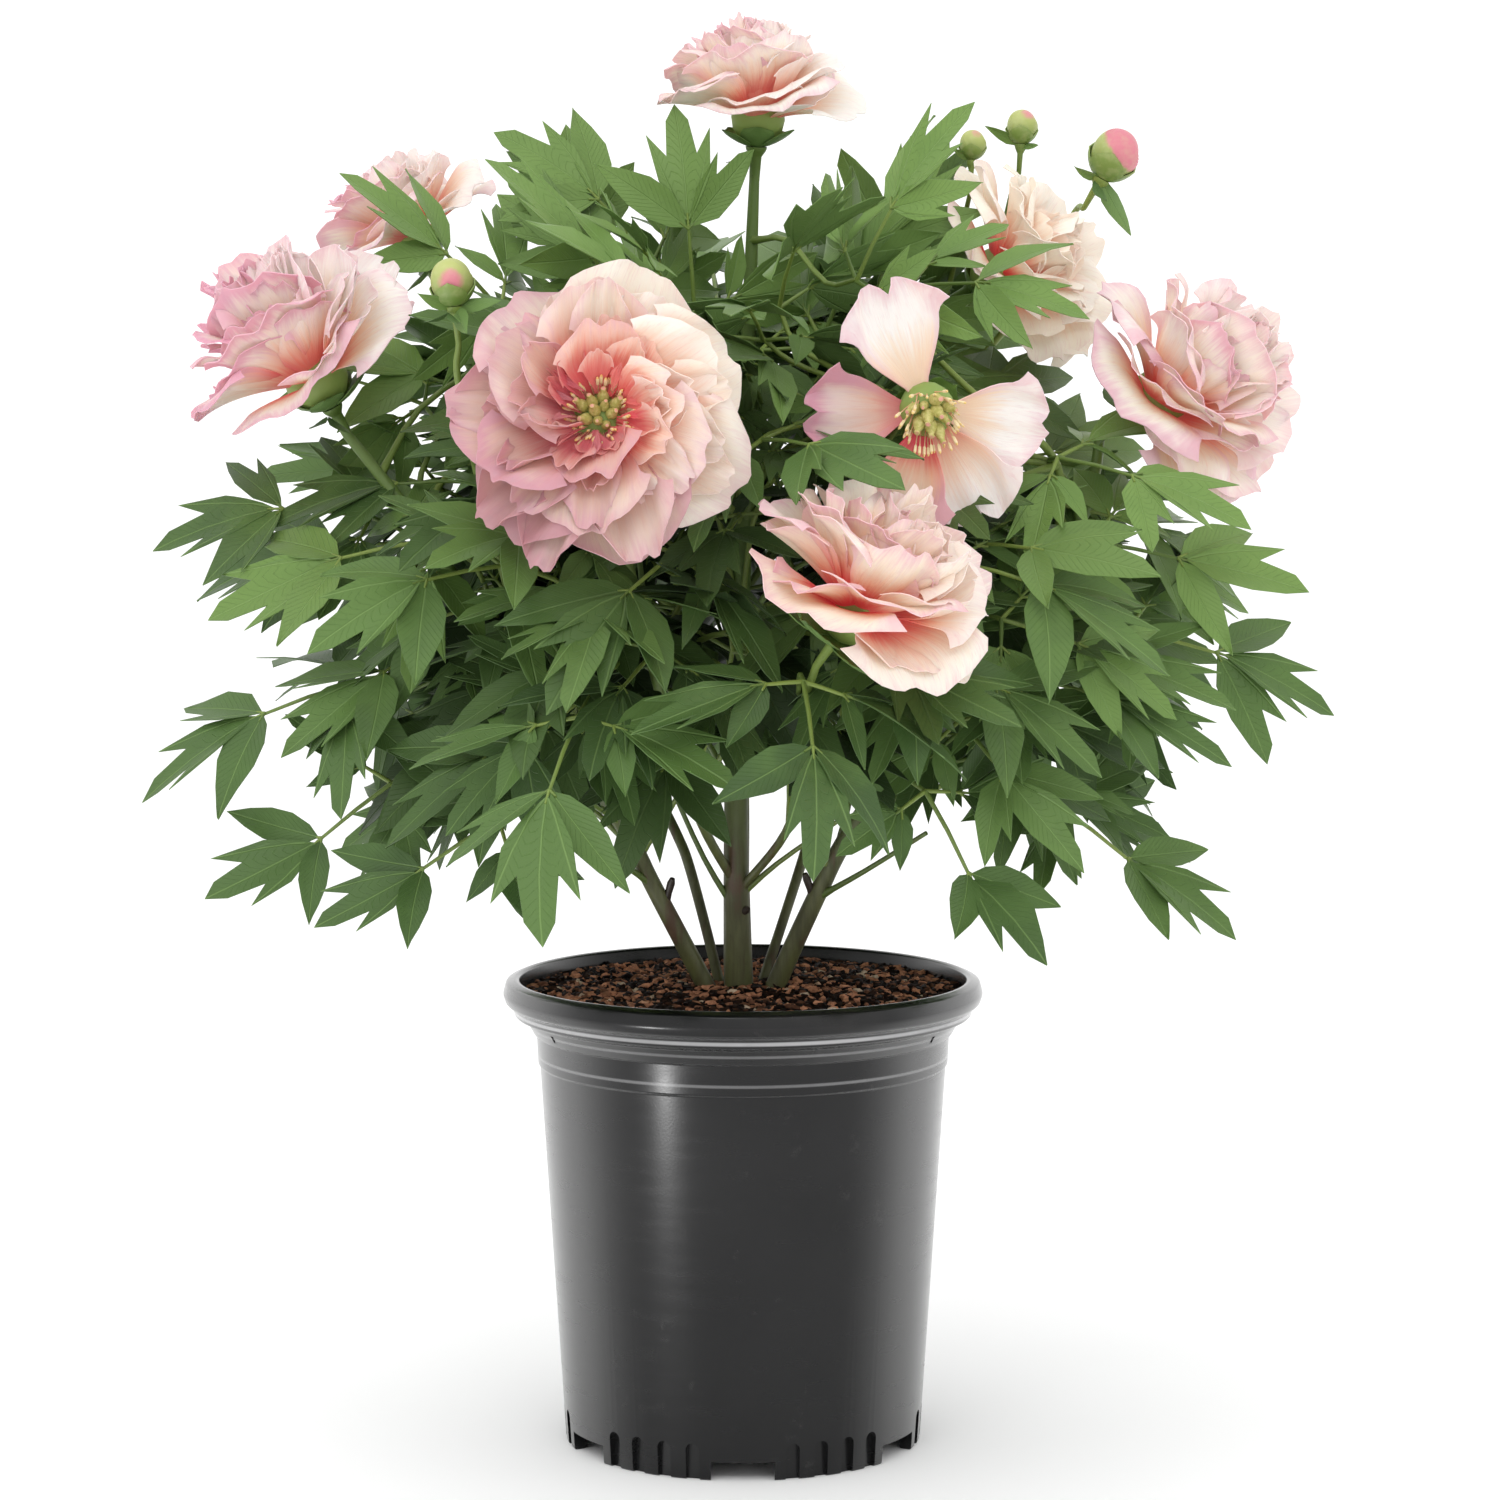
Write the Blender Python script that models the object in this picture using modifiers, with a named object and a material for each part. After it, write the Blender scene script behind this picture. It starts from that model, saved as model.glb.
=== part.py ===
"""A double peony in a nursery pot, in metres, with +Z up.

The plan is laid out from the pot's own axis at floor level. At the end the whole part moves
sideways, so that the origin is the middle of its own box at floor level.
"""
import math
import random
from collections import namedtuple

import bmesh
import bpy
from mathutils import Matrix, Vector
from mathutils.bvhtree import BVHTree

PART_NAME = "potted_peony"
GAP = 0.0003
WELD = 0.00001
POKE_ROUNDS = 5
UP = Vector((0, 0, 1))

# Colour and roughness of each finish
FINISHES = {
    "pot_plastic": ((0.045, 0.045, 0.047), 0.38),
    "soil_bark": ((0.070, 0.035, 0.020), 0.95),
    "leaf_green": ((0.075, 0.180, 0.045), 0.55),
    "petal_peach": ((0.870, 0.560, 0.450), 0.60),
    "centre_green_gold": ((0.620, 0.580, 0.200), 0.60),
    "bud_green_pink": ((0.450, 0.420, 0.200), 0.55),
}

# Pot: a two-gallon nursery pot
RIM_RADIUS = 0.1125
POT_HEIGHT = 0.2195
POT_BASE_RADIUS = 0.0836
BODY_TOP_RADIUS = 0.0952
BODY_TOP = 0.1785
COLLAR_TOP = 0.1931
WALL = 0.0022
FLOOR_INSET = 0.0055
FLOOR_BOTTOM = 0.0100
FLOOR_TOP = 0.0125
FOOT_INNER_RADIUS = 0.0775
FOOT_DEPTH = 0.020
POT_STEPS = 32
GAP_COUNT = 6
GAP_HALF_ANGLE = math.radians(10)
GAP_HEIGHT = 0.0087
FLUTE_ANGLES = [math.radians(angle) for angle in (-14.25, -4.75, 4.75, 14.25)]
FLUTE_WIDTH = 0.0065
FLUTE_HEIGHT = 0.0170
FLUTE_DEPTH = 0.0025
SLOT_ANGLES = [math.radians(angle) for angle in (60, 180, 300)]
SLOT_SIZE = (0.0024, 0.0020, 0.0090)
SLOT_RADIUS = 0.1000
SLOT_HEIGHT = 0.1963
COLLAR_INSIDE = 0.0950
LIP_INSIDE = (0.1040, 0.2120)
# The rolled lip and the stepped collar under it, from inside to outside and down
LIP = ((0.1048, 0.2188), (0.1068, POT_HEIGHT), (0.1110, 0.2178), (RIM_RADIUS, 0.2121),
       (0.1112, 0.2082), (0.1080, 0.2064))
COLLAR = ((0.1070, 0.2022), (0.1022, 0.2010), (0.0980, 0.1936), (0.0968, COLLAR_TOP),
          (0.0961, 0.1793))
FOOT_TOP = (0.0844, 0.0120)

# Soil
SOIL_EDGE = 0.2075
SOIL_MOUND = 0.0025
SOIL_RINGS = (0.034, 0.068)
SOIL_LUMP = 0.0011
STEM_DEPTH = 0.050
STEM_BEND = 0.2135
HOLE_TOP = 0.2235
HOLE_CLEARANCE = 0.0005

# Leaves
BLADE = 0.0008
LEAFLET_LENGTH = 0.058
LEAFLET_HALF_WIDTH = 0.17
LEAFLET_WIDEST = 0.42
LEAFLET_FOLD = 0.25
LEAF_ARCH = 5.0
LEAF_DROOP = 2.2
NOTCH = 0.13
TAIL_WIDTH = 0.0024
LEAFLET_TURN = math.radians(48)
GROUP_TURN = math.radians(72)
HUB_RADIUS = 0.0020
SIDE_SCALE = 0.84
LOOK_OUT = 0.85
MIDDLE_OF_BUSH = 0.03
PETIOLE_RADIUS = 0.0015
PETIOLE_STEPS = 3
PETIOLE_LEAVE = 0.36
PETIOLE_ARRIVE = 0.30
HUB_OVERLAP = 0.0012
LOWEST_LEAF = 0.226
LOWEST_FOOT = 0.25
CLEARANCE = 0.0026
PETIOLE_CLEARANCE = 0.0008
TRIALS = 26
HUB_STRAY = 0.0012
TILT_STRAY = 0.03
ROLL_STRAY = 0.25
SCALE_STRAY = 0.08
# How long a leaf's stalk is, at least, at best and at most, and how far it rises with its branch
STALK_REACH = (0.035, 0.085, 0.190)
STALK_RISE = 0.35
RISE_COST = 0.05
FEET_TRIED = 8
CUP_POINTS = 3
RULE_LEAVES = 3
GOLDEN_SHARE = 0.618034
BACK_SPREAD = math.radians(230)
# Height of a leaf's hub, its distance from the pot's axis, and how far the leaf looks up
DOME = (
    (0.300, 0.120, -32.0),
    (0.360, 0.150, -18.0),
    (0.430, 0.155, 0.0),
    (0.490, 0.125, 20.0),
    (0.530, 0.080, 45.0),
)

Branch = namedtuple("Branch", "points radii bare_tip")
Bloom = namedtuple("Bloom", "name centre axis radius rings")
Ring = namedtuple("Ring", "count lean_start lean_end length width seat")
Leaf = namedtuple("Leaf", "hub forward scale roll", defaults=(0.0,))
Group = namedtuple("Group", "turn tail scale leaflets")

# The three leaflet groups of a leaf, from its right to its left, and those of a plainer leaf
GROUPS = (
    Group(-GROUP_TURN, 0.016, 0.86, (-LEAFLET_TURN, 0.0)),
    Group(0.0, 0.040, 1.0, (-LEAFLET_TURN, 0.0, LEAFLET_TURN)),
    Group(GROUP_TURN, 0.016, 0.86, (0.0, LEAFLET_TURN)),
)
PLAIN_GROUPS = (GROUPS[0]._replace(leaflets=(0.0,)), GROUPS[1], GROUPS[2]._replace(leaflets=(0.0,)))

FULL_RINGS = (
    Ring(7, 72, 97, 0.88, 0.80, 0.50),
    Ring(6, 50, 74, 0.80, 0.66, 0.50),
    Ring(4, 28, 46, 0.62, 0.52, 0.50),
)
ROUND_RINGS = (
    Ring(5, 66, 92, 0.86, 0.96, 0.50),
    Ring(4, 40, 60, 0.80, 0.82, 0.50),
    Ring(3, 10, 22, 0.72, 0.62, 0.40),
)
BOWL_RINGS = (
    Ring(5, 60, 86, 0.88, 0.96, 0.50),
    Ring(4, 30, 46, 0.80, 0.78, 0.50),
)
GLOBE_RINGS = (
    Ring(5, 64, 88, 0.86, 0.96, 0.50),
    Ring(4, 34, 48, 0.92, 0.86, 0.50),
    Ring(3, 8, 15, 0.95, 0.72, 0.40),
)
SPENT_RINGS = (
    Ring(5, 78, 96, 1.0, 0.52, 0.50),
)
CORE_SHARE = 0.24
ROOT_STEP = 0.25
PETAL_CUP = 0.32
PETAL_TWIST = 0.34
PETAL_ROOT_WIDTH = 0.14
PETAL_WIDEST = 0.68
PETAL_SWELL = 1.4
PETAL_NARROWING = 0.36
PETAL_ROUNDING = 0.14
TURN_STRAY = 0.06
LEAN_STRAY = 4.0
LENGTH_STRAY = (0.94, 1.05)
PETAL_ROWS = (0.60, 1.0)
PETAL_COLUMNS = (-1.0, 0.0, 1.0)

BLOOMS = (
    Bloom("bloom_front", (-0.060, -0.158, 0.481), (-0.02, -0.95, 0.28), 0.0680, FULL_RINGS),
    Bloom("bloom_left", (-0.193, -0.044, 0.499), (-0.42, -0.30, 0.82), 0.0610, GLOBE_RINGS),
    Bloom("bloom_upper_left", (-0.158, 0.090, 0.566), (-0.40, -0.10, 0.88), 0.0495, BOWL_RINGS),
    Bloom("bloom_top", (0.007, 0.000, 0.618), (0.06, -0.12, 0.98), 0.0530, ROUND_RINGS),
    Bloom("bloom_right_back", (0.120, 0.036, 0.547), (0.76, -0.40, 0.40), 0.0560, BOWL_RINGS),
    Bloom("bloom_right", (0.190, -0.016, 0.488), (0.76, -0.46, 0.40), 0.0630, GLOBE_RINGS),
    Bloom("bloom_lower_right", (0.048, -0.180, 0.402), (0.52, -0.34, 0.76), 0.0625, ROUND_RINGS),
    Bloom("bloom_spent", (0.080, -0.122, 0.486), (0.10, -0.98, -0.08), 0.0510, SPENT_RINGS),
)
CENTRES = {"centre_front": "bloom_front", "centre_spent": "bloom_spent"}
# Widths at the foot and tip, and the height, of a flower centre's disc and of its carpels
CENTRE_DISC = (0.0052, 0.0044, 0.0022)
CARPEL = (0.0021, 0.0008, 0.0085)
DISC_SIDES = 6
CARPEL_SIDES = 4
CARPEL_COUNT = 4
CARPEL_LEAN = 0.30
CARPEL_PLACE = 0.0020
CARPEL_ROOT = 0.0012

# Name, centre, axis and radius of each bud
BUDS = (
    ("bud_left", (-0.126, -0.120, 0.541), (-0.10, -0.10, 0.98), 0.0092),
    ("bud_small", (0.109, 0.060, 0.609), (0.05, 0.0, 1.0), 0.0062),
    ("bud_green", (0.133, 0.070, 0.618), (0.06, 0.0, 1.0), 0.0072),
    ("bud_pink", (0.176, 0.055, 0.604), (0.45, -0.10, 0.80), 0.0112),
)
BUD_STRETCH = 1.12
BUD_FOLD = 0.06
BUD_FOLDS = 3

# The green cup that ends a stalk under a bloom or bud
CUP_RADIUS = 0.0050
BUD_CUP_SHARE = 0.42
CUP_RIM = 0.0012
CUP_HEIGHT = 0.0055
CUP_STALK = 0.016

SEPAL_COUNT = 3
SEPAL_LENGTH = 0.019
SEPAL_LEAN = math.radians(112)
SEPAL_HALF_WIDTHS = (0.19, 0.03)
SEPAL_DROP = 0.0022
SEPAL_STRAY = 0.3

WITH_SEPALS = ("bloom_left", "bloom_top", "bloom_right", "bloom_upper_left", "bud_left", "bud_pink")

# Each leafy stem: the branch from the soil first, then the side branches. A name at the end of
# a branch's points is the bloom or bud that the branch carries.
STEMS = {
    "stem_centre": (
        (((-0.002, 0.0), (-0.003, -0.004, 0.265), (-0.003, -0.002, 0.330), (0.000, 0.004, 0.430),
          (0.003, 0.004, 0.530), "bloom_top"), 0.0070, 0.0024),
        (((-0.003, -0.003, 0.258), (0.022, -0.034, 0.296), (0.024, -0.100, 0.345),
          "bloom_lower_right"), 0.0042, 0.0024),
        (((-0.003, -0.003, 0.262), (-0.022, -0.030, 0.302), (-0.040, -0.075, 0.370),
          (-0.055, -0.110, 0.440), "bloom_front"), 0.0044, 0.0026),
    ),
    "stem_left": (
        (((-0.0165, -0.003), (-0.043, -0.012, 0.266), (-0.057, -0.022, 0.295),
          (-0.100, -0.035, 0.360), (-0.148, -0.040, 0.433), "bloom_left"), 0.0052, 0.0024),
        (((-0.090, -0.032, 0.345), (-0.112, -0.070, 0.430), (-0.124, -0.105, 0.495),
          "bud_left"), 0.0028, 0.0016),
    ),
    "stem_left_back": (
        (((-0.011, 0.014), (-0.026, 0.024, 0.270), (-0.040, 0.036, 0.300),
          (-0.085, 0.066, 0.400), (-0.130, 0.085, 0.500), "bloom_upper_left"), 0.0036, 0.0022),
    ),
    "stem_right": (
        (((0.0145, -0.003), (0.036, -0.010, 0.262), (0.055, -0.014, 0.297),
          (0.105, -0.020, 0.365), (0.155, -0.012, 0.432), "bloom_right"), 0.0056, 0.0024),
        (((0.145, -0.014, 0.418), (0.142, -0.050, 0.460), (0.112, -0.085, 0.484),
          "bloom_spent"), 0.0026, 0.0018),
    ),
    "stem_right_back": (
        (((0.009, 0.014), (0.028, 0.028, 0.270), (0.052, 0.042, 0.350), (0.078, 0.050, 0.440),
          "bloom_right_back"), 0.0042, 0.0022),
        (((0.060, 0.045, 0.378), (0.080, 0.084, 0.460), (0.100, 0.088, 0.545),
          "bud_small"), 0.0024, 0.0014),
        (((0.088, 0.088, 0.495), (0.118, 0.096, 0.545), (0.130, 0.084, 0.590),
          "bud_green"), 0.0020, 0.0014),
        (((0.084, 0.086, 0.475), (0.134, 0.102, 0.530), (0.158, 0.078, 0.576),
          "bud_pink"), 0.0022, 0.0016),
    ),
    "stem_back": (
        (((-0.001, 0.025), (0.000, 0.050, 0.290), (-0.002, 0.095, 0.390),
          (-0.004, 0.110, 0.460), (-0.008, 0.105, 0.510)), 0.0046, 0.0018),
        (((-0.001, 0.072, 0.340), (-0.036, 0.108, 0.382), (-0.060, 0.120, 0.424)), 0.0030, 0.0018),
        (((-0.002, 0.080, 0.358), (0.036, 0.112, 0.400), (0.060, 0.122, 0.440)), 0.0030, 0.0018),
    ),
}

# Leaves that the front view shows singly, and those that end the branches at the back: hub,
# direction and scale
NAMED_LEAVES = (
    Leaf((-0.176, -0.060, 0.362), (-0.92, -0.15, -0.22), 1.05),
    Leaf((-0.158, -0.072, 0.318), (-0.80, -0.20, -0.56), 1.00),
    Leaf((-0.108, -0.102, 0.305), (-0.82, -0.30, -0.46), 1.00),
    Leaf((0.142, -0.045, 0.306), (0.78, -0.20, -0.48), 1.05),
    Leaf((0.176, -0.030, 0.384), (0.92, -0.20, -0.16), 1.05),
    Leaf((0.080, -0.125, 0.320), (0.45, -0.45, -0.72), 1.05),
    Leaf((-0.170, -0.030, 0.436), (-0.90, -0.20, 0.16), 1.00),
    Leaf((0.158, -0.055, 0.425), (0.86, -0.30, -0.10), 1.00),
    Leaf((-0.066, 0.030, 0.522), (-0.20, -0.10, 0.90), 1.00),
    Leaf((0.066, 0.020, 0.524), (0.25, -0.20, 0.85), 1.00),
    Leaf((0.026, -0.175, 0.372), (0.10, -0.85, -0.45), 1.10),
    Leaf((-0.070, -0.165, 0.356), (-0.25, -0.80, -0.50), 1.15),
    Leaf((0.012, -0.120, 0.470), (0.62, -0.66, 0.10), 1.00),
    Leaf((0.074, -0.050, 0.540), (0.70, -0.55, 0.10), 0.90),
    Leaf((-0.112, 0.010, 0.530), (-0.40, -0.30, 0.50), 0.95),
    Leaf((-0.022, -0.020, 0.528), (-0.05, -0.35, 0.90), 1.00),
    Leaf((0.036, -0.010, 0.516), (0.30, -0.35, 0.85), 1.00),
    Leaf((0.104, -0.060, 0.392), (0.60, -0.70, 0.05), 1.00),
    Leaf((-0.080, 0.140, 0.455), (-0.50, 0.75, 0.10), 1.00),
    Leaf((0.080, 0.142, 0.470), (0.50, 0.75, 0.10), 1.00),
    Leaf((-0.010, 0.120, 0.525), (-0.05, 0.60, 0.65), 1.00),
    Leaf((-0.120, 0.020, 0.356), (-0.86, 0.10, -0.30), 1.00),
    Leaf((0.122, 0.022, 0.350), (0.86, 0.12, -0.35), 1.00),
    Leaf((-0.048, -0.066, 0.524), (-0.35, -0.60, 0.65), 1.00),
    Leaf((0.052, -0.086, 0.536), (0.20, -0.62, 0.70), 1.00),
    Leaf((0.020, 0.150, 0.400), (0.10, 0.95, -0.15), 1.00),
    Leaf((0.138, 0.098, 0.356), (0.72, 0.66, -0.20), 1.00),
    Leaf((-0.118, 0.104, 0.404), (-0.80, 0.55, 0.00), 1.00),
    Leaf((0.148, -0.064, 0.464), (0.74, -0.60, 0.10), 0.95),
    Leaf((-0.150, 0.022, 0.486), (-0.84, 0.10, 0.35), 0.95),
)


def seeded(name):
    """The random draws of one sub-part, which start the same way each time."""
    return random.Random(PART_NAME + " " + name)


def remove_all():
    """Empties the scene that the script is run in."""
    for item in list(bpy.data.objects):
        bpy.data.objects.remove(item, do_unlink=True)
    for mesh in list(bpy.data.meshes):
        bpy.data.meshes.remove(mesh)


def material(name, colour, roughness):
    """A plain Principled finish."""
    finish = bpy.data.materials.new(name)
    finish.use_nodes = True
    shader = finish.node_tree.nodes["Principled BSDF"]
    shader.inputs["Base Color"].default_value = (*colour, 1.0)
    shader.inputs["Roughness"].default_value = roughness
    shader.inputs["Metallic"].default_value = 0.0
    finish.diffuse_color = (*colour, 1.0)
    return finish


def add_object(name, mesh, collection, finish=None):
    """An object for a mesh, in a collection."""
    item = bpy.data.objects.new(name, mesh)
    collection.objects.link(item)
    if finish is not None:
        mesh.materials.clear()
        mesh.materials.append(finish)
    return item


def mesh_from(work, name):
    """Turns a bmesh into mesh data and frees it."""
    mesh = bpy.data.meshes.new(name)
    work.to_mesh(mesh)
    work.free()
    return mesh


def evaluated_mesh(item):
    """The mesh of an object with its modifiers applied."""
    graph = bpy.context.evaluated_depsgraph_get()
    return bpy.data.meshes.new_from_object(item.evaluated_get(graph))


def smooth_path(points, parts):
    """Points on a Catmull-Rom curve, with each span in equal parts."""
    places = [Vector(point) for point in points]
    ends = [2 * places[0] - places[1]] + places + [2 * places[-1] - places[-2]]
    path = []
    for first, second, third, fourth in zip(ends, ends[1:], ends[2:], ends[3:]):
        for step in range(parts):
            t = step / parts
            path.append(0.5 * (2 * second + (third - first) * t
                               + (2 * first - 5 * second + 4 * third - fourth) * t ** 2
                               + (3 * second - first - 3 * third + fourth) * t ** 3))
    path.append(places[-1])
    return path


def tube(points, radii, corner_steps):
    """A closed round rod along the points, as mesh data with welded caps."""
    curve = bpy.data.curves.new("rod", "CURVE")
    curve.dimensions = "3D"
    curve.bevel_depth = 1.0
    curve.bevel_resolution = corner_steps
    curve.use_fill_caps = True
    spline = curve.splines.new("POLY")
    spline.points.add(len(points) - 1)
    for corner, place, radius in zip(spline.points, points, radii):
        corner.co = (*place, 1.0)
        corner.radius = radius
    holder = bpy.data.objects.new("rod", curve)
    mesh = bpy.data.meshes.new_from_object(holder)
    bpy.data.objects.remove(holder)
    bpy.data.curves.remove(curve)
    work = bmesh.new()
    work.from_mesh(mesh)
    bmesh.ops.remove_doubles(work, verts=work.verts, dist=WELD)
    bmesh.ops.recalc_face_normals(work, faces=work.faces)
    work.to_mesh(mesh)
    work.free()
    return mesh


def tree_of(*meshes):
    """A search tree over meshes, for overlap tests."""
    corners, faces = [], []
    for mesh in meshes:
        start = len(corners)
        corners += [corner.co.copy() for corner in mesh.vertices]
        faces += [[start + k for k in face.vertices] for face in mesh.polygons]
    return BVHTree.FromPolygons(corners, faces)


def screw(name, profile, collection):
    """A turned solid from a profile of radius and height."""
    mesh = bpy.data.meshes.new(name)
    corners = [(radius, 0, height) for radius, height in profile]
    mesh.from_pydata(corners, [(k, k + 1) for k in range(len(corners) - 1)], [])
    item = add_object(name, mesh, collection)
    turn = item.modifiers.new("Turn", "SCREW")
    turn.steps = POT_STEPS
    turn.render_steps = POT_STEPS
    turn.use_merge_vertices = True
    turn.merge_threshold = WELD
    return item


def keep_outer_shell(work):
    """Drops the loose scraps and fills the sealed hollows that fusing can leave."""
    unseen = set(work.faces)
    shells = []
    for start in work.faces:
        if start not in unseen:
            continue
        unseen.discard(start)
        shell, edge = [start], [start]
        while edge:
            for side in edge.pop().edges:
                for other in side.link_faces:
                    if other in unseen:
                        unseen.discard(other)
                        shell.append(other)
                        edge.append(other)
        shells.append(shell)
    shells.sort(key=len)
    scraps = [face for shell in shells[:-1] for face in shell]
    bmesh.ops.delete(work, geom=scraps, context="FACES")
    bare_edges = [edge for edge in work.edges if not edge.link_faces]
    bmesh.ops.delete(work, geom=bare_edges, context="EDGES")
    bare_corners = [corner for corner in work.verts if not corner.link_faces]
    bmesh.ops.delete(work, geom=bare_corners, context="VERTS")


def split_faces(work):
    """Splits the faces into triangles, so that no edge is used by more than two of them."""
    for _ in range(POKE_ROUNDS):
        trial = work.copy()
        bmesh.ops.triangulate(trial, faces=trial.faces)
        shared = [edge for edge in trial.edges if len(edge.link_faces) > 2]
        if not shared:
            work.free()
            return trial
        work.verts.ensure_lookup_table()
        doubled = set()
        for edge in shared:
            first, second = (work.verts[corner.index] for corner in edge.verts)
            common = [face for face in first.link_faces if face in second.link_faces]
            doubled.update(face for face in common if len(face.verts) > 3)
        trial.free()
        bmesh.ops.poke(work, faces=sorted(doubled, key=lambda face: face.index))
        work.verts.index_update()
        work.faces.index_update()
    raise ValueError("an edge stays shared by more than two faces")


def union(base, others, collection, solver="EXACT"):
    """Fuses meshes into one, by one Boolean on a collection, and returns the mesh."""
    repeats = bpy.data.collections.new("repeats")
    bpy.context.scene.collection.children.link(repeats)
    for mesh in others:
        add_object("repeat", mesh, repeats)
    body = add_object("body", base, collection)
    join = body.modifiers.new("Join", "BOOLEAN")
    join.operation = "UNION"
    join.solver = solver
    join.operand_type = "COLLECTION"
    join.collection = repeats
    result = evaluated_mesh(body)
    for item in list(repeats.objects) + [body]:
        bpy.data.objects.remove(item)
    bpy.data.collections.remove(repeats)
    work = bmesh.new()
    work.from_mesh(result)
    bmesh.ops.remove_doubles(work, verts=work.verts, dist=WELD / 10)
    keep_outer_shell(work)
    work.verts.index_update()
    work.faces.index_update()
    work = split_faces(work)
    work.to_mesh(result)
    work.free()
    return result


def arch_cutter():
    """A flat block with a round top, for one flute, standing on the floor at the origin."""
    half = FLUTE_WIDTH / 2
    shoulder = FLUTE_HEIGHT - half
    outline = [(-half, -GAP_HEIGHT), (half, -GAP_HEIGHT)]
    arch_steps = 2
    for step in range(arch_steps + 1):
        angle = math.pi * step / arch_steps
        outline.append((half * math.cos(angle), shoulder + half * math.sin(angle)))
    curve = bpy.data.curves.new("arch", "CURVE")
    curve.dimensions = "2D"
    curve.fill_mode = "BOTH"
    curve.extrude = 2 * FLUTE_DEPTH
    spline = curve.splines.new("POLY")
    spline.points.add(len(outline) - 1)
    spline.use_cyclic_u = True
    for corner, (x, y) in zip(spline.points, outline):
        corner.co = (x, y, 0.0, 1.0)
    holder = bpy.data.objects.new("arch", curve)
    mesh = bpy.data.meshes.new_from_object(holder)
    bpy.data.objects.remove(holder)
    work = bmesh.new()
    work.from_mesh(mesh)
    bmesh.ops.remove_doubles(work, verts=work.verts, dist=WELD)
    bmesh.ops.recalc_face_normals(work, faces=work.faces)
    bmesh.ops.rotate(work, verts=work.verts, matrix=Matrix.Rotation(math.pi / 2, 3, "X"))
    bmesh.ops.translate(work, verts=work.verts, vec=(0, -2 * FLUTE_DEPTH, 0))
    work.to_mesh(mesh)
    work.free()
    return mesh


def box_mesh(size, centre):
    """A closed box."""
    work = bmesh.new()
    bmesh.ops.create_cube(work, size=1.0)
    bmesh.ops.scale(work, verts=work.verts, vec=size)
    bmesh.ops.translate(work, verts=work.verts, vec=centre)
    return mesh_from(work, "box")


def turned_copy(mesh, angle, radius):
    """A copy of a mesh that looks along -Y, put at a radius and turned about the pot's axis."""
    copy = mesh.copy()
    copy.transform(Matrix.Rotation(angle, 4, "Z") @ Matrix.Translation((0, -radius, 0)))
    return copy


def pot_profile():
    """The pot's half section, from the middle of its floor inside, over the lip, to below."""
    inside = ((0.0, FLOOR_TOP), (POT_BASE_RADIUS - FLOOR_INSET, FLOOR_TOP),
              (BODY_TOP_RADIUS - WALL, BODY_TOP), (COLLAR_INSIDE, COLLAR_TOP), LIP_INSIDE)
    wall = ((BODY_TOP_RADIUS, BODY_TOP), FOOT_TOP, (POT_BASE_RADIUS, 0.0))
    below = ((FOOT_INNER_RADIUS, 0.0), (FOOT_INNER_RADIUS, FLOOR_BOTTOM), (0.0, FLOOR_BOTTOM))
    return inside + LIP + COLLAR + wall + below


def make_pot(parts, cutters, finish):
    """The nursery pot, with its lip, collar, fluted feet, gaps and slots."""
    pot = screw("pot", pot_profile(), parts)
    pot.data.materials.append(finish)
    pieces = []
    flute = arch_cutter()
    flute_face = POT_BASE_RADIUS - FLUTE_DEPTH
    gap_width = 2 * POT_BASE_RADIUS * math.sin(GAP_HALF_ANGLE)
    gap_block = box_mesh((gap_width, FOOT_DEPTH, 2 * GAP_HEIGHT), (0, 0, 0))
    foot_middle = (POT_BASE_RADIUS + FOOT_INNER_RADIUS) / 2
    for index in range(GAP_COUNT):
        turn = 2 * math.pi * index / GAP_COUNT
        pieces.append(turned_copy(gap_block, turn, foot_middle))
        middle = turn + math.pi / GAP_COUNT
        for angle in FLUTE_ANGLES:
            pieces.append(turned_copy(flute, middle + angle, flute_face))
    slot = box_mesh(SLOT_SIZE, (0, 0, SLOT_HEIGHT))
    for angle in SLOT_ANGLES:
        pieces.append(turned_copy(slot, angle, SLOT_RADIUS))
    work = bmesh.new()
    for mesh in pieces:
        work.from_mesh(mesh)
    cutter = add_object("pot_cutter", mesh_from(work, "pot_cutter"), cutters)
    cutter.hide_render = True
    cutter.display_type = "WIRE"
    cut = pot.modifiers.new("Feet and slots", "BOOLEAN")
    cut.operation = "DIFFERENCE"
    cut.object = cutter
    return pot


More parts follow.
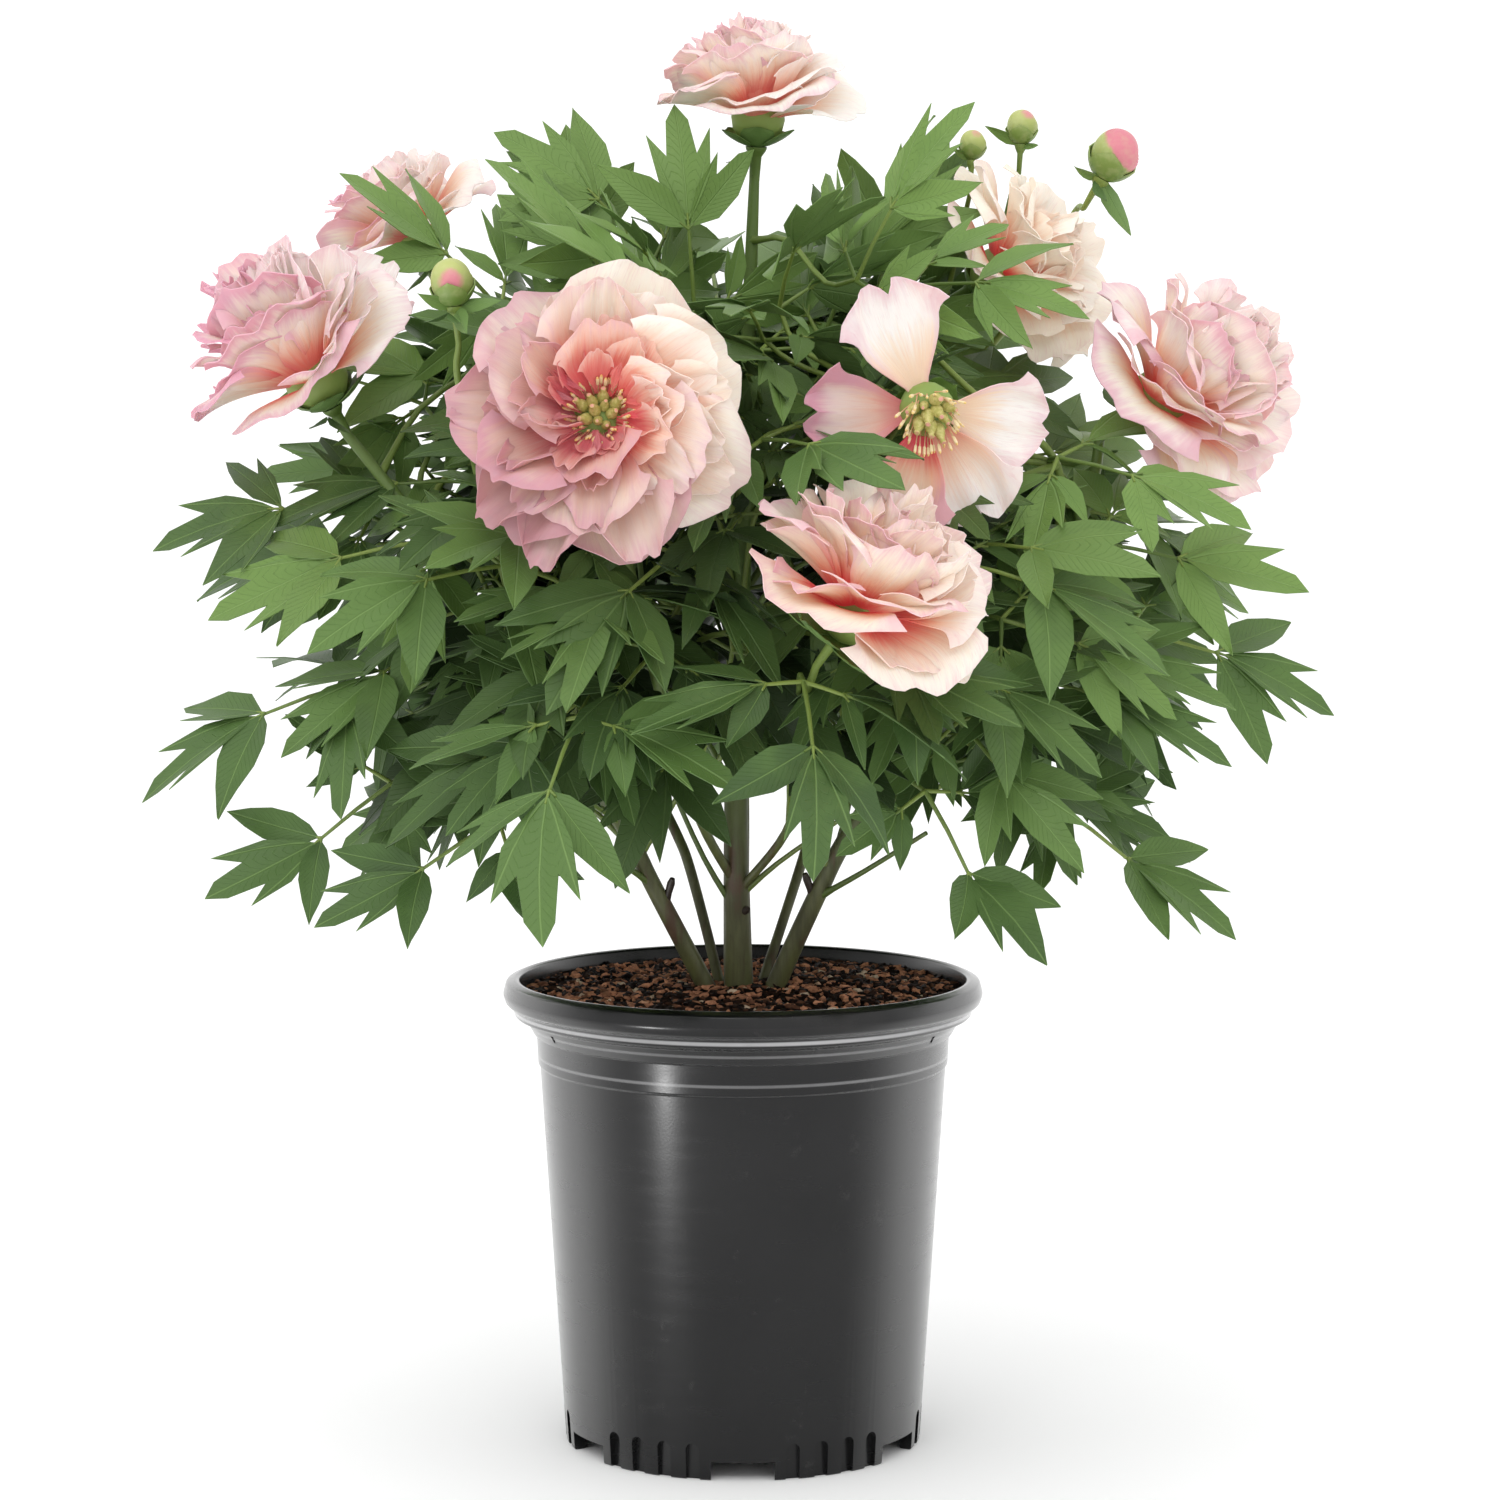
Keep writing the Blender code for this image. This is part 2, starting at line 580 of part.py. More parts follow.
def make_soil(parts, cutters, finish):
    """The soil, lumpy on top, with a plain hole for each stem."""
    rng = seeded("soil")
    clear = WALL + GAP
    inner_base = POT_BASE_RADIUS - FLOOR_INSET - GAP
    edge_share = (SOIL_EDGE - COLLAR_TOP) / (LIP_INSIDE[1] - COLLAR_TOP)
    edge_radius = COLLAR_INSIDE + edge_share * (LIP_INSIDE[0] - COLLAR_INSIDE) - GAP
    top = [(0.0, SOIL_EDGE + SOIL_MOUND)]
    for radius in SOIL_RINGS:
        top.append((radius, SOIL_EDGE + SOIL_MOUND * (1 - radius / edge_radius)))
    side = [(edge_radius, SOIL_EDGE), (COLLAR_INSIDE - GAP, COLLAR_TOP),
            (BODY_TOP_RADIUS - clear, BODY_TOP), (inner_base, FLOOR_TOP + GAP),
            (0.0, FLOOR_TOP + GAP)]
    turned = screw("soil", top + side, cutters)
    mesh = evaluated_mesh(turned)
    bpy.data.objects.remove(turned)
    for corner in mesh.vertices:
        if corner.co.z > SOIL_EDGE + WELD:
            corner.co.z += rng.uniform(-SOIL_LUMP, SOIL_LUMP)
    work = bmesh.new()
    work.from_mesh(mesh)
    bmesh.ops.triangulate(work, faces=work.faces)
    work.to_mesh(mesh)
    work.free()
    soil = add_object("soil", mesh, parts, finish)
    work = bmesh.new()
    for branches in STEMS.values():
        points, radius, _ = branches[0]
        x, y = points[0]
        path = [Vector((x, y, SOIL_EDGE - STEM_DEPTH - GAP)), Vector((x, y, HOLE_TOP))]
        work.from_mesh(tube(path, [radius + HOLE_CLEARANCE] * 2, 1))
    cutter = add_object("soil_cutter", mesh_from(work, "soil_cutter"), cutters)
    cutter.hide_render = True
    cutter.display_type = "WIRE"
    cut = soil.modifiers.new("Stem holes", "BOOLEAN")
    cut.operation = "DIFFERENCE"
    cut.object = cutter
    return soil


def side_of(axis):
    """A level unit direction square to an axis."""
    side = axis.cross(UP)
    if side.length < 0.05:
        side = axis.cross(Vector((0, 1, 0)))
    return side.normalized()


def petal_point(petal, s, t):
    """A point of a petal: s runs from its root to its tip and t from side to side."""
    axis, out, across, length, half_width, lean_start, lean_end, root = petal
    reach = s * (1 - PETAL_ROUNDING * t * t * s)
    lean = lean_start + (lean_end - lean_start) * reach
    bend = lean_end - lean_start
    along = (math.sin(lean) - math.sin(lean_start)) / bend
    away = (math.cos(lean_start) - math.cos(lean)) / bend
    inward = axis * math.sin(lean) - out * math.cos(lean)
    swell = math.sin(math.pi / 2 * min(s / PETAL_WIDEST, 1.0)) ** PETAL_SWELL
    spread = PETAL_ROOT_WIDTH + (1 - PETAL_ROOT_WIDTH) * swell
    if s > PETAL_WIDEST:
        spread -= PETAL_NARROWING * ((s - PETAL_WIDEST) / (1 - PETAL_WIDEST)) ** 2
    sideways = half_width * spread
    point = root + length * (axis * along + out * away) + across * (sideways * t)
    return point + inward * sideways * (PETAL_CUP * t * t + PETAL_TWIST * t)


def petals_of(bloom):
    """The petals of a bloom, ring by ring from the outside."""
    rng = seeded(bloom.name)
    axis = Vector(bloom.axis).normalized()
    first = side_of(axis)
    core = bloom.radius * CORE_SHARE
    petals = []
    for level, ring in enumerate(bloom.rings):
        for index in range(ring.count):
            turn = 2 * math.pi * (index + 0.5 * level) / ring.count
            turn += rng.uniform(-TURN_STRAY, TURN_STRAY)
            out = (Matrix.Rotation(turn, 3, axis) @ first).normalized()
            across = axis.cross(out)
            lean = math.radians(rng.uniform(-LEAN_STRAY, LEAN_STRAY))
            length = bloom.radius * ring.length * rng.uniform(*LENGTH_STRAY)
            root = Vector(bloom.centre) + out * (core * ring.seat)
            root += axis * (core * ROOT_STEP * level)
            petals.append((axis, out, across, length, bloom.radius * ring.width / 2,
                           math.radians(ring.lean_start) + lean,
                           math.radians(ring.lean_end) + lean, root))
    return petals


def sheet_mesh(rows, thickness, root=None):
    """A thin closed blade over rows of points, split into triangles alike on both faces."""
    work = bmesh.new()
    grid = [[work.verts.new(point) for point in row] for row in rows]
    if root is not None:
        foot = work.verts.new(root)
        for left, right in zip(grid[0], grid[0][1:]):
            work.faces.new((foot, left, right))
    for lower, upper in zip(grid, grid[1:]):
        middle = len(lower) // 2
        for k in range(len(lower) - 1):
            a, b, c, d = lower[k], lower[k + 1], upper[k + 1], upper[k]
            if k < middle:
                work.faces.new((a, b, c))
                work.faces.new((a, c, d))
            else:
                work.faces.new((a, b, d))
                work.faces.new((b, c, d))
    return thicken(work, thickness)


def thicken(work, thickness):
    """Gives an open blade its thickness and returns it as a closed mesh."""
    bmesh.ops.recalc_face_normals(work, faces=work.faces)
    bmesh.ops.solidify(work, geom=work.faces[:], thickness=thickness)
    bmesh.ops.triangulate(work, faces=work.faces)
    bmesh.ops.recalc_face_normals(work, faces=work.faces)
    return mesh_from(work, "blade")


def petal_mesh(petal, thickness):
    """One petal as a closed blade."""
    rows = [[petal_point(petal, s, t) for t in PETAL_COLUMNS] for s in PETAL_ROWS]
    return sheet_mesh(rows, thickness, root=petal[-1])


def ball_mesh(centre, radius, axis, stretch=1.0, turns=7, rings=4):
    """A faceted ball, longer along its axis by the stretch."""
    work = bmesh.new()
    bmesh.ops.create_uvsphere(work, u_segments=turns, v_segments=rings, radius=radius)
    bmesh.ops.scale(work, verts=work.verts, vec=(1, 1, stretch))
    turn = UP.rotation_difference(axis).to_matrix().to_4x4()
    bmesh.ops.transform(work, verts=work.verts, matrix=Matrix.Translation(centre) @ turn)
    bmesh.ops.triangulate(work, faces=work.faces)
    return mesh_from(work, "ball")


def bloom_pieces(bloom):
    """The core and the petals of a bloom, before they are fused."""
    axis = Vector(bloom.axis).normalized()
    core = ball_mesh(Vector(bloom.centre), bloom.radius * CORE_SHARE, axis)
    return [core] + [petal_mesh(petal, BLADE) for petal in petals_of(bloom)]


def cone_mesh(foot, direction, sizes, sides):
    """A closed cone from its foot along a direction: its sizes are two radii and a height."""
    wide, narrow, height = sizes
    work = bmesh.new()
    bmesh.ops.create_cone(work, cap_ends=True, segments=sides, radius1=wide, radius2=narrow,
                          depth=height)
    bmesh.ops.translate(work, verts=work.verts, vec=(0, 0, height / 2))
    spin = UP.rotation_difference(direction).to_matrix().to_4x4()
    bmesh.ops.transform(work, verts=work.verts, matrix=Matrix.Translation(foot) @ spin)
    return mesh_from(work, "cone")


def centre_pieces(bloom):
    """The disc and the carpels in the heart of an open bloom, before they are fused."""
    axis = Vector(bloom.axis).normalized()
    seat = Vector(bloom.centre) + axis * (bloom.radius * CORE_SHARE + GAP)
    side = side_of(axis)
    pieces = [cone_mesh(seat, axis, CENTRE_DISC, DISC_SIDES)]
    for index in range(CARPEL_COUNT):
        turn = 2 * math.pi * index / CARPEL_COUNT
        out = (Matrix.Rotation(turn, 3, axis) @ side).normalized()
        direction = (axis + CARPEL_LEAN * out).normalized()
        foot = seat + out * CARPEL_PLACE + axis * CARPEL_ROOT
        pieces.append(cone_mesh(foot, direction, CARPEL, CARPEL_SIDES))
    return pieces


def bud_mesh(bud):
    """A bud: a ball that its outer petals wrap in low folds."""
    _, centre, axis, radius = bud
    mesh = ball_mesh(Vector((0, 0, 0)), radius, UP, BUD_STRETCH, turns=8, rings=6)
    for corner in mesh.vertices:
        angle = math.atan2(corner.co.y, corner.co.x)
        height = corner.co.z / (radius * BUD_STRETCH)
        fold = 1 + BUD_FOLD * math.sin(BUD_FOLDS * (angle + height))
        corner.co.x *= fold
        corner.co.y *= fold
    turn = UP.rotation_difference(Vector(axis).normalized()).to_matrix().to_4x4()
    mesh.transform(Matrix.Translation(Vector(centre)) @ turn)
    return mesh


def end_of_branch(target):
    """Where a stalk ends under a bloom or bud: its place, its axis and the flare's radius."""
    for bloom in BLOOMS:
        if bloom.name == target:
            axis = Vector(bloom.axis).normalized()
            end = Vector(bloom.centre) - axis * (bloom.radius * CORE_SHARE + GAP)
            return end, axis, CUP_RADIUS
    for name, centre, axis, radius in BUDS:
        if name == target:
            axis = Vector(axis).normalized()
            end = Vector(centre) - axis * (radius * BUD_STRETCH + GAP)
            return end, axis, BUD_CUP_SHARE * radius
    raise ValueError(target)


def branch_path(branch, first):
    """The path and radii of a branch, with its foot in the soil if it is a stem's first."""
    points, start_radius, end_radius = branch
    places = [point for point in points if not isinstance(point, str)]
    target = points[-1] if isinstance(points[-1], str) else None
    tip = None
    if target:
        end, axis, flare = end_of_branch(target)
        tip = [end - axis * CUP_HEIGHT, end - axis * CUP_RIM, end]
        places = places + [tuple(end - axis * CUP_STALK)]
    if first:
        places = [(*points[0], STEM_BEND)] + places[1:]
    path = smooth_path(places, 2 if first else 1)
    count = len(path)
    radii = [start_radius + (end_radius - start_radius) * k / (count - 1) for k in range(count)]
    if first:
        path = [Vector((*points[0], SOIL_EDGE - STEM_DEPTH))] + path
        radii = [start_radius] + radii
    if tip:
        path += tip
        radii += [end_radius, flare, flare]
    return Branch(path, radii, target is None)


def leaf_basis(leaf):
    """The directions of a leaf: ahead, to its side, and square to its upper face.

    Leaves in the front half of the bush turn their faces to the front, the others to the back.
    """
    ahead = Vector(leaf.forward).normalized()
    look = UP + Vector((0, -LOOK_OUT if leaf.hub[1] < MIDDLE_OF_BUSH else LOOK_OUT, 0))
    face = (look - ahead * look.dot(ahead)).normalized()
    face = Matrix.Rotation(leaf.roll, 3, ahead) @ face
    return ahead, face.cross(ahead), face


def leaf_point(leaf, x, y, lift=0.0):
    """A point of a leaf in space: x runs ahead from its hub and y to its side."""
    ahead, side, face = leaf_basis(leaf)
    angle = LEAF_ARCH * x
    out = math.sin(angle) / LEAF_ARCH
    drop = (1 - math.cos(angle)) / LEAF_ARCH + LEAF_DROOP * y * y
    return Vector(leaf.hub) + ahead * out + side * y + face * (lift - drop)


def leaf_mesh(leaf, thickness):
    """Leaflets in three groups, as one thin arched blade: seven in front, five at the back."""
    groups = GROUPS if leaf.hub[1] < MIDDLE_OF_BUSH else PLAIN_GROUPS
    work = bmesh.new()
    half = TAIL_WIDTH / 2

    def corner(turn, x, y, lift=0.0):
        ahead = x * math.cos(turn) - y * math.sin(turn)
        aside = x * math.sin(turn) + y * math.cos(turn)
        return work.verts.new(leaf_point(leaf, ahead, aside, lift))

    middle = corner(0.0, 0.0, 0.0)
    crotches = [corner((first.turn + second.turn) / 2, HUB_RADIUS, 0.0)
                for first, second in zip(groups, groups[1:])]
    starts = [corner(0.0, -half, -half)] + crotches + [corner(0.0, -half, half)]
    work.faces.new((middle, starts[-1], starts[0]))
    for group, right_start, left_start in zip(groups, starts, starts[1:]):
        tail = group.tail * leaf.scale
        right_knee = corner(group.turn, tail - half, -half)
        left_knee = corner(group.turn, tail - half, half)
        hub = corner(group.turn, tail, 0.0)
        work.faces.new((middle, right_start, left_start))
        work.faces.new((right_start, right_knee, left_knee))
        work.faces.new((right_start, left_knee, left_start))
        work.faces.new((right_knee, hub, left_knee))
        notches = []
        for first, second in zip(group.leaflets, group.leaflets[1:]):
            lean = (first + second) / 2
            reach = NOTCH * LEAFLET_LENGTH * group.scale * leaf.scale
            notches.append(corner(group.turn, tail + reach * math.cos(lean), reach * math.sin(lean)))
        befores = [right_knee] + notches
        afters = notches + [left_knee]
        for lean, before, after in zip(group.leaflets, befores, afters):
            length = LEAFLET_LENGTH * group.scale * leaf.scale * (SIDE_SCALE if lean else 1.0)
            width = length * LEAFLET_HALF_WIDTH
            wide = LEAFLET_WIDEST * length
            places = []
            for along, aside in ((wide, -width), (wide, width), (length, 0.0)):
                x = tail + along * math.cos(lean) - aside * math.sin(lean)
                y = along * math.sin(lean) + aside * math.cos(lean)
                places.append((group.turn, x, y, LEAFLET_FOLD * abs(aside)))
            right, left, tip = (corner(*place) for place in places)
            for face in ((hub, before, right), (hub, left, after), (hub, right, tip),
                         (hub, tip, left)):
                work.faces.new(face)
    return thicken(work, thickness)


def petiole_path(leaf, foot, growth):
    """The stalk of a leaf, from its foot on a branch to the leaf's hub."""
    hub = Vector(leaf.hub)
    ahead = Vector(leaf.forward).normalized()
    reach = (hub - foot).length
    leave = (growth + (hub - foot).normalized()).normalized()
    first = foot + leave * reach * PETIOLE_LEAVE
    last = hub - ahead * reach * PETIOLE_ARRIVE
    path = []
    for step in range(PETIOLE_STEPS + 1):
        t = step / PETIOLE_STEPS
        path.append(foot * (1 - t) ** 3 + first * 3 * t * (1 - t) ** 2
                    + last * 3 * t * t * (1 - t) + hub * t ** 3)
    path[-1] = hub + ahead * HUB_OVERLAP
    return path


def leaf_targets(rng):
    """The leaves wanted: those that the front view shows, and the rest evenly on a dome."""
    targets = list(NAMED_LEAVES)
    low, high = DOME[0][0], DOME[-1][0]
    for index in range(RULE_LEAVES):
        azimuth = BACK_SPREAD * ((index * GOLDEN_SHARE + 0.5) % 1.0 - 0.5) + math.pi / 2
        share = (index + 0.5) / RULE_LEAVES
        height = low + (high - low) * share
        for (z0, r0, a0), (z1, r1, a1) in zip(DOME, DOME[1:]):
            if z0 <= height <= z1:
                t = (height - z0) / (z1 - z0)
                radius = r0 + (r1 - r0) * t
                look = math.radians(a0 + (a1 - a0) * t)
        out = Vector((math.cos(azimuth), math.sin(azimuth), 0))
        hub = out * radius + UP * height
        forward = out * math.cos(look) + UP * math.sin(look)
        scale = 1 + rng.uniform(-SCALE_STRAY, SCALE_STRAY)
        targets.append(Leaf(tuple(hub), tuple(forward), scale))
    return targets


def feet_for(leaf, branches):
    """Places on the branches where the leaf's stalk could start, the likeliest first."""
    hub = Vector(leaf.hub)
    shortest, best, longest = STALK_REACH
    choices = []
    for node, paths in branches.items():
        for path in paths:
            last = len(path.points) - 1 - (0 if path.bare_tip else CUP_POINTS)
            for k in range(1, last + 1):
                foot = path.points[k]
                if foot.z < LOWEST_FOOT:
                    continue
                growth = (path.points[min(k + 1, last)] - path.points[k - 1]).normalized()
                reach = (hub - foot).length
                rise = (hub - foot).normalized().dot(growth)
                cost = abs(reach - best) + RISE_COST * max(0.0, STALK_RISE - rise)
                if shortest < reach < longest:
                    choices.append((round(cost, 6), node, foot, growth))
    choices.sort(key=lambda choice: choice[0])
    return choices[:FEET_TRIED]


def blocked(tree, blockers, own_node=None):
    """True if a trial solid meets any solid already placed, its own node's branches apart."""
    return any(tree.overlap(other) for node, is_branch, other in blockers
               if not (is_branch and node == own_node))


def place_leaf(target, branches, blockers, rng):
    """Finds a clear place for a leaf close to its target, or None."""
    for trial in range(TRIALS):
        nudge = Vector([rng.uniform(-1, 1) for _ in range(3)]) * (HUB_STRAY * trial)
        tilt = Vector([rng.uniform(-1, 1) for _ in range(3)]) * (TILT_STRAY * trial)
        roll = rng.uniform(-ROLL_STRAY, ROLL_STRAY)
        forward = (Vector(target.forward).normalized() + tilt).normalized()
        leaf = Leaf(tuple(Vector(target.hub) + nudge), tuple(forward), target.scale, roll)
        wide = leaf_mesh(leaf, CLEARANCE)
        lowest = min(corner.co.z for corner in wide.vertices)
        tree = tree_of(wide)
        bpy.data.meshes.remove(wide)
        if lowest < LOWEST_LEAF or blocked(tree, blockers):
            continue
        for _, node, foot, growth in feet_for(leaf, branches):
            path = petiole_path(leaf, foot, growth)
            wide = tube(path, [PETIOLE_RADIUS + PETIOLE_CLEARANCE] * len(path), 0)
            tree = tree_of(wide)
            bpy.data.meshes.remove(wide)
            if not blocked(tree, blockers, own_node=node):
                return node, leaf, path
    return None


def sepal_meshes(target):
    """The small green bracts under a bloom or bud, each as a closed blade."""
    rng = seeded(target + " sepals")
    end, axis, flare = end_of_branch(target)
    first = side_of(axis)
    size = SEPAL_LENGTH * flare / CUP_RADIUS
    sepals = []
    for index in range(SEPAL_COUNT):
        turn = 2 * math.pi * (index + rng.uniform(0.0, SEPAL_STRAY)) / SEPAL_COUNT
        out = (Matrix.Rotation(turn, 3, axis) @ first).normalized()
        across = axis.cross(out)
        foot = end - axis * SEPAL_DROP + out * (flare / 2)
        tip = foot + (out * math.sin(SEPAL_LEAN) + axis * math.cos(SEPAL_LEAN)) * size
        rows = [[place - across * (half * size), place + across * (half * size)]
                for place, half in zip((foot, tip), SEPAL_HALF_WIDTHS)]
        sepals.append(sheet_mesh(rows, BLADE))
    return sepals


def settle(parts, cutters):
    """Hangs everything on one empty, which puts the origin in the middle of the part's box."""
    corners = []
    for item in parts.objects:
        mesh = evaluated_mesh(item)
        corners += [corner.co.copy() for corner in mesh.vertices]
        bpy.data.meshes.remove(mesh)
    middle_x = (min(c.x for c in corners) + max(c.x for c in corners)) / 2
    middle_y = (min(c.y for c in corners) + max(c.y for c in corners)) / 2
    holder = bpy.data.objects.new("middle_of_box", None)
    parts.objects.link(holder)
    holder.location = (-middle_x, -middle_y, 0)
    for item in list(parts.objects) + list(cutters.objects):
        if item is not holder:
            item.parent = holder
    bpy.context.view_layer.update()


def make_flowers(parts, finishes):
    """The blooms, their centres and the buds. Returns what the leaves must keep clear of."""
    blockers = []
    groups = [(bloom.name, bloom_pieces(bloom), "petal_peach") for bloom in BLOOMS]
    by_name = {bloom.name: bloom for bloom in BLOOMS}
    for name, bloom_name in CENTRES.items():
        groups.append((name, centre_pieces(by_name[bloom_name]), "centre_green_gold"))
    for bud in BUDS:
        groups.append((bud[0], [bud_mesh(bud)], "bud_green_pink"))
    for name, pieces, finish in groups:
        blockers.append((name, False, tree_of(*pieces)))
        mesh = union(pieces[0], pieces[1:], parts) if len(pieces) > 1 else pieces[0]
        add_object(name, mesh, parts, finishes[finish])
    return blockers


def make_stems(parts, blockers, finish):
    """The leafy stems: branches, cups, sepals, and leaves that keep clear of all the rest."""
    branches, rods, extras = {}, {}, {}
    for node, specs in STEMS.items():
        branches[node] = [branch_path(spec, index == 0) for index, spec in enumerate(specs)]
        rods[node] = [tube(path.points, path.radii, 1) for path in branches[node]]
        blockers += [(node, True, tree_of(mesh)) for mesh in rods[node]]
        extras[node] = []
    for node, specs in STEMS.items():
        for points, _, _ in specs:
            if points[-1] not in WITH_SEPALS:
                continue
            for mesh in sepal_meshes(points[-1]):
                tree = tree_of(mesh)
                if not any(tree.overlap(other) for _, is_branch, other in blockers if not is_branch):
                    extras[node].append(mesh)
                    blockers.append((node, False, tree))
    rng = seeded("leaves")
    for target in leaf_targets(rng):
        found = place_leaf(target, branches, blockers, rng)
        if found is not None:
            node, leaf, path = found
            for mesh in (tube(path, [PETIOLE_RADIUS] * len(path), 0), leaf_mesh(leaf, BLADE)):
                extras[node].append(mesh)
                blockers.append((node, False, tree_of(mesh)))
    for node in STEMS:
        mesh = union(rods[node][0], rods[node][1:] + extras[node], parts, "MANIFOLD")
        add_object(node, mesh, parts, finish)


def main():
    """Builds the whole part."""
    remove_all()
    parts = bpy.data.collections.new(PART_NAME)
    cutters = bpy.data.collections.new("cutters")
    bpy.context.scene.collection.children.link(parts)
    bpy.context.scene.collection.children.link(cutters)
    finishes = {name: material(name, colour, roughness)
                for name, (colour, roughness) in FINISHES.items()}
    make_pot(parts, cutters, finishes["pot_plastic"])
    make_soil(parts, cutters, finishes["soil_bark"])
    blockers = make_flowers(parts, finishes)
    make_stems(parts, blockers, finishes["leaf_green"])
    settle(parts, cutters)


if __name__ == "__main__":
    main()
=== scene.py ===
"""The looks of a potted peony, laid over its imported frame.

The plan of the plant repeats the one that the frame was built from, in metres from the pot's
axis at floor level, so each finer piece has the place and form of the node it stands for.
"""
import math
import random
from collections import namedtuple
from functools import lru_cache

import bmesh
import bpy
import numpy as np
from mathutils import Matrix, Vector
from mathutils.bvhtree import BVHTree


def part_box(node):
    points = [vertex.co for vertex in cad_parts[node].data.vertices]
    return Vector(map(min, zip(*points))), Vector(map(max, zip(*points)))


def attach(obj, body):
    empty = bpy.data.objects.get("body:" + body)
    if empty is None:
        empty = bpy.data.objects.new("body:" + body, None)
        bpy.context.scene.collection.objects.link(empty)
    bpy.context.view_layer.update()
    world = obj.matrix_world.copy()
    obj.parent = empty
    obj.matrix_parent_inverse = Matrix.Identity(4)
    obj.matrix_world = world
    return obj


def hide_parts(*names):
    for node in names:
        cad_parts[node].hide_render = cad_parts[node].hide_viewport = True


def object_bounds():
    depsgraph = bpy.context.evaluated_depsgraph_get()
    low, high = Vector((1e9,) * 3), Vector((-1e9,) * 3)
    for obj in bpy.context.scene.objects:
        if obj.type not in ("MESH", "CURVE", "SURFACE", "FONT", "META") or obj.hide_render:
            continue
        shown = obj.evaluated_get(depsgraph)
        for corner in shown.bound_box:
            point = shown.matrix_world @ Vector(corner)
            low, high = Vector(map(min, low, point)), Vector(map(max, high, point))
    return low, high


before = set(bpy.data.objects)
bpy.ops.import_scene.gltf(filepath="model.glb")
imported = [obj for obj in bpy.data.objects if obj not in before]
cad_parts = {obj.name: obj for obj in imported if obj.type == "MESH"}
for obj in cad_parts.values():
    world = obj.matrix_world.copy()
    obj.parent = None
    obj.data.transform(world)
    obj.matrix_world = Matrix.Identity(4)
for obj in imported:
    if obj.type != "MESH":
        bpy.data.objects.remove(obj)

bl_info = {
    "name": "Potted peony",
    "version": (1, 0, 0),
    "blender": (4, 5, 0),
    "location": "View3D > Sidebar > Peony",
    "description": "Builds the petals, leaves, stems, soil and pot of a potted peony",
    "category": "Add Mesh",
}

PART_NAME = "potted_peony"
BODY = "root"
GAP = 0.0003
WELD = 0.00001
MERGE = 1e-6
SHARP = math.radians(50)
UP = Vector((0, 0, 1))
FRAME_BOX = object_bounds()

# Half sections of a carpel and of a stamen of unit length
CARPEL_SECTION = ((0.0, 0.0), (0.17, 0.0), (0.23, 0.15), (0.25, 0.32), (0.21, 0.52), (0.13, 0.72),
                  (0.09, 0.84), (0.12, 0.92), (0.09, 0.98), (0.0, 1.0))
STAMEN_SECTION = ((0.0, 0.0), (0.022, 0.0), (0.018, 0.62), (0.050, 0.68), (0.055, 0.88),
                  (0.030, 0.98), (0.0, 1.0))

# Pot: a two-gallon nursery pot
RIM_RADIUS = 0.1125
POT_HEIGHT = 0.2195
POT_BASE_RADIUS = 0.0836
BODY_TOP_RADIUS = 0.0952
BODY_TOP = 0.1785
COLLAR_TOP = 0.1931
WALL = 0.0022
FLOOR_INSET = 0.0055
FLOOR_BOTTOM = 0.0100
FLOOR_TOP = 0.0125
FOOT_INNER_RADIUS = 0.0775
FOOT_DEPTH = 0.020
GAP_COUNT = 6
GAP_HALF_ANGLE = math.radians(10)
GAP_HEIGHT = 0.0087
FLUTE_ANGLES = [math.radians(angle) for angle in (-14.25, -4.75, 4.75, 14.25)]
FLUTE_WIDTH = 0.0065
FLUTE_HEIGHT = 0.0170
FLUTE_DEPTH = 0.0025
SLOT_ANGLES = [math.radians(angle) for angle in (60, 180, 300)]
SLOT_SIZE = (0.0024, 0.0020, 0.0090)
SLOT_RADIUS = 0.1000
SLOT_HEIGHT = 0.1963
COLLAR_INSIDE = 0.0950
LIP_INSIDE = (0.1040, 0.2120)
# The rolled lip and the stepped collar under it, from inside to outside and down
LIP = ((0.1048, 0.2188), (0.1068, POT_HEIGHT), (0.1110, 0.2178), (RIM_RADIUS, 0.2121),
       (0.1112, 0.2082), (0.1080, 0.2064))
COLLAR = ((0.1070, 0.2022), (0.1022, 0.2010), (0.0980, 0.1936), (0.0968, COLLAR_TOP),
          (0.0961, 0.1793))
FOOT_TOP = (0.0844, 0.0120)

# Soil
SOIL_EDGE = 0.2075
SOIL_MOUND = 0.0025
SOIL_LUMP = 0.0011
STEM_DEPTH = 0.050
STEM_BEND = 0.2135

# Leaves
BLADE = 0.0008
LEAFLET_LENGTH = 0.058
LEAFLET_HALF_WIDTH = 0.17
LEAFLET_WIDEST = 0.42
LEAFLET_FOLD = 0.25
LEAF_ARCH = 5.0
LEAF_DROOP = 2.2
NOTCH = 0.13
TAIL_WIDTH = 0.0024
LEAFLET_TURN = math.radians(48)
GROUP_TURN = math.radians(72)
HUB_RADIUS = 0.0020
SIDE_SCALE = 0.84
LOOK_OUT = 0.85
MIDDLE_OF_BUSH = 0.03
PETIOLE_RADIUS = 0.0015
PETIOLE_STEPS = 3
PETIOLE_LEAVE = 0.36
PETIOLE_ARRIVE = 0.30
HUB_OVERLAP = 0.0012
LOWEST_LEAF = 0.226
LOWEST_FOOT = 0.25
CLEARANCE = 0.0026
PETIOLE_CLEARANCE = 0.0008
TRIALS = 26
HUB_STRAY = 0.0012
TILT_STRAY = 0.03
ROLL_STRAY = 0.25
SCALE_STRAY = 0.08
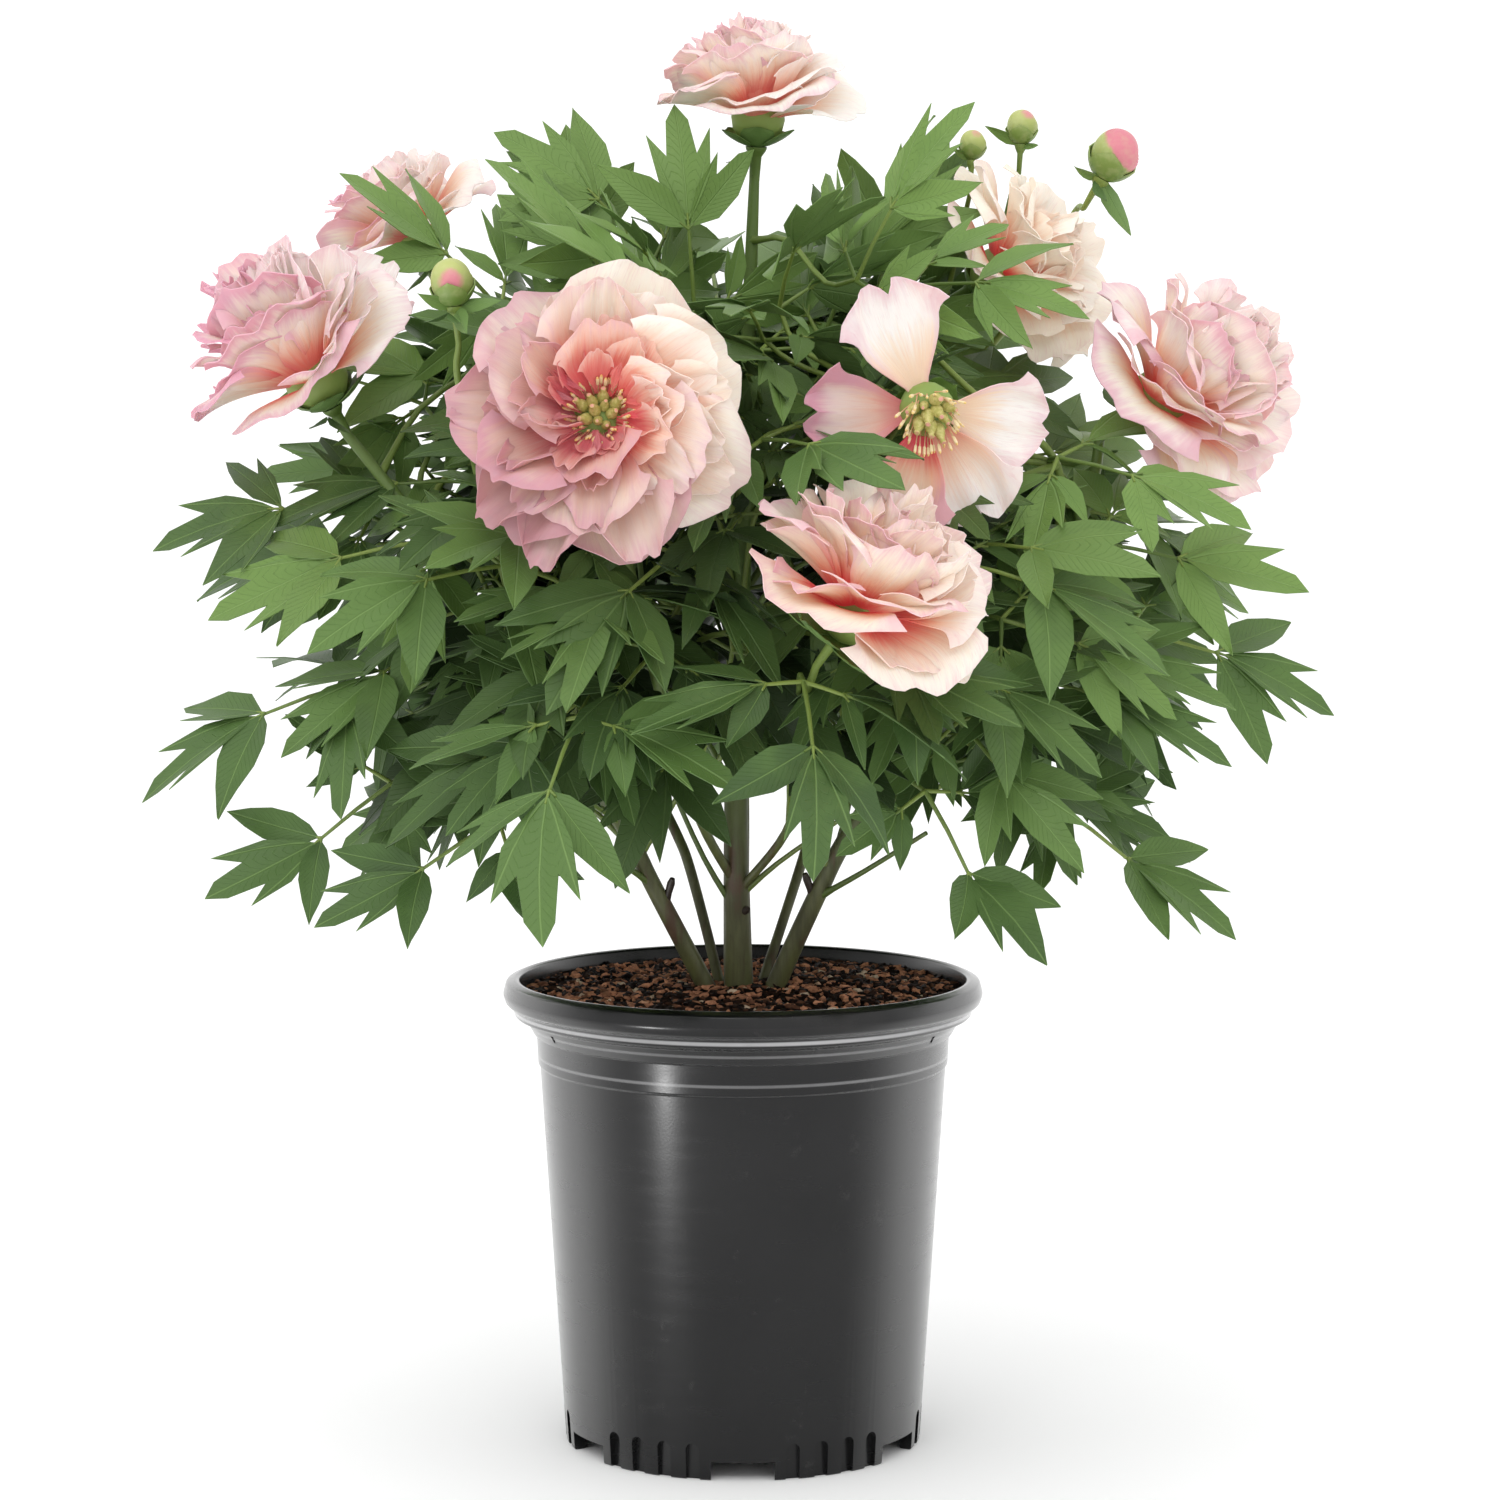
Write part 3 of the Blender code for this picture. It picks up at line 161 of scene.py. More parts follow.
# How long a leaf's stalk is, at least, at best and at most, and how far it rises with its branch
STALK_REACH = (0.035, 0.085, 0.190)
STALK_RISE = 0.35
RISE_COST = 0.05
FEET_TRIED = 8
CUP_POINTS = 3
RULE_LEAVES = 3
GOLDEN_SHARE = 0.618034
BACK_SPREAD = math.radians(230)
# Height of a leaf's hub, its distance from the pot's axis, and how far the leaf looks up
DOME = (
    (0.300, 0.120, -32.0),
    (0.360, 0.150, -18.0),
    (0.430, 0.155, 0.0),
    (0.490, 0.125, 20.0),
    (0.530, 0.080, 45.0),
)
DOME_HEIGHTS, DOME_RADII, DOME_LOOKS = zip(*DOME)

Branch = namedtuple("Branch", "points radii bare_tip")
Bloom = namedtuple("Bloom", "name centre axis radius rings")
Bud = namedtuple("Bud", "name centre axis radius")
Ring = namedtuple("Ring", "count lean_start lean_end length width seat", defaults=(0.50,))
Leaf = namedtuple("Leaf", "hub forward scale roll", defaults=(0.0,))
Group = namedtuple("Group", "turn tail scale leaflets")

# The three leaflet groups of a leaf, from its right to its left, and those of a plainer leaf
GROUPS = (
    Group(-GROUP_TURN, 0.016, 0.86, (-LEAFLET_TURN, 0.0)),
    Group(0.0, 0.04, 1.0, (-LEAFLET_TURN, 0.0, LEAFLET_TURN)),
    Group(GROUP_TURN, 0.016, 0.86, (0.0, LEAFLET_TURN)),
)
PLAIN_GROUPS = (GROUPS[0]._replace(leaflets=(0.0,)), GROUPS[1], GROUPS[2]._replace(leaflets=(0.0,)))

def rings_of(*rows):
    """Rings of petals, from the outermost in."""
    return tuple(Ring(*row) for row in rows)


FULL_RINGS = rings_of(
    (7, 72, 97, 0.88, 0.8),
    (6, 50, 74, 0.8, 0.66),
    (4, 28, 46, 0.62, 0.52),
)
ROUND_RINGS = rings_of(
    (5, 66, 92, 0.86, 0.96),
    (4, 40, 60, 0.8, 0.82),
    (3, 10, 22, 0.72, 0.62, 0.4),
)
BOWL_RINGS = rings_of(
    (5, 60, 86, 0.88, 0.96),
    (4, 30, 46, 0.8, 0.78),
)
GLOBE_RINGS = rings_of(
    (5, 64, 88, 0.86, 0.96),
    (4, 34, 48, 0.92, 0.86),
    (3, 8, 15, 0.95, 0.72, 0.4),
)
SPENT_RINGS = rings_of(
    (5, 78, 96, 1.0, 0.52),
)
CORE_SHARE = 0.24
ROOT_STEP = 0.25
PETAL_CUP = 0.32
PETAL_TWIST = 0.34
PETAL_ROOT_WIDTH = 0.14
PETAL_WIDEST = 0.68
PETAL_SWELL = 1.4
PETAL_NARROWING = 0.36
PETAL_ROUNDING = 0.14
TURN_STRAY = 0.06
LEAN_STRAY = 4.0
LENGTH_STRAY = (0.94, 1.05)

def by_name(kind, *rows):
    """Records of a name, a centre, an axis and more, by their names, with each axis one long."""
    return {name: kind(name, Vector(centre), Vector(axis).normalized(), *more)
            for name, centre, axis, *more in rows}


BLOOMS = by_name(
    Bloom,
    ("bloom_front", (-0.06, -0.158, 0.481), (-0.02, -0.95, 0.28), 0.068, FULL_RINGS),
    ("bloom_left", (-0.193, -0.044, 0.499), (-0.42, -0.3, 0.82), 0.061, GLOBE_RINGS),
    ("bloom_upper_left", (-0.158, 0.09, 0.566), (-0.4, -0.1, 0.88), 0.0495, BOWL_RINGS),
    ("bloom_top", (0.007, 0.0, 0.618), (0.06, -0.12, 0.98), 0.053, ROUND_RINGS),
    ("bloom_right_back", (0.12, 0.036, 0.547), (0.76, -0.4, 0.4), 0.056, BOWL_RINGS),
    ("bloom_right", (0.19, -0.016, 0.488), (0.76, -0.46, 0.4), 0.063, GLOBE_RINGS),
    ("bloom_lower_right", (0.048, -0.18, 0.402), (0.52, -0.34, 0.76), 0.0625, ROUND_RINGS),
    ("bloom_spent", (0.08, -0.122, 0.486), (0.1, -0.98, -0.08), 0.051, SPENT_RINGS),
)
CENTRES = {"centre_front": "bloom_front", "centre_spent": "bloom_spent"}

BUDS = by_name(
    Bud,
    ("bud_left", (-0.126, -0.12, 0.541), (-0.1, -0.1, 0.98), 0.0092),
    ("bud_small", (0.109, 0.06, 0.609), (0.05, 0.0, 1.0), 0.0062),
    ("bud_green", (0.133, 0.07, 0.618), (0.06, 0.0, 1.0), 0.0072),
    ("bud_pink", (0.176, 0.055, 0.604), (0.45, -0.1, 0.8), 0.0112),
)
# The middles of the blooms and buds, and how much of each must stay in view
FLOWER_DISCS = [(bloom.centre + bloom.axis * bloom.radius * 0.3, bloom.radius * 0.88)
                for bloom in BLOOMS.values()]
FLOWER_DISCS += [(bud.centre, bud.radius * 1.4) for bud in BUDS.values()]
BUD_STRETCH = 1.12
BUD_FOLD = 0.06
BUD_FOLDS = 3

# The green cup that ends a stalk under a bloom or bud
CUP_RADIUS = 0.005
BUD_CUP_SHARE = 0.42
CUP_RIM = 0.0012
CUP_HEIGHT = 0.0055
CUP_STALK = 0.016

SEPAL_COUNT = 3
SEPAL_LENGTH = 0.019
SEPAL_LEAN = math.radians(112)
SEPAL_HALF_WIDTHS = (0.19, 0.03)
SEPAL_DROP = 0.0022
SEPAL_STRAY = 0.3

WITH_SEPALS = ("bloom_left", "bloom_top", "bloom_right", "bloom_upper_left", "bud_left", "bud_pink")

# Each leafy stem: the branch from the soil first, then the side branches. A name at the end of
# a branch's points is the bloom or bud that the branch carries.
STEMS = {
    "stem_centre": (
        (((-0.002, 0.0), (-0.003, -0.004, 0.265), (-0.003, -0.002, 0.33), (0.0, 0.004, 0.43),
          (0.003, 0.004, 0.53), "bloom_top"), 0.007, 0.0024),
        (((-0.003, -0.003, 0.258), (0.022, -0.034, 0.296), (0.024, -0.1, 0.345),
          "bloom_lower_right"), 0.0042, 0.0024),
        (((-0.003, -0.003, 0.262), (-0.022, -0.03, 0.302), (-0.04, -0.075, 0.37),
          (-0.055, -0.11, 0.44), "bloom_front"), 0.0044, 0.0026),
    ),
    "stem_left": (
        (((-0.0165, -0.003), (-0.043, -0.012, 0.266), (-0.057, -0.022, 0.295),
          (-0.1, -0.035, 0.36), (-0.148, -0.04, 0.433), "bloom_left"), 0.0052, 0.0024),
        (((-0.09, -0.032, 0.345), (-0.112, -0.07, 0.43), (-0.124, -0.105, 0.495),
          "bud_left"), 0.0028, 0.0016),
    ),
    "stem_left_back": (
        (((-0.011, 0.014), (-0.026, 0.024, 0.27), (-0.04, 0.036, 0.3),
          (-0.085, 0.066, 0.4), (-0.13, 0.085, 0.5), "bloom_upper_left"), 0.0036, 0.0022),
    ),
    "stem_right": (
        (((0.0145, -0.003), (0.036, -0.01, 0.262), (0.055, -0.014, 0.297),
          (0.105, -0.02, 0.365), (0.155, -0.012, 0.432), "bloom_right"), 0.0056, 0.0024),
        (((0.145, -0.014, 0.418), (0.142, -0.05, 0.46), (0.112, -0.085, 0.484),
          "bloom_spent"), 0.0026, 0.0018),
    ),
    "stem_right_back": (
        (((0.009, 0.014), (0.028, 0.028, 0.27), (0.052, 0.042, 0.35), (0.078, 0.05, 0.44),
          "bloom_right_back"), 0.0042, 0.0022),
        (((0.06, 0.045, 0.378), (0.08, 0.084, 0.46), (0.1, 0.088, 0.545),
          "bud_small"), 0.0024, 0.0014),
        (((0.088, 0.088, 0.495), (0.118, 0.096, 0.545), (0.13, 0.084, 0.59),
          "bud_green"), 0.002, 0.0014),
        (((0.084, 0.086, 0.475), (0.134, 0.102, 0.53), (0.158, 0.078, 0.576),
          "bud_pink"), 0.0022, 0.0016),
    ),
    "stem_back": (
        (((-0.001, 0.025), (0.0, 0.05, 0.29), (-0.002, 0.095, 0.39),
          (-0.004, 0.11, 0.46), (-0.008, 0.105, 0.51)), 0.0046, 0.0018),
        (((-0.001, 0.072, 0.34), (-0.036, 0.108, 0.382), (-0.06, 0.12, 0.424)), 0.003, 0.0018),
        (((-0.002, 0.08, 0.358), (0.036, 0.112, 0.4), (0.06, 0.122, 0.44)), 0.003, 0.0018),
    ),
}

# Leaves that the front view shows singly, and those that end the branches at the back: hub,
# direction and scale
NAMED_LEAVES = [Leaf(Vector(hub), Vector(forward), scale) for hub, forward, scale in (
    ((-0.176, -0.06, 0.362), (-0.92, -0.15, -0.22), 1.05),
    ((-0.158, -0.072, 0.318), (-0.8, -0.2, -0.56), 1.0),
    ((-0.108, -0.102, 0.305), (-0.82, -0.3, -0.46), 1.0),
    ((0.142, -0.045, 0.306), (0.78, -0.2, -0.48), 1.05),
    ((0.176, -0.03, 0.384), (0.92, -0.2, -0.16), 1.05),
    ((0.08, -0.125, 0.32), (0.45, -0.45, -0.72), 1.05),
    ((-0.17, -0.03, 0.436), (-0.9, -0.2, 0.16), 1.0),
    ((0.158, -0.055, 0.425), (0.86, -0.3, -0.1), 1.0),
    ((-0.066, 0.03, 0.522), (-0.2, -0.1, 0.9), 1.0),
    ((0.066, 0.02, 0.524), (0.25, -0.2, 0.85), 1.0),
    ((0.026, -0.175, 0.372), (0.1, -0.85, -0.45), 1.1),
    ((-0.07, -0.165, 0.356), (-0.25, -0.8, -0.5), 1.15),
    ((0.012, -0.12, 0.47), (0.62, -0.66, 0.1), 1.0),
    ((0.074, -0.05, 0.54), (0.7, -0.55, 0.1), 0.9),
    ((-0.112, 0.01, 0.53), (-0.4, -0.3, 0.5), 0.95),
    ((-0.022, -0.02, 0.528), (-0.05, -0.35, 0.9), 1.0),
    ((0.036, -0.01, 0.516), (0.3, -0.35, 0.85), 1.0),
    ((0.104, -0.06, 0.392), (0.6, -0.7, 0.05), 1.0),
    ((-0.08, 0.14, 0.455), (-0.5, 0.75, 0.1), 1.0),
    ((0.08, 0.142, 0.47), (0.5, 0.75, 0.1), 1.0),
    ((-0.01, 0.12, 0.525), (-0.05, 0.6, 0.65), 1.0),
    ((-0.12, 0.02, 0.356), (-0.86, 0.1, -0.3), 1.0),
    ((0.122, 0.022, 0.35), (0.86, 0.12, -0.35), 1.0),
    ((-0.048, -0.066, 0.524), (-0.35, -0.6, 0.65), 1.0),
    ((0.052, -0.086, 0.536), (0.2, -0.62, 0.7), 1.0),
    ((0.02, 0.15, 0.4), (0.1, 0.95, -0.15), 1.0),
    ((0.138, 0.098, 0.356), (0.72, 0.66, -0.2), 1.0),
    ((-0.118, 0.104, 0.404), (-0.8, 0.55, 0.0), 1.0),
    ((0.148, -0.064, 0.464), (0.74, -0.6, 0.1), 0.95),
    ((-0.15, 0.022, 0.486), (-0.84, 0.1, 0.35), 0.95),
)]

# Where the camera stands from the pot's axis, how far it looks down, and its lens
CAMERA_PLACE = (0.0033, -1.93, 0.509)
CAMERA_PITCH = 5.42
CAMERA_LENS = 99.65
SENSOR_WIDTH = 36.0
FLOOR_REACH = 12.0
# Place, target, and width and height of each soft light
LIGHTS = {
    "key": ((-0.9, -0.9, 2.3), (0.0, 0.0, 0.35), (1.6, 1.6)),
    "strip": ((-0.36, -0.41, 0.036), (0.0, 0.0, 0.1), (0.05, 0.06)),
    "bar": ((-0.2, -1.9, 1.7), (0.0, 0.0, 0.35), (2.2, 0.12)),
}

# Added rings of petals, between those of the plan
FULL_MORE = rings_of(
    (10, 66, 92, 0.9, 0.54),
    (10, 60, 80, 0.76, 0.44),
    (9, 58, 62, 0.66, 0.38),
    (9, 54, 44, 0.56, 0.34),
    (9, 48, 30, 0.42, 0.24),
    (10, 40, 72, 0.28, 0.07, 0.6),
)
ROUND_MORE = rings_of(
    (6, 62, 84, 0.84, 0.76),
    (8, 48, 30, 0.8, 0.6),
    (8, 32, 10, 0.74, 0.48, 0.44),
    (9, 20, -2, 0.68, 0.38, 0.4),
    (7, 8, -8, 0.6, 0.3, 0.3),
)
BOWL_MORE = rings_of(
    (6, 56, 76, 0.84, 0.76),
    (7, 40, 24, 0.78, 0.6, 0.44),
    (8, 24, 6, 0.7, 0.48, 0.4),
    (7, 10, -6, 0.6, 0.34, 0.3),
)
GLOBE_MORE = rings_of(
    (7, 56, 78, 0.86, 0.74),
    (8, 46, 20, 0.86, 0.62),
    (8, 34, 4, 0.84, 0.52, 0.44),
    (9, 20, -8, 0.8, 0.42, 0.4),
    (7, 8, -10, 0.76, 0.34, 0.3),
)
MORE_RINGS = {FULL_RINGS: FULL_MORE, ROUND_RINGS: ROUND_MORE, BOWL_RINGS: BOWL_MORE,
              GLOBE_RINGS: GLOBE_MORE, SPENT_RINGS: ()}
PETAL_FORMS = 3
PETAL_CORNERS = 0.34
# How much broader than the plan's a petal's tip is, and how near the heart a bloom's red stays
TIP_WIDENING = 0.3
HEART_SPREAD = {"bloom_front": 0.86}
# How freely added petals stray, most the inner ones, and how much broader petals are
PETAL_FREEDOM = 0.38
BROAD = {SPENT_RINGS: 1.35, FULL_RINGS: 0.84}
# Painted highlight lines on the pot's mouldings: height, half width and strength
POT_HIGHLIGHT_LINES = ((0.2046, 0.0013, 1.0), (0.1975, 0.001, 0.35), (0.1835, 0.001, 0.4))
# How much higher the soil lies than in the frame, and how many forms its chips have
SOIL_HEAP = 0.005
CHIP_FORMS = 6
CHIP_TILT = 0.55
CHIP_SIZES = (0.55, 1.35)
CHIP_SEED = 3
# The round corners of the pot's section, and the angle over which its edges are sharp
CORNER_PARTS = 3
CORNER_RADIUS = 0.0011
POT_SHARP = math.radians(28)
# Rings that start steeper than this have toothed tips
CROWN_LEAN = 36
# How mauve, creamy and pale each bloom is, how much painted shade it has, and how much more so its
# left and right are
BLOOM_TINTS = {
    "bloom_front": (0.52, 0.62, 0.1, 0.4),
    "bloom_left": (0.66, 0.55, 0.7, 0.05),
    "bloom_upper_left": (0.55, 0.55, 0.7, 0.05),
    "bloom_top": (0.35, 0.85, 0.7, 0.0),
    "bloom_right_back": (0.05, 1.4, 0.3, 0.0),
    "bloom_right": (0.48, 0.62, 0.62, 0.0),
    "bloom_lower_right": (0.4, 0.6, 0.35, 0.0),
    "bloom_spent": (0.55, 0.1, 1.5, 0.1),
}
# Left sides more mauve and right sides paler: partly the petals' own colour, partly painted shade on
# the left and painted light on the right
SIDE_TINT_AND_LIGHT = 0.28
# The spent bloom's petals, from its left one down and round: turn in degrees, size, and how
# much more mauve and pale each is and how much more painted shade it has
SPENT_LOOKS = (
    (6, 1.0, 0.25, -0.7, 0.22),
    (6, 0.95, 0.0, -1.4, 0.0),
    (-24, 1.0, -0.3, -0.5, 0.0),
    (-42, 1.0, 0.1, 0.0, 0.0),
    (8, 1.14, 0.05, 0.3, 0.0),
)
PLAIN_LOOK = (0, 1.0, 0.0, 0.0, 0.0)
# Lean of the carpels, droop, and one stamen in how many, in the spent heart and the other
SPENT_HEART = (0.6, 0.9, 2)
OPEN_HEART = (0.45, 0.0, 1)
CARPEL_REACH = 0.0066
CARPEL_HEIGHT = 0.0108
# The least reach of a stamen's root and the span above it, and its height
STAMEN_REACH = (0.0062, 0.003)
STAMEN_HEIGHT = 0.0125

# Outlines of a leaflet of unit length, as shares of its width: where a strip of a lobed
# half leaflet ends, from its midrib to its edge
LOBE_STRIPS = (0.0, 0.22, 0.42, 0.7, 1.0)
LOBE_REACH = (1.0, 0.87, 0.57, 0.76, 0.36)
LOBE_SPREAD = 0.44
LOBE_ROWS = (0.0, 0.25, 0.55, 0.82, 1.0)
PLAIN_STRIPS = (0.0, 0.55, 1.0)
PLAIN_WIDTH = 0.185
PLAIN_ROWS = (0.0, 0.12, 0.32, 0.54, 0.76, 0.92, 1.0)
PLAIN_FORMS = 5
HALF_LOBED_FORMS = 4
LOBED_FORMS = 4
ROUND_FORM = PLAIN_FORMS + HALF_LOBED_FORMS + LOBED_FORMS
INNER_LEAFLET = 0.72
INNER_PITCH = 0.3
# How far from its group's hub a leaflet starts, in the middle and at the side
LEAFLET_OFFSETS = (0.0035, 0.0012)
# How far a leaflet turns on its face, pitches and rolls
LEAFLET_SWAY = ((-0.10, 0.10), (-0.10, 0.22), (-0.28, 0.28))
LEAFLET_THICKNESS = 0.007
# How often a leaflet in the middle of its group, and one at its side, is lobed on one side
HALF_LOBED_SHARES = (0.25, 0.35)
# Leaves lower than this lift their leaflets off the pot
LOW_LEAF = 0.335
LOW_LIFT = 0.42
LOW_SCALE = 0.9
# How steeply below the camera's height a leaflet's tip may hang
LOWEST_SLOPE = 0.137
# Between which shares of the dome's radius, and which heights, the painted shade on the leaves fades
SHADE_SHARES = (0.55, 0.92)
SHADE_HEIGHTS = (0.42, 0.5)
# The share of the frame's radii that each stem and its side branches keep near the soil
SLIM = {"stem_centre": (1.0, 0.55), "stem_left": (0.86, 0.8), "stem_left_back": (0.7, 0.7),
        "stem_right": (0.86, 0.8), "stem_right_back": (0.6, 0.7), "stem_back": (0.7, 0.7)}
# Bare shoots between the stems and the leaves: node, foot, a point on the way and the end
SHOOTS = (
    ("stem_left", (-0.042, -0.0115, 0.264), (-0.06, -0.03, 0.28), (-0.082, -0.055, 0.306)),
    ("stem_left", (-0.048, -0.015, 0.278), (-0.036, -0.02, 0.296), (-0.02, -0.03, 0.326)),
    ("stem_centre", (-0.003, -0.003, 0.25), (-0.018, -0.01, 0.276), (-0.034, -0.016, 0.312)),
    ("stem_centre", (-0.003, -0.003, 0.256), (0.016, -0.012, 0.274), (0.044, -0.03, 0.296)),
    ("stem_right", (0.035, -0.01, 0.258), (0.056, -0.026, 0.272), (0.084, -0.044, 0.292)),
    ("stem_right", (0.04, -0.011, 0.268), (0.035, -0.02, 0.29), (0.026, -0.028, 0.324)),
    ("stem_right", (0.055, -0.014, 0.297), (0.072, -0.026, 0.306), (0.098, -0.04, 0.32)),
)

# Where each bud is pink: the side that it shows, and the share of the bud
BUD_PATCHES = {
    "bud_left": ((0.05, -0.95, 0.0), 0.15),
    "bud_small": ((0.3, -0.5, 0.8), 0.02),
    "bud_green": ((0.4, -0.5, 0.8), 0.06),
    "bud_pink": ((0.75, -0.35, 0.5), 0.75),
}
CLASP_TURNS = (0.4, 2.5, 4.6)
CLASP_WIDTH = 1.15

ROUND_SEPALS = 5
# Leafy bracts under the buds: which way each points, and its length
BUD_BRACTS = {
    "bud_left": (((0.9, -0.3, 0.1), 0.023), ((-0.6, -0.5, 0.1), 0.018),
                 ((0.3, -0.7, -0.6), 0.022)),
    "bud_small": (((-0.7, -0.5, 0.4), 0.012),),
    "bud_green": (((-0.9, -0.1, 0.45), 0.019), ((0.6, -0.5, -0.2), 0.012)),
    "bud_pink": (((0.45, -0.1, -0.85), 0.031), ((-0.7, -0.5, 0.1), 0.016)),
}

# A leaf's stalk: its radius at shares of its length
STALK_SHARES = (0.0, 0.12, 0.5, 1.0)
STALK_RADII = (0.0024, 0.0016, 0.0013, 0.0011)
# A stub's radius at shares of its length
STUB_SHARES = (0.0, 0.4, 0.8, 1.0)
STUB_RADII = [0.0021, 0.0017, 0.0019, 0.0012]
STUB_WOODY = 1.5
BRANCH_SIDES = 20
STALK_SIDES = 6

# How far apart the added leaves stand
HUB_SPACING = 0.021
# How often an added leaf is tried, how far it strays and rolls, and how many feet it is offered
MORE_TRIALS = 5
MORE_STRAY = 0.006
ROLL_STRAY_MORE = 0.3
MORE_FEET = 4
# One in so many added leaves more fills the middle, between these heights
INNER_SHARE = 4
INNER_HEIGHTS = (0.36, 0.53)
# What the view shows bare: the stems above the soil
BARE_STEMS = (0.118, 0.288)
# Short dark stubs on the stems: node, foot, direction and length
STUBS = (
    ("stem_left", (-0.036, -0.0095, 0.2555), (0.25, -0.35, 0.9), 0.013),
    ("stem_left", (-0.049, -0.016, 0.279), (-0.3, -0.55, 0.7), 0.008),
    ("stem_right", (0.033, -0.009, 0.257), (-0.3, -0.35, 0.9), 0.014),
    ("stem_centre", (-0.003, -0.004, 0.248), (0.6, -0.6, 0.5), 0.009),
)

# A leaflet's form at unit length: how its strips stray, and between which values it is drawn
STRIP_STRAY = 0.03
LEAFLET_WIDTHS = (0.92, 1.10)
LEAFLET_ARCH = (0.06, 0.26)
LEAFLET_TWIST = 0.30
LEAFLET_BEND = 0.10
LEAFLET_WAVE = 0.020
LEAFLET_WAVES = 9.0
LOBE_SHARPNESS = 0.8
PLAIN_SHARPNESS = 0.78
# The ribs that carry a leaf's groups and its leaflets: their radii, how woody, and how deep
GROUP_RIB = ([0.0011, 0.0010, 0.0008], [0.10, 0.08, 0.05])
LEAFLET_RIB = ([0.0008, 0.0005], [0.05, 0.03])
RIB_SINK = 0.0004
RIB_REACH = 0.004
# How far ahead and aside the leaf's surface is felt for the way that a leaflet lies
FEEL_AHEAD = 0.02
FEEL_ASIDE = 0.01
LEAFLET_LENGTHS = (0.92, 1.08)
LEAFLET_BREADTHS = (0.92, 1.12)
LEAFLET_TINT_STRAY = 0.2
# A leaflet that hangs too low is lifted by a little more than it hangs, and never past upright
MOST_HANG = 0.95
HANG_LIFT = 1.1
# The fine path of a stem and of a side branch: first point, steps a span and share of the radius
STEM_STEPS = (1, 5, 1.0)
SIDE_STEPS = (0, 7, 0.82)
CUP_STEPS = 6
CUP_SWELL = 1.5
SLIM_DROP = 0.03
# The added leaves: how far past the dome they start and end, how they crowd towards its top, and
# between which values their reach, aim, look and scale are drawn, on the dome and inside it
DOME_MARGIN = 0.012
DOME_CROWDING = 0.85
OUTER_REACH = (0.50, 1.04)
OUTER_AIM = 0.5
OUTER_LOOK = (-0.25, 0.20)
OUTER_SCALES = (0.86, 1.12)
INNER_REACH = (0.15, 0.60)
INNER_LOOK = (0.0, 0.9)
INNER_SCALES = (0.86, 1.05)
# A petal's form at unit length: its notch, teeth, waves and curl are drawn between two values
PETAL_THICKNESS = 0.008
COLUMN_CROWDING = 1.35
ROW_CROWDING = 0.9
NOTCH_DEPTH = (0.02, 0.09)
SPENT_NOTCH = (0.08, 0.16)
NOTCH_PLACE = 0.3
NOTCH_WIDTH = 0.2
TOOTH_DEPTH = (0.012, 0.034)
CROWN_TOOTH = (0.03, 0.06)
TOOTH_COUNT = (2.6, 4.2)
WAVE_HEIGHT = (0.025, 0.055)
WAVE_COUNT = (1.6, 2.8)
RIPPLE_SHARE = 0.35
RIPPLES_ACROSS = 3.6
RIPPLES_ALONG = 4.0
CURL = (-0.09, 0.14)
SPENT_CURL = (-0.08, 0.08)
SPENT_CORNERS = 0.8
# The random phase of waves, which is drawn from about a full turn
PHASE = 6.28
# How an added petal's length and width compare with its ring's
ADDED_LENGTHS = (0.82, 1.12)
ADDED_WIDTHS = (0.72, 1.02)
# How far the tints and the painted shade of a bloom's petals stray
BLUSH_STRAY = 0.15
CREAM_STRAY = 0.3
PALE_STRAY = 0.2
PETAL_SHADE_SHARES = (0.5, 1.1)
# The ball in the middle of a bloom: how many steps from pole to pole, and how many sides
BALL_STEPS = 9
BALL_SIDES = 14
# The carpels and stamens: their sides, how deep they sit, and how lean and size vary
CARPEL_SIDES = 14
STAMEN_SIDES = 6
CARPEL_SINK = (0.001, 0.002)
STAMEN_SINK = 0.004
CARPEL_LEANS = (0.8, 1.6)
CARPEL_SIZES = (0.75, 1.1)
STAMEN_LEAN = (0.35, 0.8)
STAMEN_SIZES = (0.75, 1.2)
# Round sepals: how they lean and how large they are. Where they show, they are flatter and larger.
ROUND_LEANS = (1.15, 1.45)
ROUND_SIZES = (0.26, 0.34)
ROUND_TURN_STRAY = 0.15
ROUND_SHOWN = {"bloom_lower_right": (0.4, 1.5)}
ROUND_TINT = 0.6
ROUND_SEAT = 0.6
# The length, width and thickness of a narrow bract as shares of its reach, and the bracts' tints
BRACT_SHAPE = (1.15, 0.75, 1.0)
BRACT_TINT = 0.3
BUD_BRACT_TINT = 0.8
BUD_BRACT_ROLL = 0.9
# How young the sepals and bracts look, how a leaf's youth grows with its height above a
# height and towards the front, and how much lighter it gets to both sides and to the right
SEPAL_YOUTH = 0.9
BUD_BRACT_YOUTH = 1.0
BRACT_YOUTH = 0.2
YOUTH_HEIGHT = 0.40
YOUTH_SPAN = 0.18
YOUTH_FRONT = 2.0
LIGHTER_SIDES = 2.0
LIGHTER_RIGHT = 1.5
YOUTH_STRAY = 0.35

Placed = namedtuple("Placed", "place turn size form tint")
Rod = namedtuple("Rod", "points radii woody")


def seeded(name):
    """The random draws of one sub-part, which start the same way each time."""
    return random.Random(PART_NAME + " " + name)


def smooth_path(points, parts):
    """Points on a Catmull-Rom curve, with each span in equal parts."""
    places = [Vector(point) for point in points]
    ends = [2 * places[0] - places[1]] + places + [2 * places[-1] - places[-2]]
    path = []
    for first, second, third, fourth in zip(ends, ends[1:], ends[2:], ends[3:]):
        for step in range(parts):
            t = step / parts
            path.append(0.5 * (2 * second + (third - first) * t
                               + (2 * first - 5 * second + 4 * third - fourth) * t ** 2
                               + (3 * second - first - 3 * third + fourth) * t ** 3))
    path.append(places[-1])
    return path


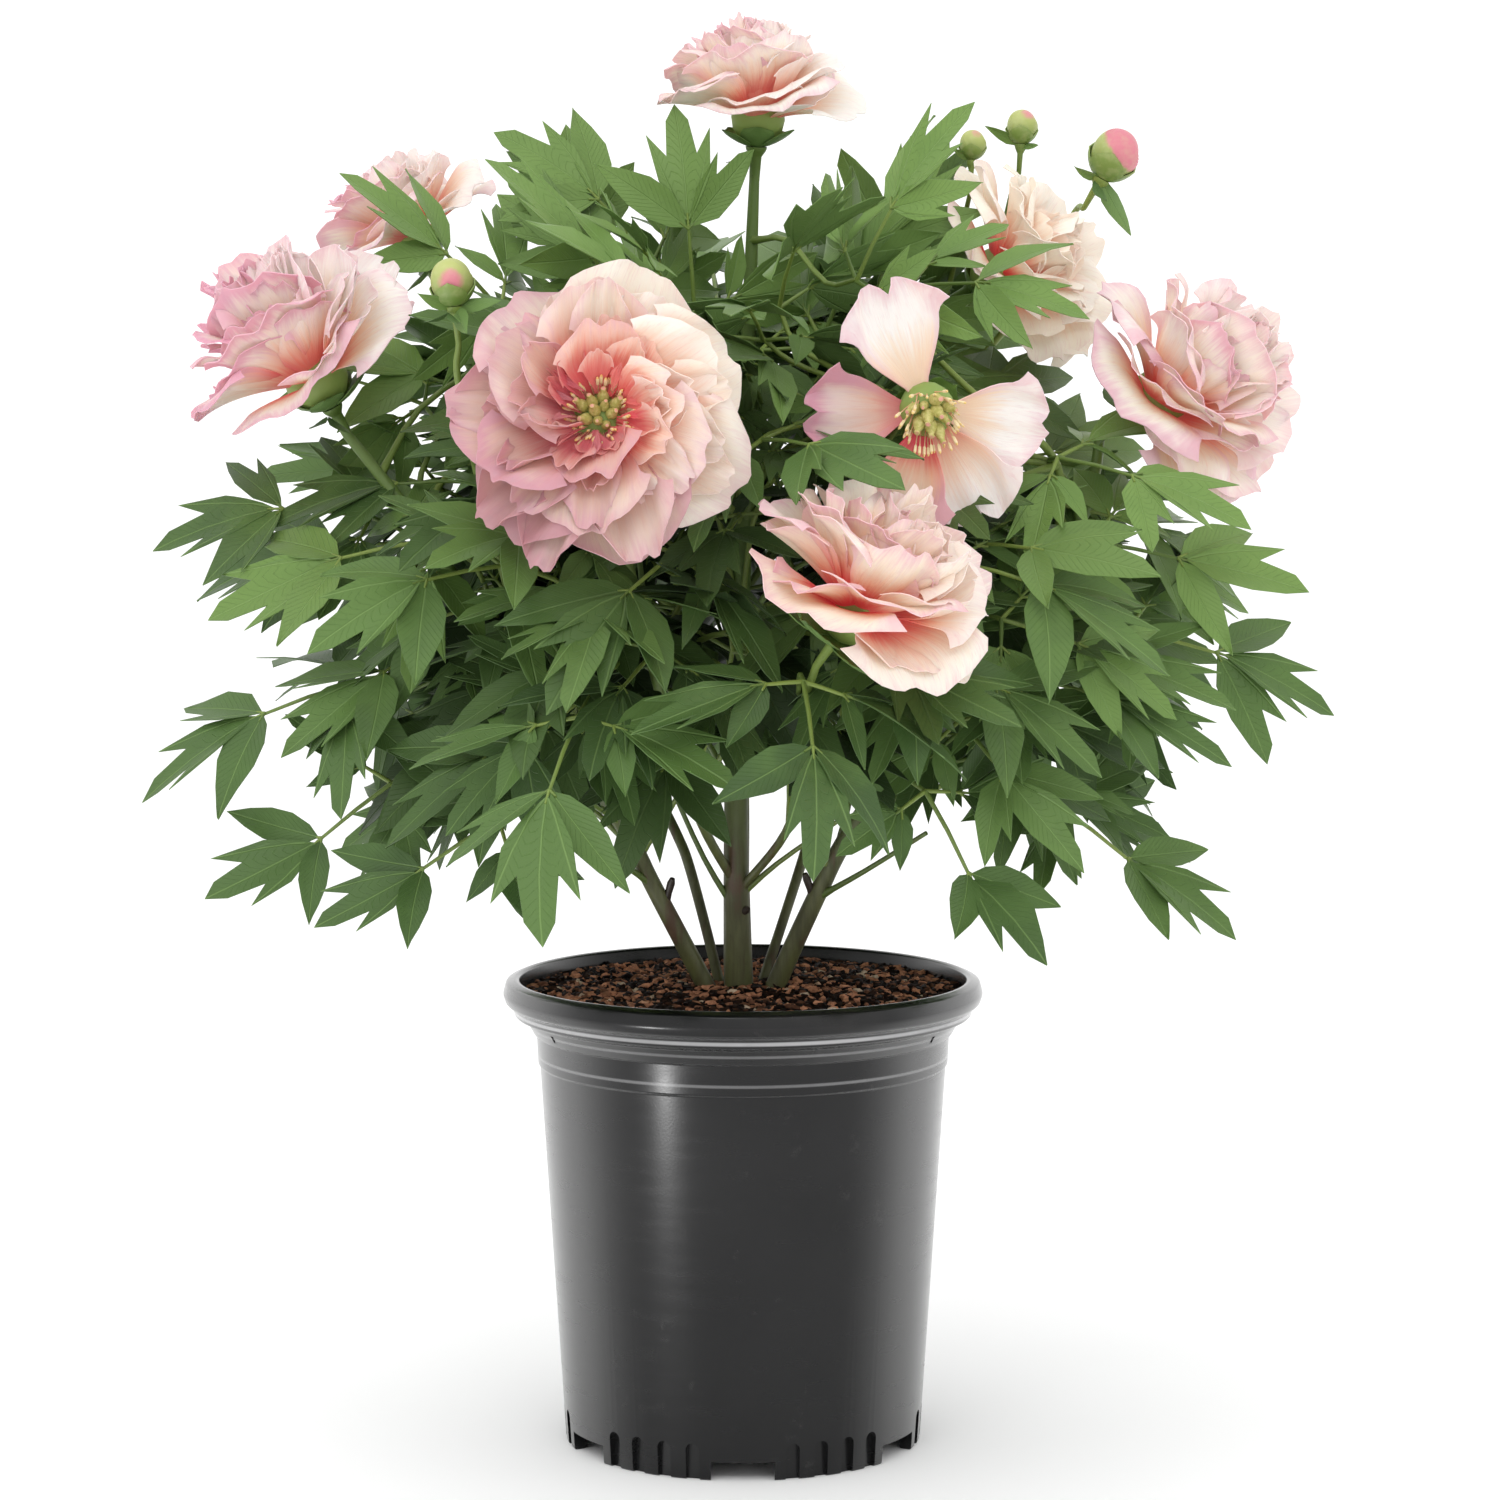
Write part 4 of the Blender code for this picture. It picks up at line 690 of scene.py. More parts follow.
def tube(points, radii, corner_steps):
    """A closed round rod along the points, as mesh data with welded caps."""
    curve = bpy.data.curves.new("rod", "CURVE")
    curve.dimensions = "3D"
    curve.bevel_depth = 1.0
    curve.bevel_resolution = corner_steps
    curve.use_fill_caps = True
    spline = curve.splines.new("POLY")
    spline.points.add(len(points) - 1)
    for corner, place, radius in zip(spline.points, points, radii):
        corner.co = (*place, 1.0)
        corner.radius = radius
    holder = bpy.data.objects.new("rod", curve)
    mesh = bpy.data.meshes.new_from_object(holder)
    bpy.data.objects.remove(holder)
    bpy.data.curves.remove(curve)
    return welded(mesh, WELD)


def welded(mesh, distance):
    """Merges the doubles of a closed mesh and turns its faces outwards."""
    work = bmesh.new()
    work.from_mesh(mesh)
    bmesh.ops.remove_doubles(work, verts=work.verts, dist=distance)
    bmesh.ops.recalc_face_normals(work, faces=work.faces)
    work.to_mesh(mesh)
    work.free()
    return mesh


def tree_of(mesh, origin=Vector()):
    """A search tree over a mesh, for overlap tests, with its places taken from an origin."""
    return BVHTree.FromPolygons([corner.co - origin for corner in mesh.vertices],
                                [face.vertices[:] for face in mesh.polygons])


def side_of(axis):
    """A level unit direction square to an axis."""
    side = axis.cross(UP)
    if side.length < 0.05:
        side = axis.cross(Vector((0, 1, 0)))
    return side.normalized()


def round_about(axis, turn):
    """A direction square to an axis, turned about it, and the one across it."""
    out = (Matrix.Rotation(turn, 3, axis) @ side_of(axis)).normalized()
    return out, axis.cross(out)


def stand(place, axis):
    """The move that takes the origin to a place and up to an axis."""
    return Matrix.Translation(place) @ UP.rotation_difference(axis).to_matrix().to_4x4()


def stray(rng, reach):
    """A random shift of up to a reach on each axis."""
    return Vector([rng.uniform(-1, 1) for _ in range(3)]) * reach


def level(azimuth):
    """The level direction at an azimuth."""
    return Vector((math.cos(azimuth), math.sin(azimuth), 0))


def between(value, places, values):
    """The value at a place, on straight lines between the listed ones."""
    return float(np.interp(value, places, values))


def petal_point(petal, s, t):
    """A point of a petal: s runs from its root to its tip and t from side to side."""
    axis, out, across, length, half_width, lean_start, lean_end, root = petal
    reach = s * (1 - PETAL_ROUNDING * t * t * s)
    lean = lean_start + (lean_end - lean_start) * reach
    bend = lean_end - lean_start
    along = (math.sin(lean) - math.sin(lean_start)) / bend
    away = (math.cos(lean_start) - math.cos(lean)) / bend
    inward = axis * math.sin(lean) - out * math.cos(lean)
    swell = math.sin(math.pi / 2 * min(s / PETAL_WIDEST, 1.0)) ** PETAL_SWELL
    spread = PETAL_ROOT_WIDTH + (1 - PETAL_ROOT_WIDTH) * swell
    if s > PETAL_WIDEST:
        spread -= PETAL_NARROWING * ((s - PETAL_WIDEST) / (1 - PETAL_WIDEST)) ** 2
    sideways = half_width * spread
    point = root + length * (axis * along + out * away) + across * (sideways * t)
    return point + inward * sideways * (PETAL_CUP * t * t + PETAL_TWIST * t)


def petals_of(bloom):
    """The petals of a bloom, ring by ring from the outside."""
    rng = seeded(bloom.name)
    core = bloom.radius * CORE_SHARE
    petals = []
    for tier, ring in enumerate(bloom.rings):
        for index in range(ring.count):
            turn = 2 * math.pi * (index + 0.5 * tier) / ring.count
            turn += rng.uniform(-TURN_STRAY, TURN_STRAY)
            out, across = round_about(bloom.axis, turn)
            lean = math.radians(rng.uniform(-LEAN_STRAY, LEAN_STRAY))
            length = bloom.radius * ring.length * rng.uniform(*LENGTH_STRAY)
            root = bloom.centre + out * (core * ring.seat)
            root += bloom.axis * (core * ROOT_STEP * tier)
            petals.append((bloom.axis, out, across, length, bloom.radius * ring.width / 2,
                           math.radians(ring.lean_start) + lean,
                           math.radians(ring.lean_end) + lean, root))
    return petals


def thicken(work, thickness):
    """Gives an open blade its thickness and returns it as a closed mesh."""
    bmesh.ops.recalc_face_normals(work, faces=work.faces)
    bmesh.ops.solidify(work, geom=work.faces[:], thickness=thickness)
    bmesh.ops.triangulate(work, faces=work.faces)
    bmesh.ops.recalc_face_normals(work, faces=work.faces)
    return mesh_from(work, "blade")


def seat_of(bloom):
    """Where the disc in the heart of an open bloom sits."""
    return bloom.centre + bloom.axis * (bloom.radius * CORE_SHARE + GAP)


def end_of_branch(target):
    """Where a stalk ends under a bloom or bud: its place, its axis and the flare's radius."""
    if target in BLOOMS:
        flower, flare = BLOOMS[target], CUP_RADIUS
        below = flower.radius * CORE_SHARE + GAP
    else:
        flower = BUDS[target]
        flare, below = BUD_CUP_SHARE * flower.radius, flower.radius * BUD_STRETCH + GAP
    return flower.centre - flower.axis * below, flower.axis, flare


def branch_path(branch, first):
    """The path and radii of a branch, with its foot in the soil if it is a stem's first."""
    points, start_radius, end_radius = branch
    places = [point for point in points if not isinstance(point, str)]
    target = points[-1] if isinstance(points[-1], str) else None
    tip = None
    if target:
        end, axis, flare = end_of_branch(target)
        tip = [end - axis * CUP_HEIGHT, end - axis * CUP_RIM, end]
        places = places + [tuple(end - axis * CUP_STALK)]
    if first:
        places = [(*points[0], STEM_BEND)] + places[1:]
    path = smooth_path(places, 2 if first else 1)
    count = len(path)
    radii = [start_radius + (end_radius - start_radius) * k / (count - 1) for k in range(count)]
    if first:
        path = [Vector((*points[0], SOIL_EDGE - STEM_DEPTH))] + path
        radii = [start_radius] + radii
    if tip:
        path += tip
        radii += [end_radius, flare, flare]
    return Branch(path, radii, target is None)


def leaf_basis(leaf):
    """The directions of a leaf: ahead, to its side, and square to its upper face.

    Leaves in the front half of the bush turn their faces to the front, the others to the back.
    """
    ahead = leaf.forward.normalized()
    look = UP + Vector((0, -LOOK_OUT if leaf.hub[1] < MIDDLE_OF_BUSH else LOOK_OUT, 0))
    face = (look - ahead * look.dot(ahead)).normalized()
    face = Matrix.Rotation(leaf.roll, 3, ahead) @ face
    return ahead, face.cross(ahead), face


def leaf_point(leaf, x, y, lift=0.0):
    """A point of a leaf in space: x runs ahead from its hub and y to its side."""
    ahead, side, face = leaf_basis(leaf)
    angle = LEAF_ARCH * x
    out = math.sin(angle) / LEAF_ARCH
    drop = (1 - math.cos(angle)) / LEAF_ARCH + LEAF_DROOP * y * y
    return leaf.hub + ahead * out + side * y + face * (lift - drop)


def leaf_mesh(leaf, thickness):
    """Leaflets in three groups, as one thin arched blade: seven in front, five at the back."""
    groups = GROUPS if leaf.hub[1] < MIDDLE_OF_BUSH else PLAIN_GROUPS
    work = bmesh.new()
    half = TAIL_WIDTH / 2

    def corner(turn, x, y, lift=0.0):
        ahead = x * math.cos(turn) - y * math.sin(turn)
        aside = x * math.sin(turn) + y * math.cos(turn)
        return work.verts.new(leaf_point(leaf, ahead, aside, lift))

    middle = corner(0.0, 0.0, 0.0)
    crotches = [corner((first.turn + second.turn) / 2, HUB_RADIUS, 0.0)
                for first, second in zip(groups, groups[1:])]
    starts = [corner(0.0, -half, -half)] + crotches + [corner(0.0, -half, half)]
    work.faces.new((middle, starts[-1], starts[0]))
    for group, right_start, left_start in zip(groups, starts, starts[1:]):
        tail = group.tail * leaf.scale
        right_knee = corner(group.turn, tail - half, -half)
        left_knee = corner(group.turn, tail - half, half)
        hub = corner(group.turn, tail, 0.0)
        work.faces.new((middle, right_start, left_start))
        work.faces.new((right_start, right_knee, left_knee))
        work.faces.new((right_start, left_knee, left_start))
        work.faces.new((right_knee, hub, left_knee))
        notches = []
        for first, second in zip(group.leaflets, group.leaflets[1:]):
            lean = (first + second) / 2
            reach = NOTCH * LEAFLET_LENGTH * group.scale * leaf.scale
            notches.append(corner(group.turn, tail + reach * math.cos(lean), reach * math.sin(lean)))
        befores = [right_knee] + notches
        afters = notches + [left_knee]
        for lean, before, after in zip(group.leaflets, befores, afters):
            length = LEAFLET_LENGTH * group.scale * leaf.scale * (SIDE_SCALE if lean else 1.0)
            width = length * LEAFLET_HALF_WIDTH
            wide = LEAFLET_WIDEST * length
            places = []
            for along, aside in ((wide, -width), (wide, width), (length, 0.0)):
                x = tail + along * math.cos(lean) - aside * math.sin(lean)
                y = along * math.sin(lean) + aside * math.cos(lean)
                places.append((group.turn, x, y, LEAFLET_FOLD * abs(aside)))
            right, left, tip = (corner(*place) for place in places)
            for face in ((hub, before, right), (hub, left, after), (hub, right, tip),
                         (hub, tip, left)):
                work.faces.new(face)
    return thicken(work, thickness)


def petiole_path(leaf, foot, growth):
    """The stalk of a leaf, from its foot on a branch to the leaf's hub."""
    ahead, way = leaf.forward.normalized(), leaf.hub - foot
    leave = (growth + way.normalized()).normalized()
    first = foot + leave * way.length * PETIOLE_LEAVE
    last = leaf.hub - ahead * way.length * PETIOLE_ARRIVE
    path = []
    for step in range(PETIOLE_STEPS):
        t = step / PETIOLE_STEPS
        path.append(foot * (1 - t) ** 3 + first * 3 * t * (1 - t) ** 2
                    + last * 3 * t * t * (1 - t) + leaf.hub * t ** 3)
    return path + [leaf.hub + ahead * HUB_OVERLAP]


def leaf_targets(rng):
    """The leaves wanted: those that the front view shows, and the rest evenly on a dome."""
    targets = list(NAMED_LEAVES)
    low, high = DOME_HEIGHTS[0], DOME_HEIGHTS[-1]
    for index in range(RULE_LEAVES):
        azimuth = BACK_SPREAD * ((index * GOLDEN_SHARE + 0.5) % 1.0 - 0.5) + math.pi / 2
        height = low + (high - low) * ((index + 0.5) / RULE_LEAVES)
        look = math.radians(between(height, DOME_HEIGHTS, DOME_LOOKS))
        out = level(azimuth)
        targets.append(Leaf(out * between(height, DOME_HEIGHTS, DOME_RADII) + UP * height,
                            out * math.cos(look) + UP * math.sin(look),
                            1 + rng.uniform(-SCALE_STRAY, SCALE_STRAY)))
    return targets


def feet_for(leaf, branches):
    """Places on the branches where the leaf's stalk could start, the likeliest first."""
    shortest, best, longest = STALK_REACH
    choices = []
    for node, paths in branches.items():
        for path in paths:
            last = len(path.points) - 1 - (0 if path.bare_tip else CUP_POINTS)
            for k in range(1, last + 1):
                foot = path.points[k]
                way = leaf.hub - foot
                if foot.z < LOWEST_FOOT or not shortest < way.length < longest:
                    continue
                growth = (path.points[min(k + 1, last)] - path.points[k - 1]).normalized()
                rise = way.normalized().dot(growth)
                cost = abs(way.length - best) + RISE_COST * max(0.0, STALK_RISE - rise)
                choices.append((round(cost, 6), node, foot, growth))
    choices.sort(key=lambda choice: choice[0])
    return choices[:FEET_TRIED]


def blocked(tree, blockers, own_node=None):
    """True if a trial solid meets any solid already placed, its own node's branches apart."""
    return any(tree.overlap(other) for owner, other in blockers
               if owner is None or owner != own_node)


def tried(mesh):
    """The corners and the search tree of a trial mesh, which is removed."""
    corners, tree = [corner.co.copy() for corner in mesh.vertices], tree_of(mesh)
    bpy.data.meshes.remove(mesh)
    return corners, tree


def place_leaf(target, branches, blockers, rng):
    """Finds a clear place for a leaf close to its target, or None."""
    for trial in range(TRIALS):
        nudge, tilt = stray(rng, HUB_STRAY * trial), stray(rng, TILT_STRAY * trial)
        forward = (target.forward.normalized() + tilt).normalized()
        leaf = Leaf(target.hub + nudge, forward, target.scale, rng.uniform(-ROLL_STRAY, ROLL_STRAY))
        corners, tree = tried(leaf_mesh(leaf, CLEARANCE))
        if min(corner.z for corner in corners) < LOWEST_LEAF or blocked(tree, blockers):
            continue
        for _, node, foot, growth in feet_for(leaf, branches):
            path = petiole_path(leaf, foot, growth)
            _, tree = tried(tube(path, [PETIOLE_RADIUS + PETIOLE_CLEARANCE] * len(path), 0))
            if not blocked(tree, blockers, own_node=node):
                return node, leaf, path
    return None


def sepal_meshes(target):
    """The small green bracts under a bloom or bud, each as a closed blade."""
    rng = seeded(target + " sepals")
    end, axis, flare = end_of_branch(target)
    size = SEPAL_LENGTH * flare / CUP_RADIUS
    sepals = []
    for index in range(SEPAL_COUNT):
        turn = 2 * math.pi * (index + rng.uniform(0.0, SEPAL_STRAY)) / SEPAL_COUNT
        out, across = round_about(axis, turn)
        foot = end - axis * SEPAL_DROP + out * (flare / 2)
        tip = foot + (out * math.sin(SEPAL_LEAN) + axis * math.cos(SEPAL_LEAN)) * size
        work = bmesh.new()
        right, left, far_right, far_left = (
            work.verts.new(place + across * (side * half * size))
            for place, half in zip((foot, tip), SEPAL_HALF_WIDTHS) for side in (-1, 1))
        work.faces.new((right, left, far_left))
        work.faces.new((right, far_left, far_right))
        sepals.append(thicken(work, BLADE))
    return sepals


def mesh_from(work, name):
    """Turns a bmesh into mesh data and frees it."""
    mesh = bpy.data.meshes.new(name)
    work.to_mesh(mesh)
    work.free()
    return mesh


class Socket:
    """A value in a node tree, so that sums of values read like arithmetic."""

    def __init__(self, wiring, output):
        self.wiring = wiring
        self.output = output

    def maths(self, operation, *values):
        """A Math node on some values."""
        return self.wiring.node("ShaderNodeMath", {"operation": operation}, dict(enumerate(values)))

    def __add__(self, other):
        return self.maths("ADD", self, other)

    def __sub__(self, other):
        return self.maths("SUBTRACT", self, other)

    def __rsub__(self, other):
        return self.maths("SUBTRACT", other, self)

    def __mul__(self, other):
        return self.maths("MULTIPLY", self, other)

    def __pow__(self, other):
        return self.maths("POWER", self, other)

    def __abs__(self):
        return self.maths("ABSOLUTE", self)

    __radd__ = __add__
    __rmul__ = __mul__


class Wiring:
    """A node tree, and the one method that adds a node, sets it and joins its inputs."""

    def __init__(self, tree):
        self.tree = tree

    def node(self, kind, settings=None, values=None, out=0):
        """Adds a node and returns one of its outputs."""
        added = self.tree.nodes.new(kind)
        for name, value in (settings or {}).items():
            setattr(added, name, value)
        for key, value in (values or {}).items():
            if isinstance(value, Socket):
                self.tree.links.new(value.output, added.inputs[key])
            else:
                added.inputs[key].default_value = value
        return Socket(self, added.outputs[out])


class Finish(Wiring):
    """A procedural material on a Principled shader, and the colour laid on it so far."""

    def __init__(self, name, roughness, constants=None):
        self.material = bpy.data.materials.new(name)
        self.material.use_nodes = True
        super().__init__(self.material.node_tree)
        self.shader = self.tree.nodes["Principled BSDF"]
        for key, value in {"Roughness": roughness, **(constants or {})}.items():
            self.shader.inputs[key].default_value = value
        self.place = self.node("ShaderNodeTexCoord", out=3)
        self.colour = None

    def feed(self, name, value):
        """Joins a value to an input of the shader."""
        self.tree.links.new(value.output, self.shader.inputs[name])

    def fields(self, names):
        """The numbers that the mesh carries at its corners, by their names."""
        return [self.node("ShaderNodeAttribute", {"attribute_name": name}, out=2)
                for name in names.split()]

    def noise(self, scale, detail=3.0, place=None, roughness=0.55):
        """Cloudy values about 0.5."""
        return self.node("ShaderNodeTexNoise", None, {
            "Vector": place or self.place, "Scale": scale, "Detail": detail,
            "Roughness": roughness})

    def stretched(self, x, y, z):
        """The place, scaled by a factor on each axis."""
        return self.node("ShaderNodeMapping", None, {0: self.place, 3: (x, y, z)})

    def step(self, value, low, high, start=0.0, end=1.0):
        """Runs smoothly from start to end as a value goes from low to high."""
        return self.node("ShaderNodeMapRange", {"interpolation_type": "SMOOTHSTEP"},
                         {0: value, 1: low, 2: high, 3: start, 4: end})

    def paint(self, share, colour, over=None):
        """Lays a colour over the one laid on so far, or over another."""
        colours = {6: over or self.colour, 7: colour}
        for key, value in colours.items():
            if not isinstance(value, Socket):
                colours[key] = (*value, 1.0)
        self.colour = self.node("ShaderNodeMix", {"data_type": "RGBA"}, {0: share, **colours}, out=2)

    def bump(self, height, distance, strength):
        """Raises the surface by a height."""
        self.feed("Normal", self.node("ShaderNodeBump", None, {
            "Strength": strength, "Distance": distance, "Height": height}))

    def done(self):
        """Joins the colour to the shader and gives the material."""
        self.feed("Base Color", self.colour)
        return self.material


def petal_finish():
    """Matte petals: coral red at the root, peach to cream in the middle and mauve at the edge, with a
    faint painted glow of their own colour for light through them.
    """
    finish = Finish("petal_peach", 0.60, {
        "Subsurface Weight": 0.30, "Subsurface Radius": (1.0, 0.6, 0.5),
        # Emission Strength is a painted glow, standing in for light shining through the petals
        "Subsurface Scale": 0.004, "Emission Strength": 0.10})
    along, across, blush, cream, pale, span, tint, dusk, green = finish.fields(
        "along across blush cream pale span tint dusk green")
    strands = finish.node("ShaderNodeCombineXYZ", None,
                          {0: across * 6.0, 1: along * 0.8, 2: tint * 40.0})
    fine = finish.noise(8.0, 3.0, strands)
    streak = finish.noise(2.2, 4.0, strands)
    stray, cloudy = streak - 0.5, finish.noise(38.0) - 0.5
    reach = along * span + tint * 0.10 + 0.06
    finish.paint(finish.step(cream + cloudy * 0.8, 0.1, 0.9), (0.830, 0.735, 0.555),
                 over=(0.810, 0.595, 0.430))
    white = finish.step(along + stray * 0.6, 0.20, 0.95) * (0.25 + pale * 0.75)
    finish.paint(white, (0.840, 0.775, 0.730))
    edge = along.maths("MAXIMUM", abs(across) ** 2.0, along ** 3.5)
    edge = finish.step(edge * (0.40 + blush) + stray * 0.8 + cloudy * 0.6, 0.30, 1.12)
    finish.paint(edge * (0.35 + blush * 0.65), (0.640, 0.300, 0.395))
    warm = finish.step(reach + stray * 0.30, 0.80, 0.30) * (0.85 - pale * 0.35)
    finish.paint(warm, (0.820, 0.350, 0.215))
    heart = finish.step(reach + stray * 0.24 + (fine - 0.5) * 0.06, 0.54, 0.24)
    finish.paint(heart * (1.0 - pale * 0.5), (0.720, 0.045, 0.070))
    finish.paint(finish.step(fine, 0.52, 0.72) * 0.24, (0.660, 0.300, 0.360))
    # Painted shade: a darker mauve laid over the petals, most on a bloom's left side
    finish.paint(dusk, (0.400, 0.190, 0.210))
    finish.paint(green, (0.210, 0.300, 0.070))
    # Painted glow: the petals emit their own colour faintly, standing in for light through them
    finish.feed("Emission Color", finish.colour)
    finish.feed("Roughness", finish.step(fine, 0.3, 0.7, 0.52, 0.68))
    finish.bump(fine * 0.6 + streak * 0.4, 0.0005, 0.5)
    return finish.done()


def leaf_finish():
    """Satin leaf green with fine ribs, lighter on young leaves and underneath, with painted shade
    deep in the bush.
    """
    finish = Finish("leaf_green", 0.44, {"Specular IOR Level": 0.25})
    along, rib, tint, under, young, shade = finish.fields("along rib tint under young shade")
    cloud, fleck = finish.noise(38.0), finish.noise(420.0, 2.0)
    finish.paint(tint, (0.092, 0.168, 0.042), over=(0.044, 0.088, 0.024))
    finish.paint(finish.step(young + (cloud - 0.5) * 0.5, 0.2, 1.0), (0.166, 0.276, 0.068))
    finish.paint(finish.step(cloud, 0.35, 0.75) * 0.35, (0.108, 0.198, 0.050))
    slant = along.maths("PINGPONG", (along - rib * 1.5) * 15.0, 0.5)
    side = finish.step(slant, 0.07, 0.0) * finish.step(rib, 0.0, 0.03)
    middle = finish.step(rib, 0.011, 0.002)
    finish.paint(side * 0.14, (0.150, 0.290, 0.080))
    finish.paint(middle * 0.42, (0.220, 0.350, 0.110))
    finish.paint(finish.step(fleck, 0.62, 0.75) * 0.15, (0.040, 0.090, 0.020))
    finish.paint(under * 0.40, (0.130, 0.220, 0.080))
    # Painted shade: leaves deep inside the bush are darkened
    finish.paint(shade * 0.82, (0.012, 0.024, 0.009))
    finish.feed("Roughness", finish.step(cloud, 0.3, 0.7, 0.36, 0.52))
    finish.bump(fleck * 0.15 - side * 0.5 - middle * 1.0, 0.0006, 0.6)
    return finish.done()


def stem_finish():
    """Olive green stalks, streaked with brown-red towards the soil."""
    finish = Finish("stem_green", 0.50)
    woody, tint = finish.fields("woody tint")
    streak = finish.noise(190.0, 4.0, finish.stretched(1.0, 1.0, 0.12))
    cloud, fleck = finish.noise(30.0), finish.noise(700.0, 2.0)
    finish.paint(finish.step(streak, 0.35, 0.7), (0.068, 0.066, 0.026), over=(0.120, 0.125, 0.045))
    olive = finish.colour
    finish.paint(tint, (0.220, 0.300, 0.060), over=(0.110, 0.180, 0.035))
    finish.paint(finish.step(woody, 0.15, 0.8), olive)
    brown = finish.step(streak + (cloud - 0.5) * 0.9 + woody * 0.06, 0.62, 0.80) * 0.7
    finish.paint(brown * finish.step(woody, 0.1, 0.6), (0.110, 0.050, 0.030))
    finish.paint(finish.step(woody, 1.2, 1.4), (0.035, 0.022, 0.015))
    finish.paint(finish.step(fleck, 0.6, 0.75) * 0.3, (0.055, 0.045, 0.022))
    finish.feed("Roughness", finish.step(streak, 0.3, 0.7, 0.42, 0.62))
    finish.bump(streak * 0.7 + fleck * 0.3, 0.0006, 0.6)
    return finish.done()


def pot_finish():
    """Charcoal moulded plastic: a soft sheen, fine grain, faint scuffs, painted highlight lines along
    the lip and collar, and lighter patches on the lip.
    """
    finish = Finish("pot_plastic", 0.30, {
        "Specular IOR Level": 0.35, "Coat IOR": 2.0, "Coat Roughness": 0.20})
    facing = finish.node("ShaderNodeLayerWeight", None, {"Blend": 0.5}, out=1)
    finish.feed("Coat Weight", finish.step(facing, 0.18, 0.50, 0.0, 0.58))
    grain, cloud = finish.noise(900.0, 2.0), finish.noise(14.0, 4.0)
    rings = finish.noise(26.0, 4.0, finish.stretched(1.0, 1.0, 7.0))
    scuff = finish.step(finish.noise(75.0, 5.0, None, 0.7), 0.60, 0.74)
    finish.paint(finish.step(cloud, 0.3, 0.7), (0.006, 0.006, 0.0065), over=(0.0025, 0.0025, 0.003))
    finish.paint(scuff * 0.20, (0.050, 0.049, 0.047))
    height = finish.node("ShaderNodeSeparateXYZ", None, {0: finish.place}, out=2)
    # Painted highlights: pale lines at the heights where the lip's and collar's edges would catch the
    # light
    for place, width, light in POT_HIGHLIGHT_LINES:
        painted_highlight = finish.step(abs(height - place), width, width * 0.3)
        finish.paint(painted_highlight * light * finish.step(cloud, 0.2, 0.6, 0.6, 1.0), (0.400, 0.400, 0.405))
    # Lighter in cloudy patches towards the top of the lip
    lip_patches = finish.step(height, 0.200, 0.219) * finish.step(cloud, 0.45, 0.7)
    finish.paint(lip_patches * 0.12, (0.110, 0.100, 0.090))
    finish.feed("Roughness", finish.step(rings + (scuff - 0.5) * 0.2, 0.25, 0.85, 0.24, 0.32))
    finish.bump(grain * 0.30 + rings * 0.03, 0.0003, 0.20)
    return finish.done()


def soil_finish():
    """Near-black peat between the chips: the peat's own dark tone, darkened further as painted shade
    in the gaps.
    """
    finish = Finish("soil_dark", 0.95, {"Specular IOR Level": 0.05})
    cloud = finish.noise(260.0, 4.0)
    # Painted shade: the soil between the chips is near black, for the deep shadows in the gaps
    finish.paint(finish.step(cloud, 0.35, 0.7), (0.008, 0.004, 0.002), over=(0.001, 0.0007, 0.0005))
    finish.bump(cloud, 0.002, 0.9)
    return finish.done()


def chip_finish():
    """Bark chips from near black to red-brown, with a few pale ones: partly the bark's own tones,
    partly painted shade on the near-black chips and painted light on the red-brown ones.
    """
    finish = Finish("soil_bark", 0.80, {"Specular IOR Level": 0.10})
    tint, = finish.fields("tint")
    fibre = finish.noise(500.0)
    # Partly painted light and shade: many chips near black as if shaded, the rest red-brown as if lit
    finish.paint(finish.step(tint, 0.42, 0.97), (0.680, 0.310, 0.180), over=(0.004, 0.002, 0.0015))
    finish.paint(finish.step(tint, 0.975, 0.985), (0.700, 0.540, 0.400))
    finish.paint(finish.step(fibre, 0.4, 0.7) * 0.50, (0.050, 0.020, 0.011))
    finish.feed("Roughness", finish.step(tint, 0.0, 1.0, 0.60, 0.92))
    finish.bump(fibre, 0.0006, 0.7)
    return finish.done()


def centre_finish():
    """Yellow-green carpels that turn pink at their tips."""
    finish = Finish("centre_green_gold", 0.60)
    along, = finish.fields("along")
    cloud = finish.noise(600.0)
    finish.paint(finish.step(cloud, 0.35, 0.7), (0.640, 0.580, 0.240), over=(0.440, 0.420, 0.110))
    finish.paint(finish.step(along + (cloud - 0.5) * 0.3, 0.80, 1.0), (0.700, 0.300, 0.260))
    finish.bump(cloud, 0.0005, 0.5)
    return finish.done()


def stamen_finish():
    """Cream threads, red at the root, with golden heads."""
    finish = Finish("stamen_cream", 0.65)
    along, = finish.fields("along")
    grain = finish.noise(1200.0, 2.0)
    finish.paint(finish.step(along, 0.0, 0.5), (0.860, 0.700, 0.420), over=(0.640, 0.120, 0.080))
    finish.paint(finish.step(along, 0.70, 0.78), (0.800, 0.560, 0.190))
    finish.paint(finish.step(grain, 0.5, 0.7) * 0.3, (0.900, 0.760, 0.480))
    finish.bump(grain, 0.0003, 0.6)
    return finish.done()


def bud_finish():
    """A yellow-green bud, pink where its petals part."""
    finish = Finish("bud_green_pink", 0.48)
    along, pink = finish.fields("along pink")
    cloud = finish.noise(220.0)
    finish.paint(finish.step(along, 0.1, 0.8), (0.440, 0.480, 0.150), over=(0.150, 0.250, 0.045))
    finish.paint(finish.step(pink + (cloud - 0.5) * 0.35, 0.38, 0.62), (0.640, 0.200, 0.250))
    finish.paint(finish.step(cloud, 0.4, 0.7) * 0.2, (0.560, 0.560, 0.300))
    finish.bump(cloud, 0.0004, 0.4)
    return finish.done()


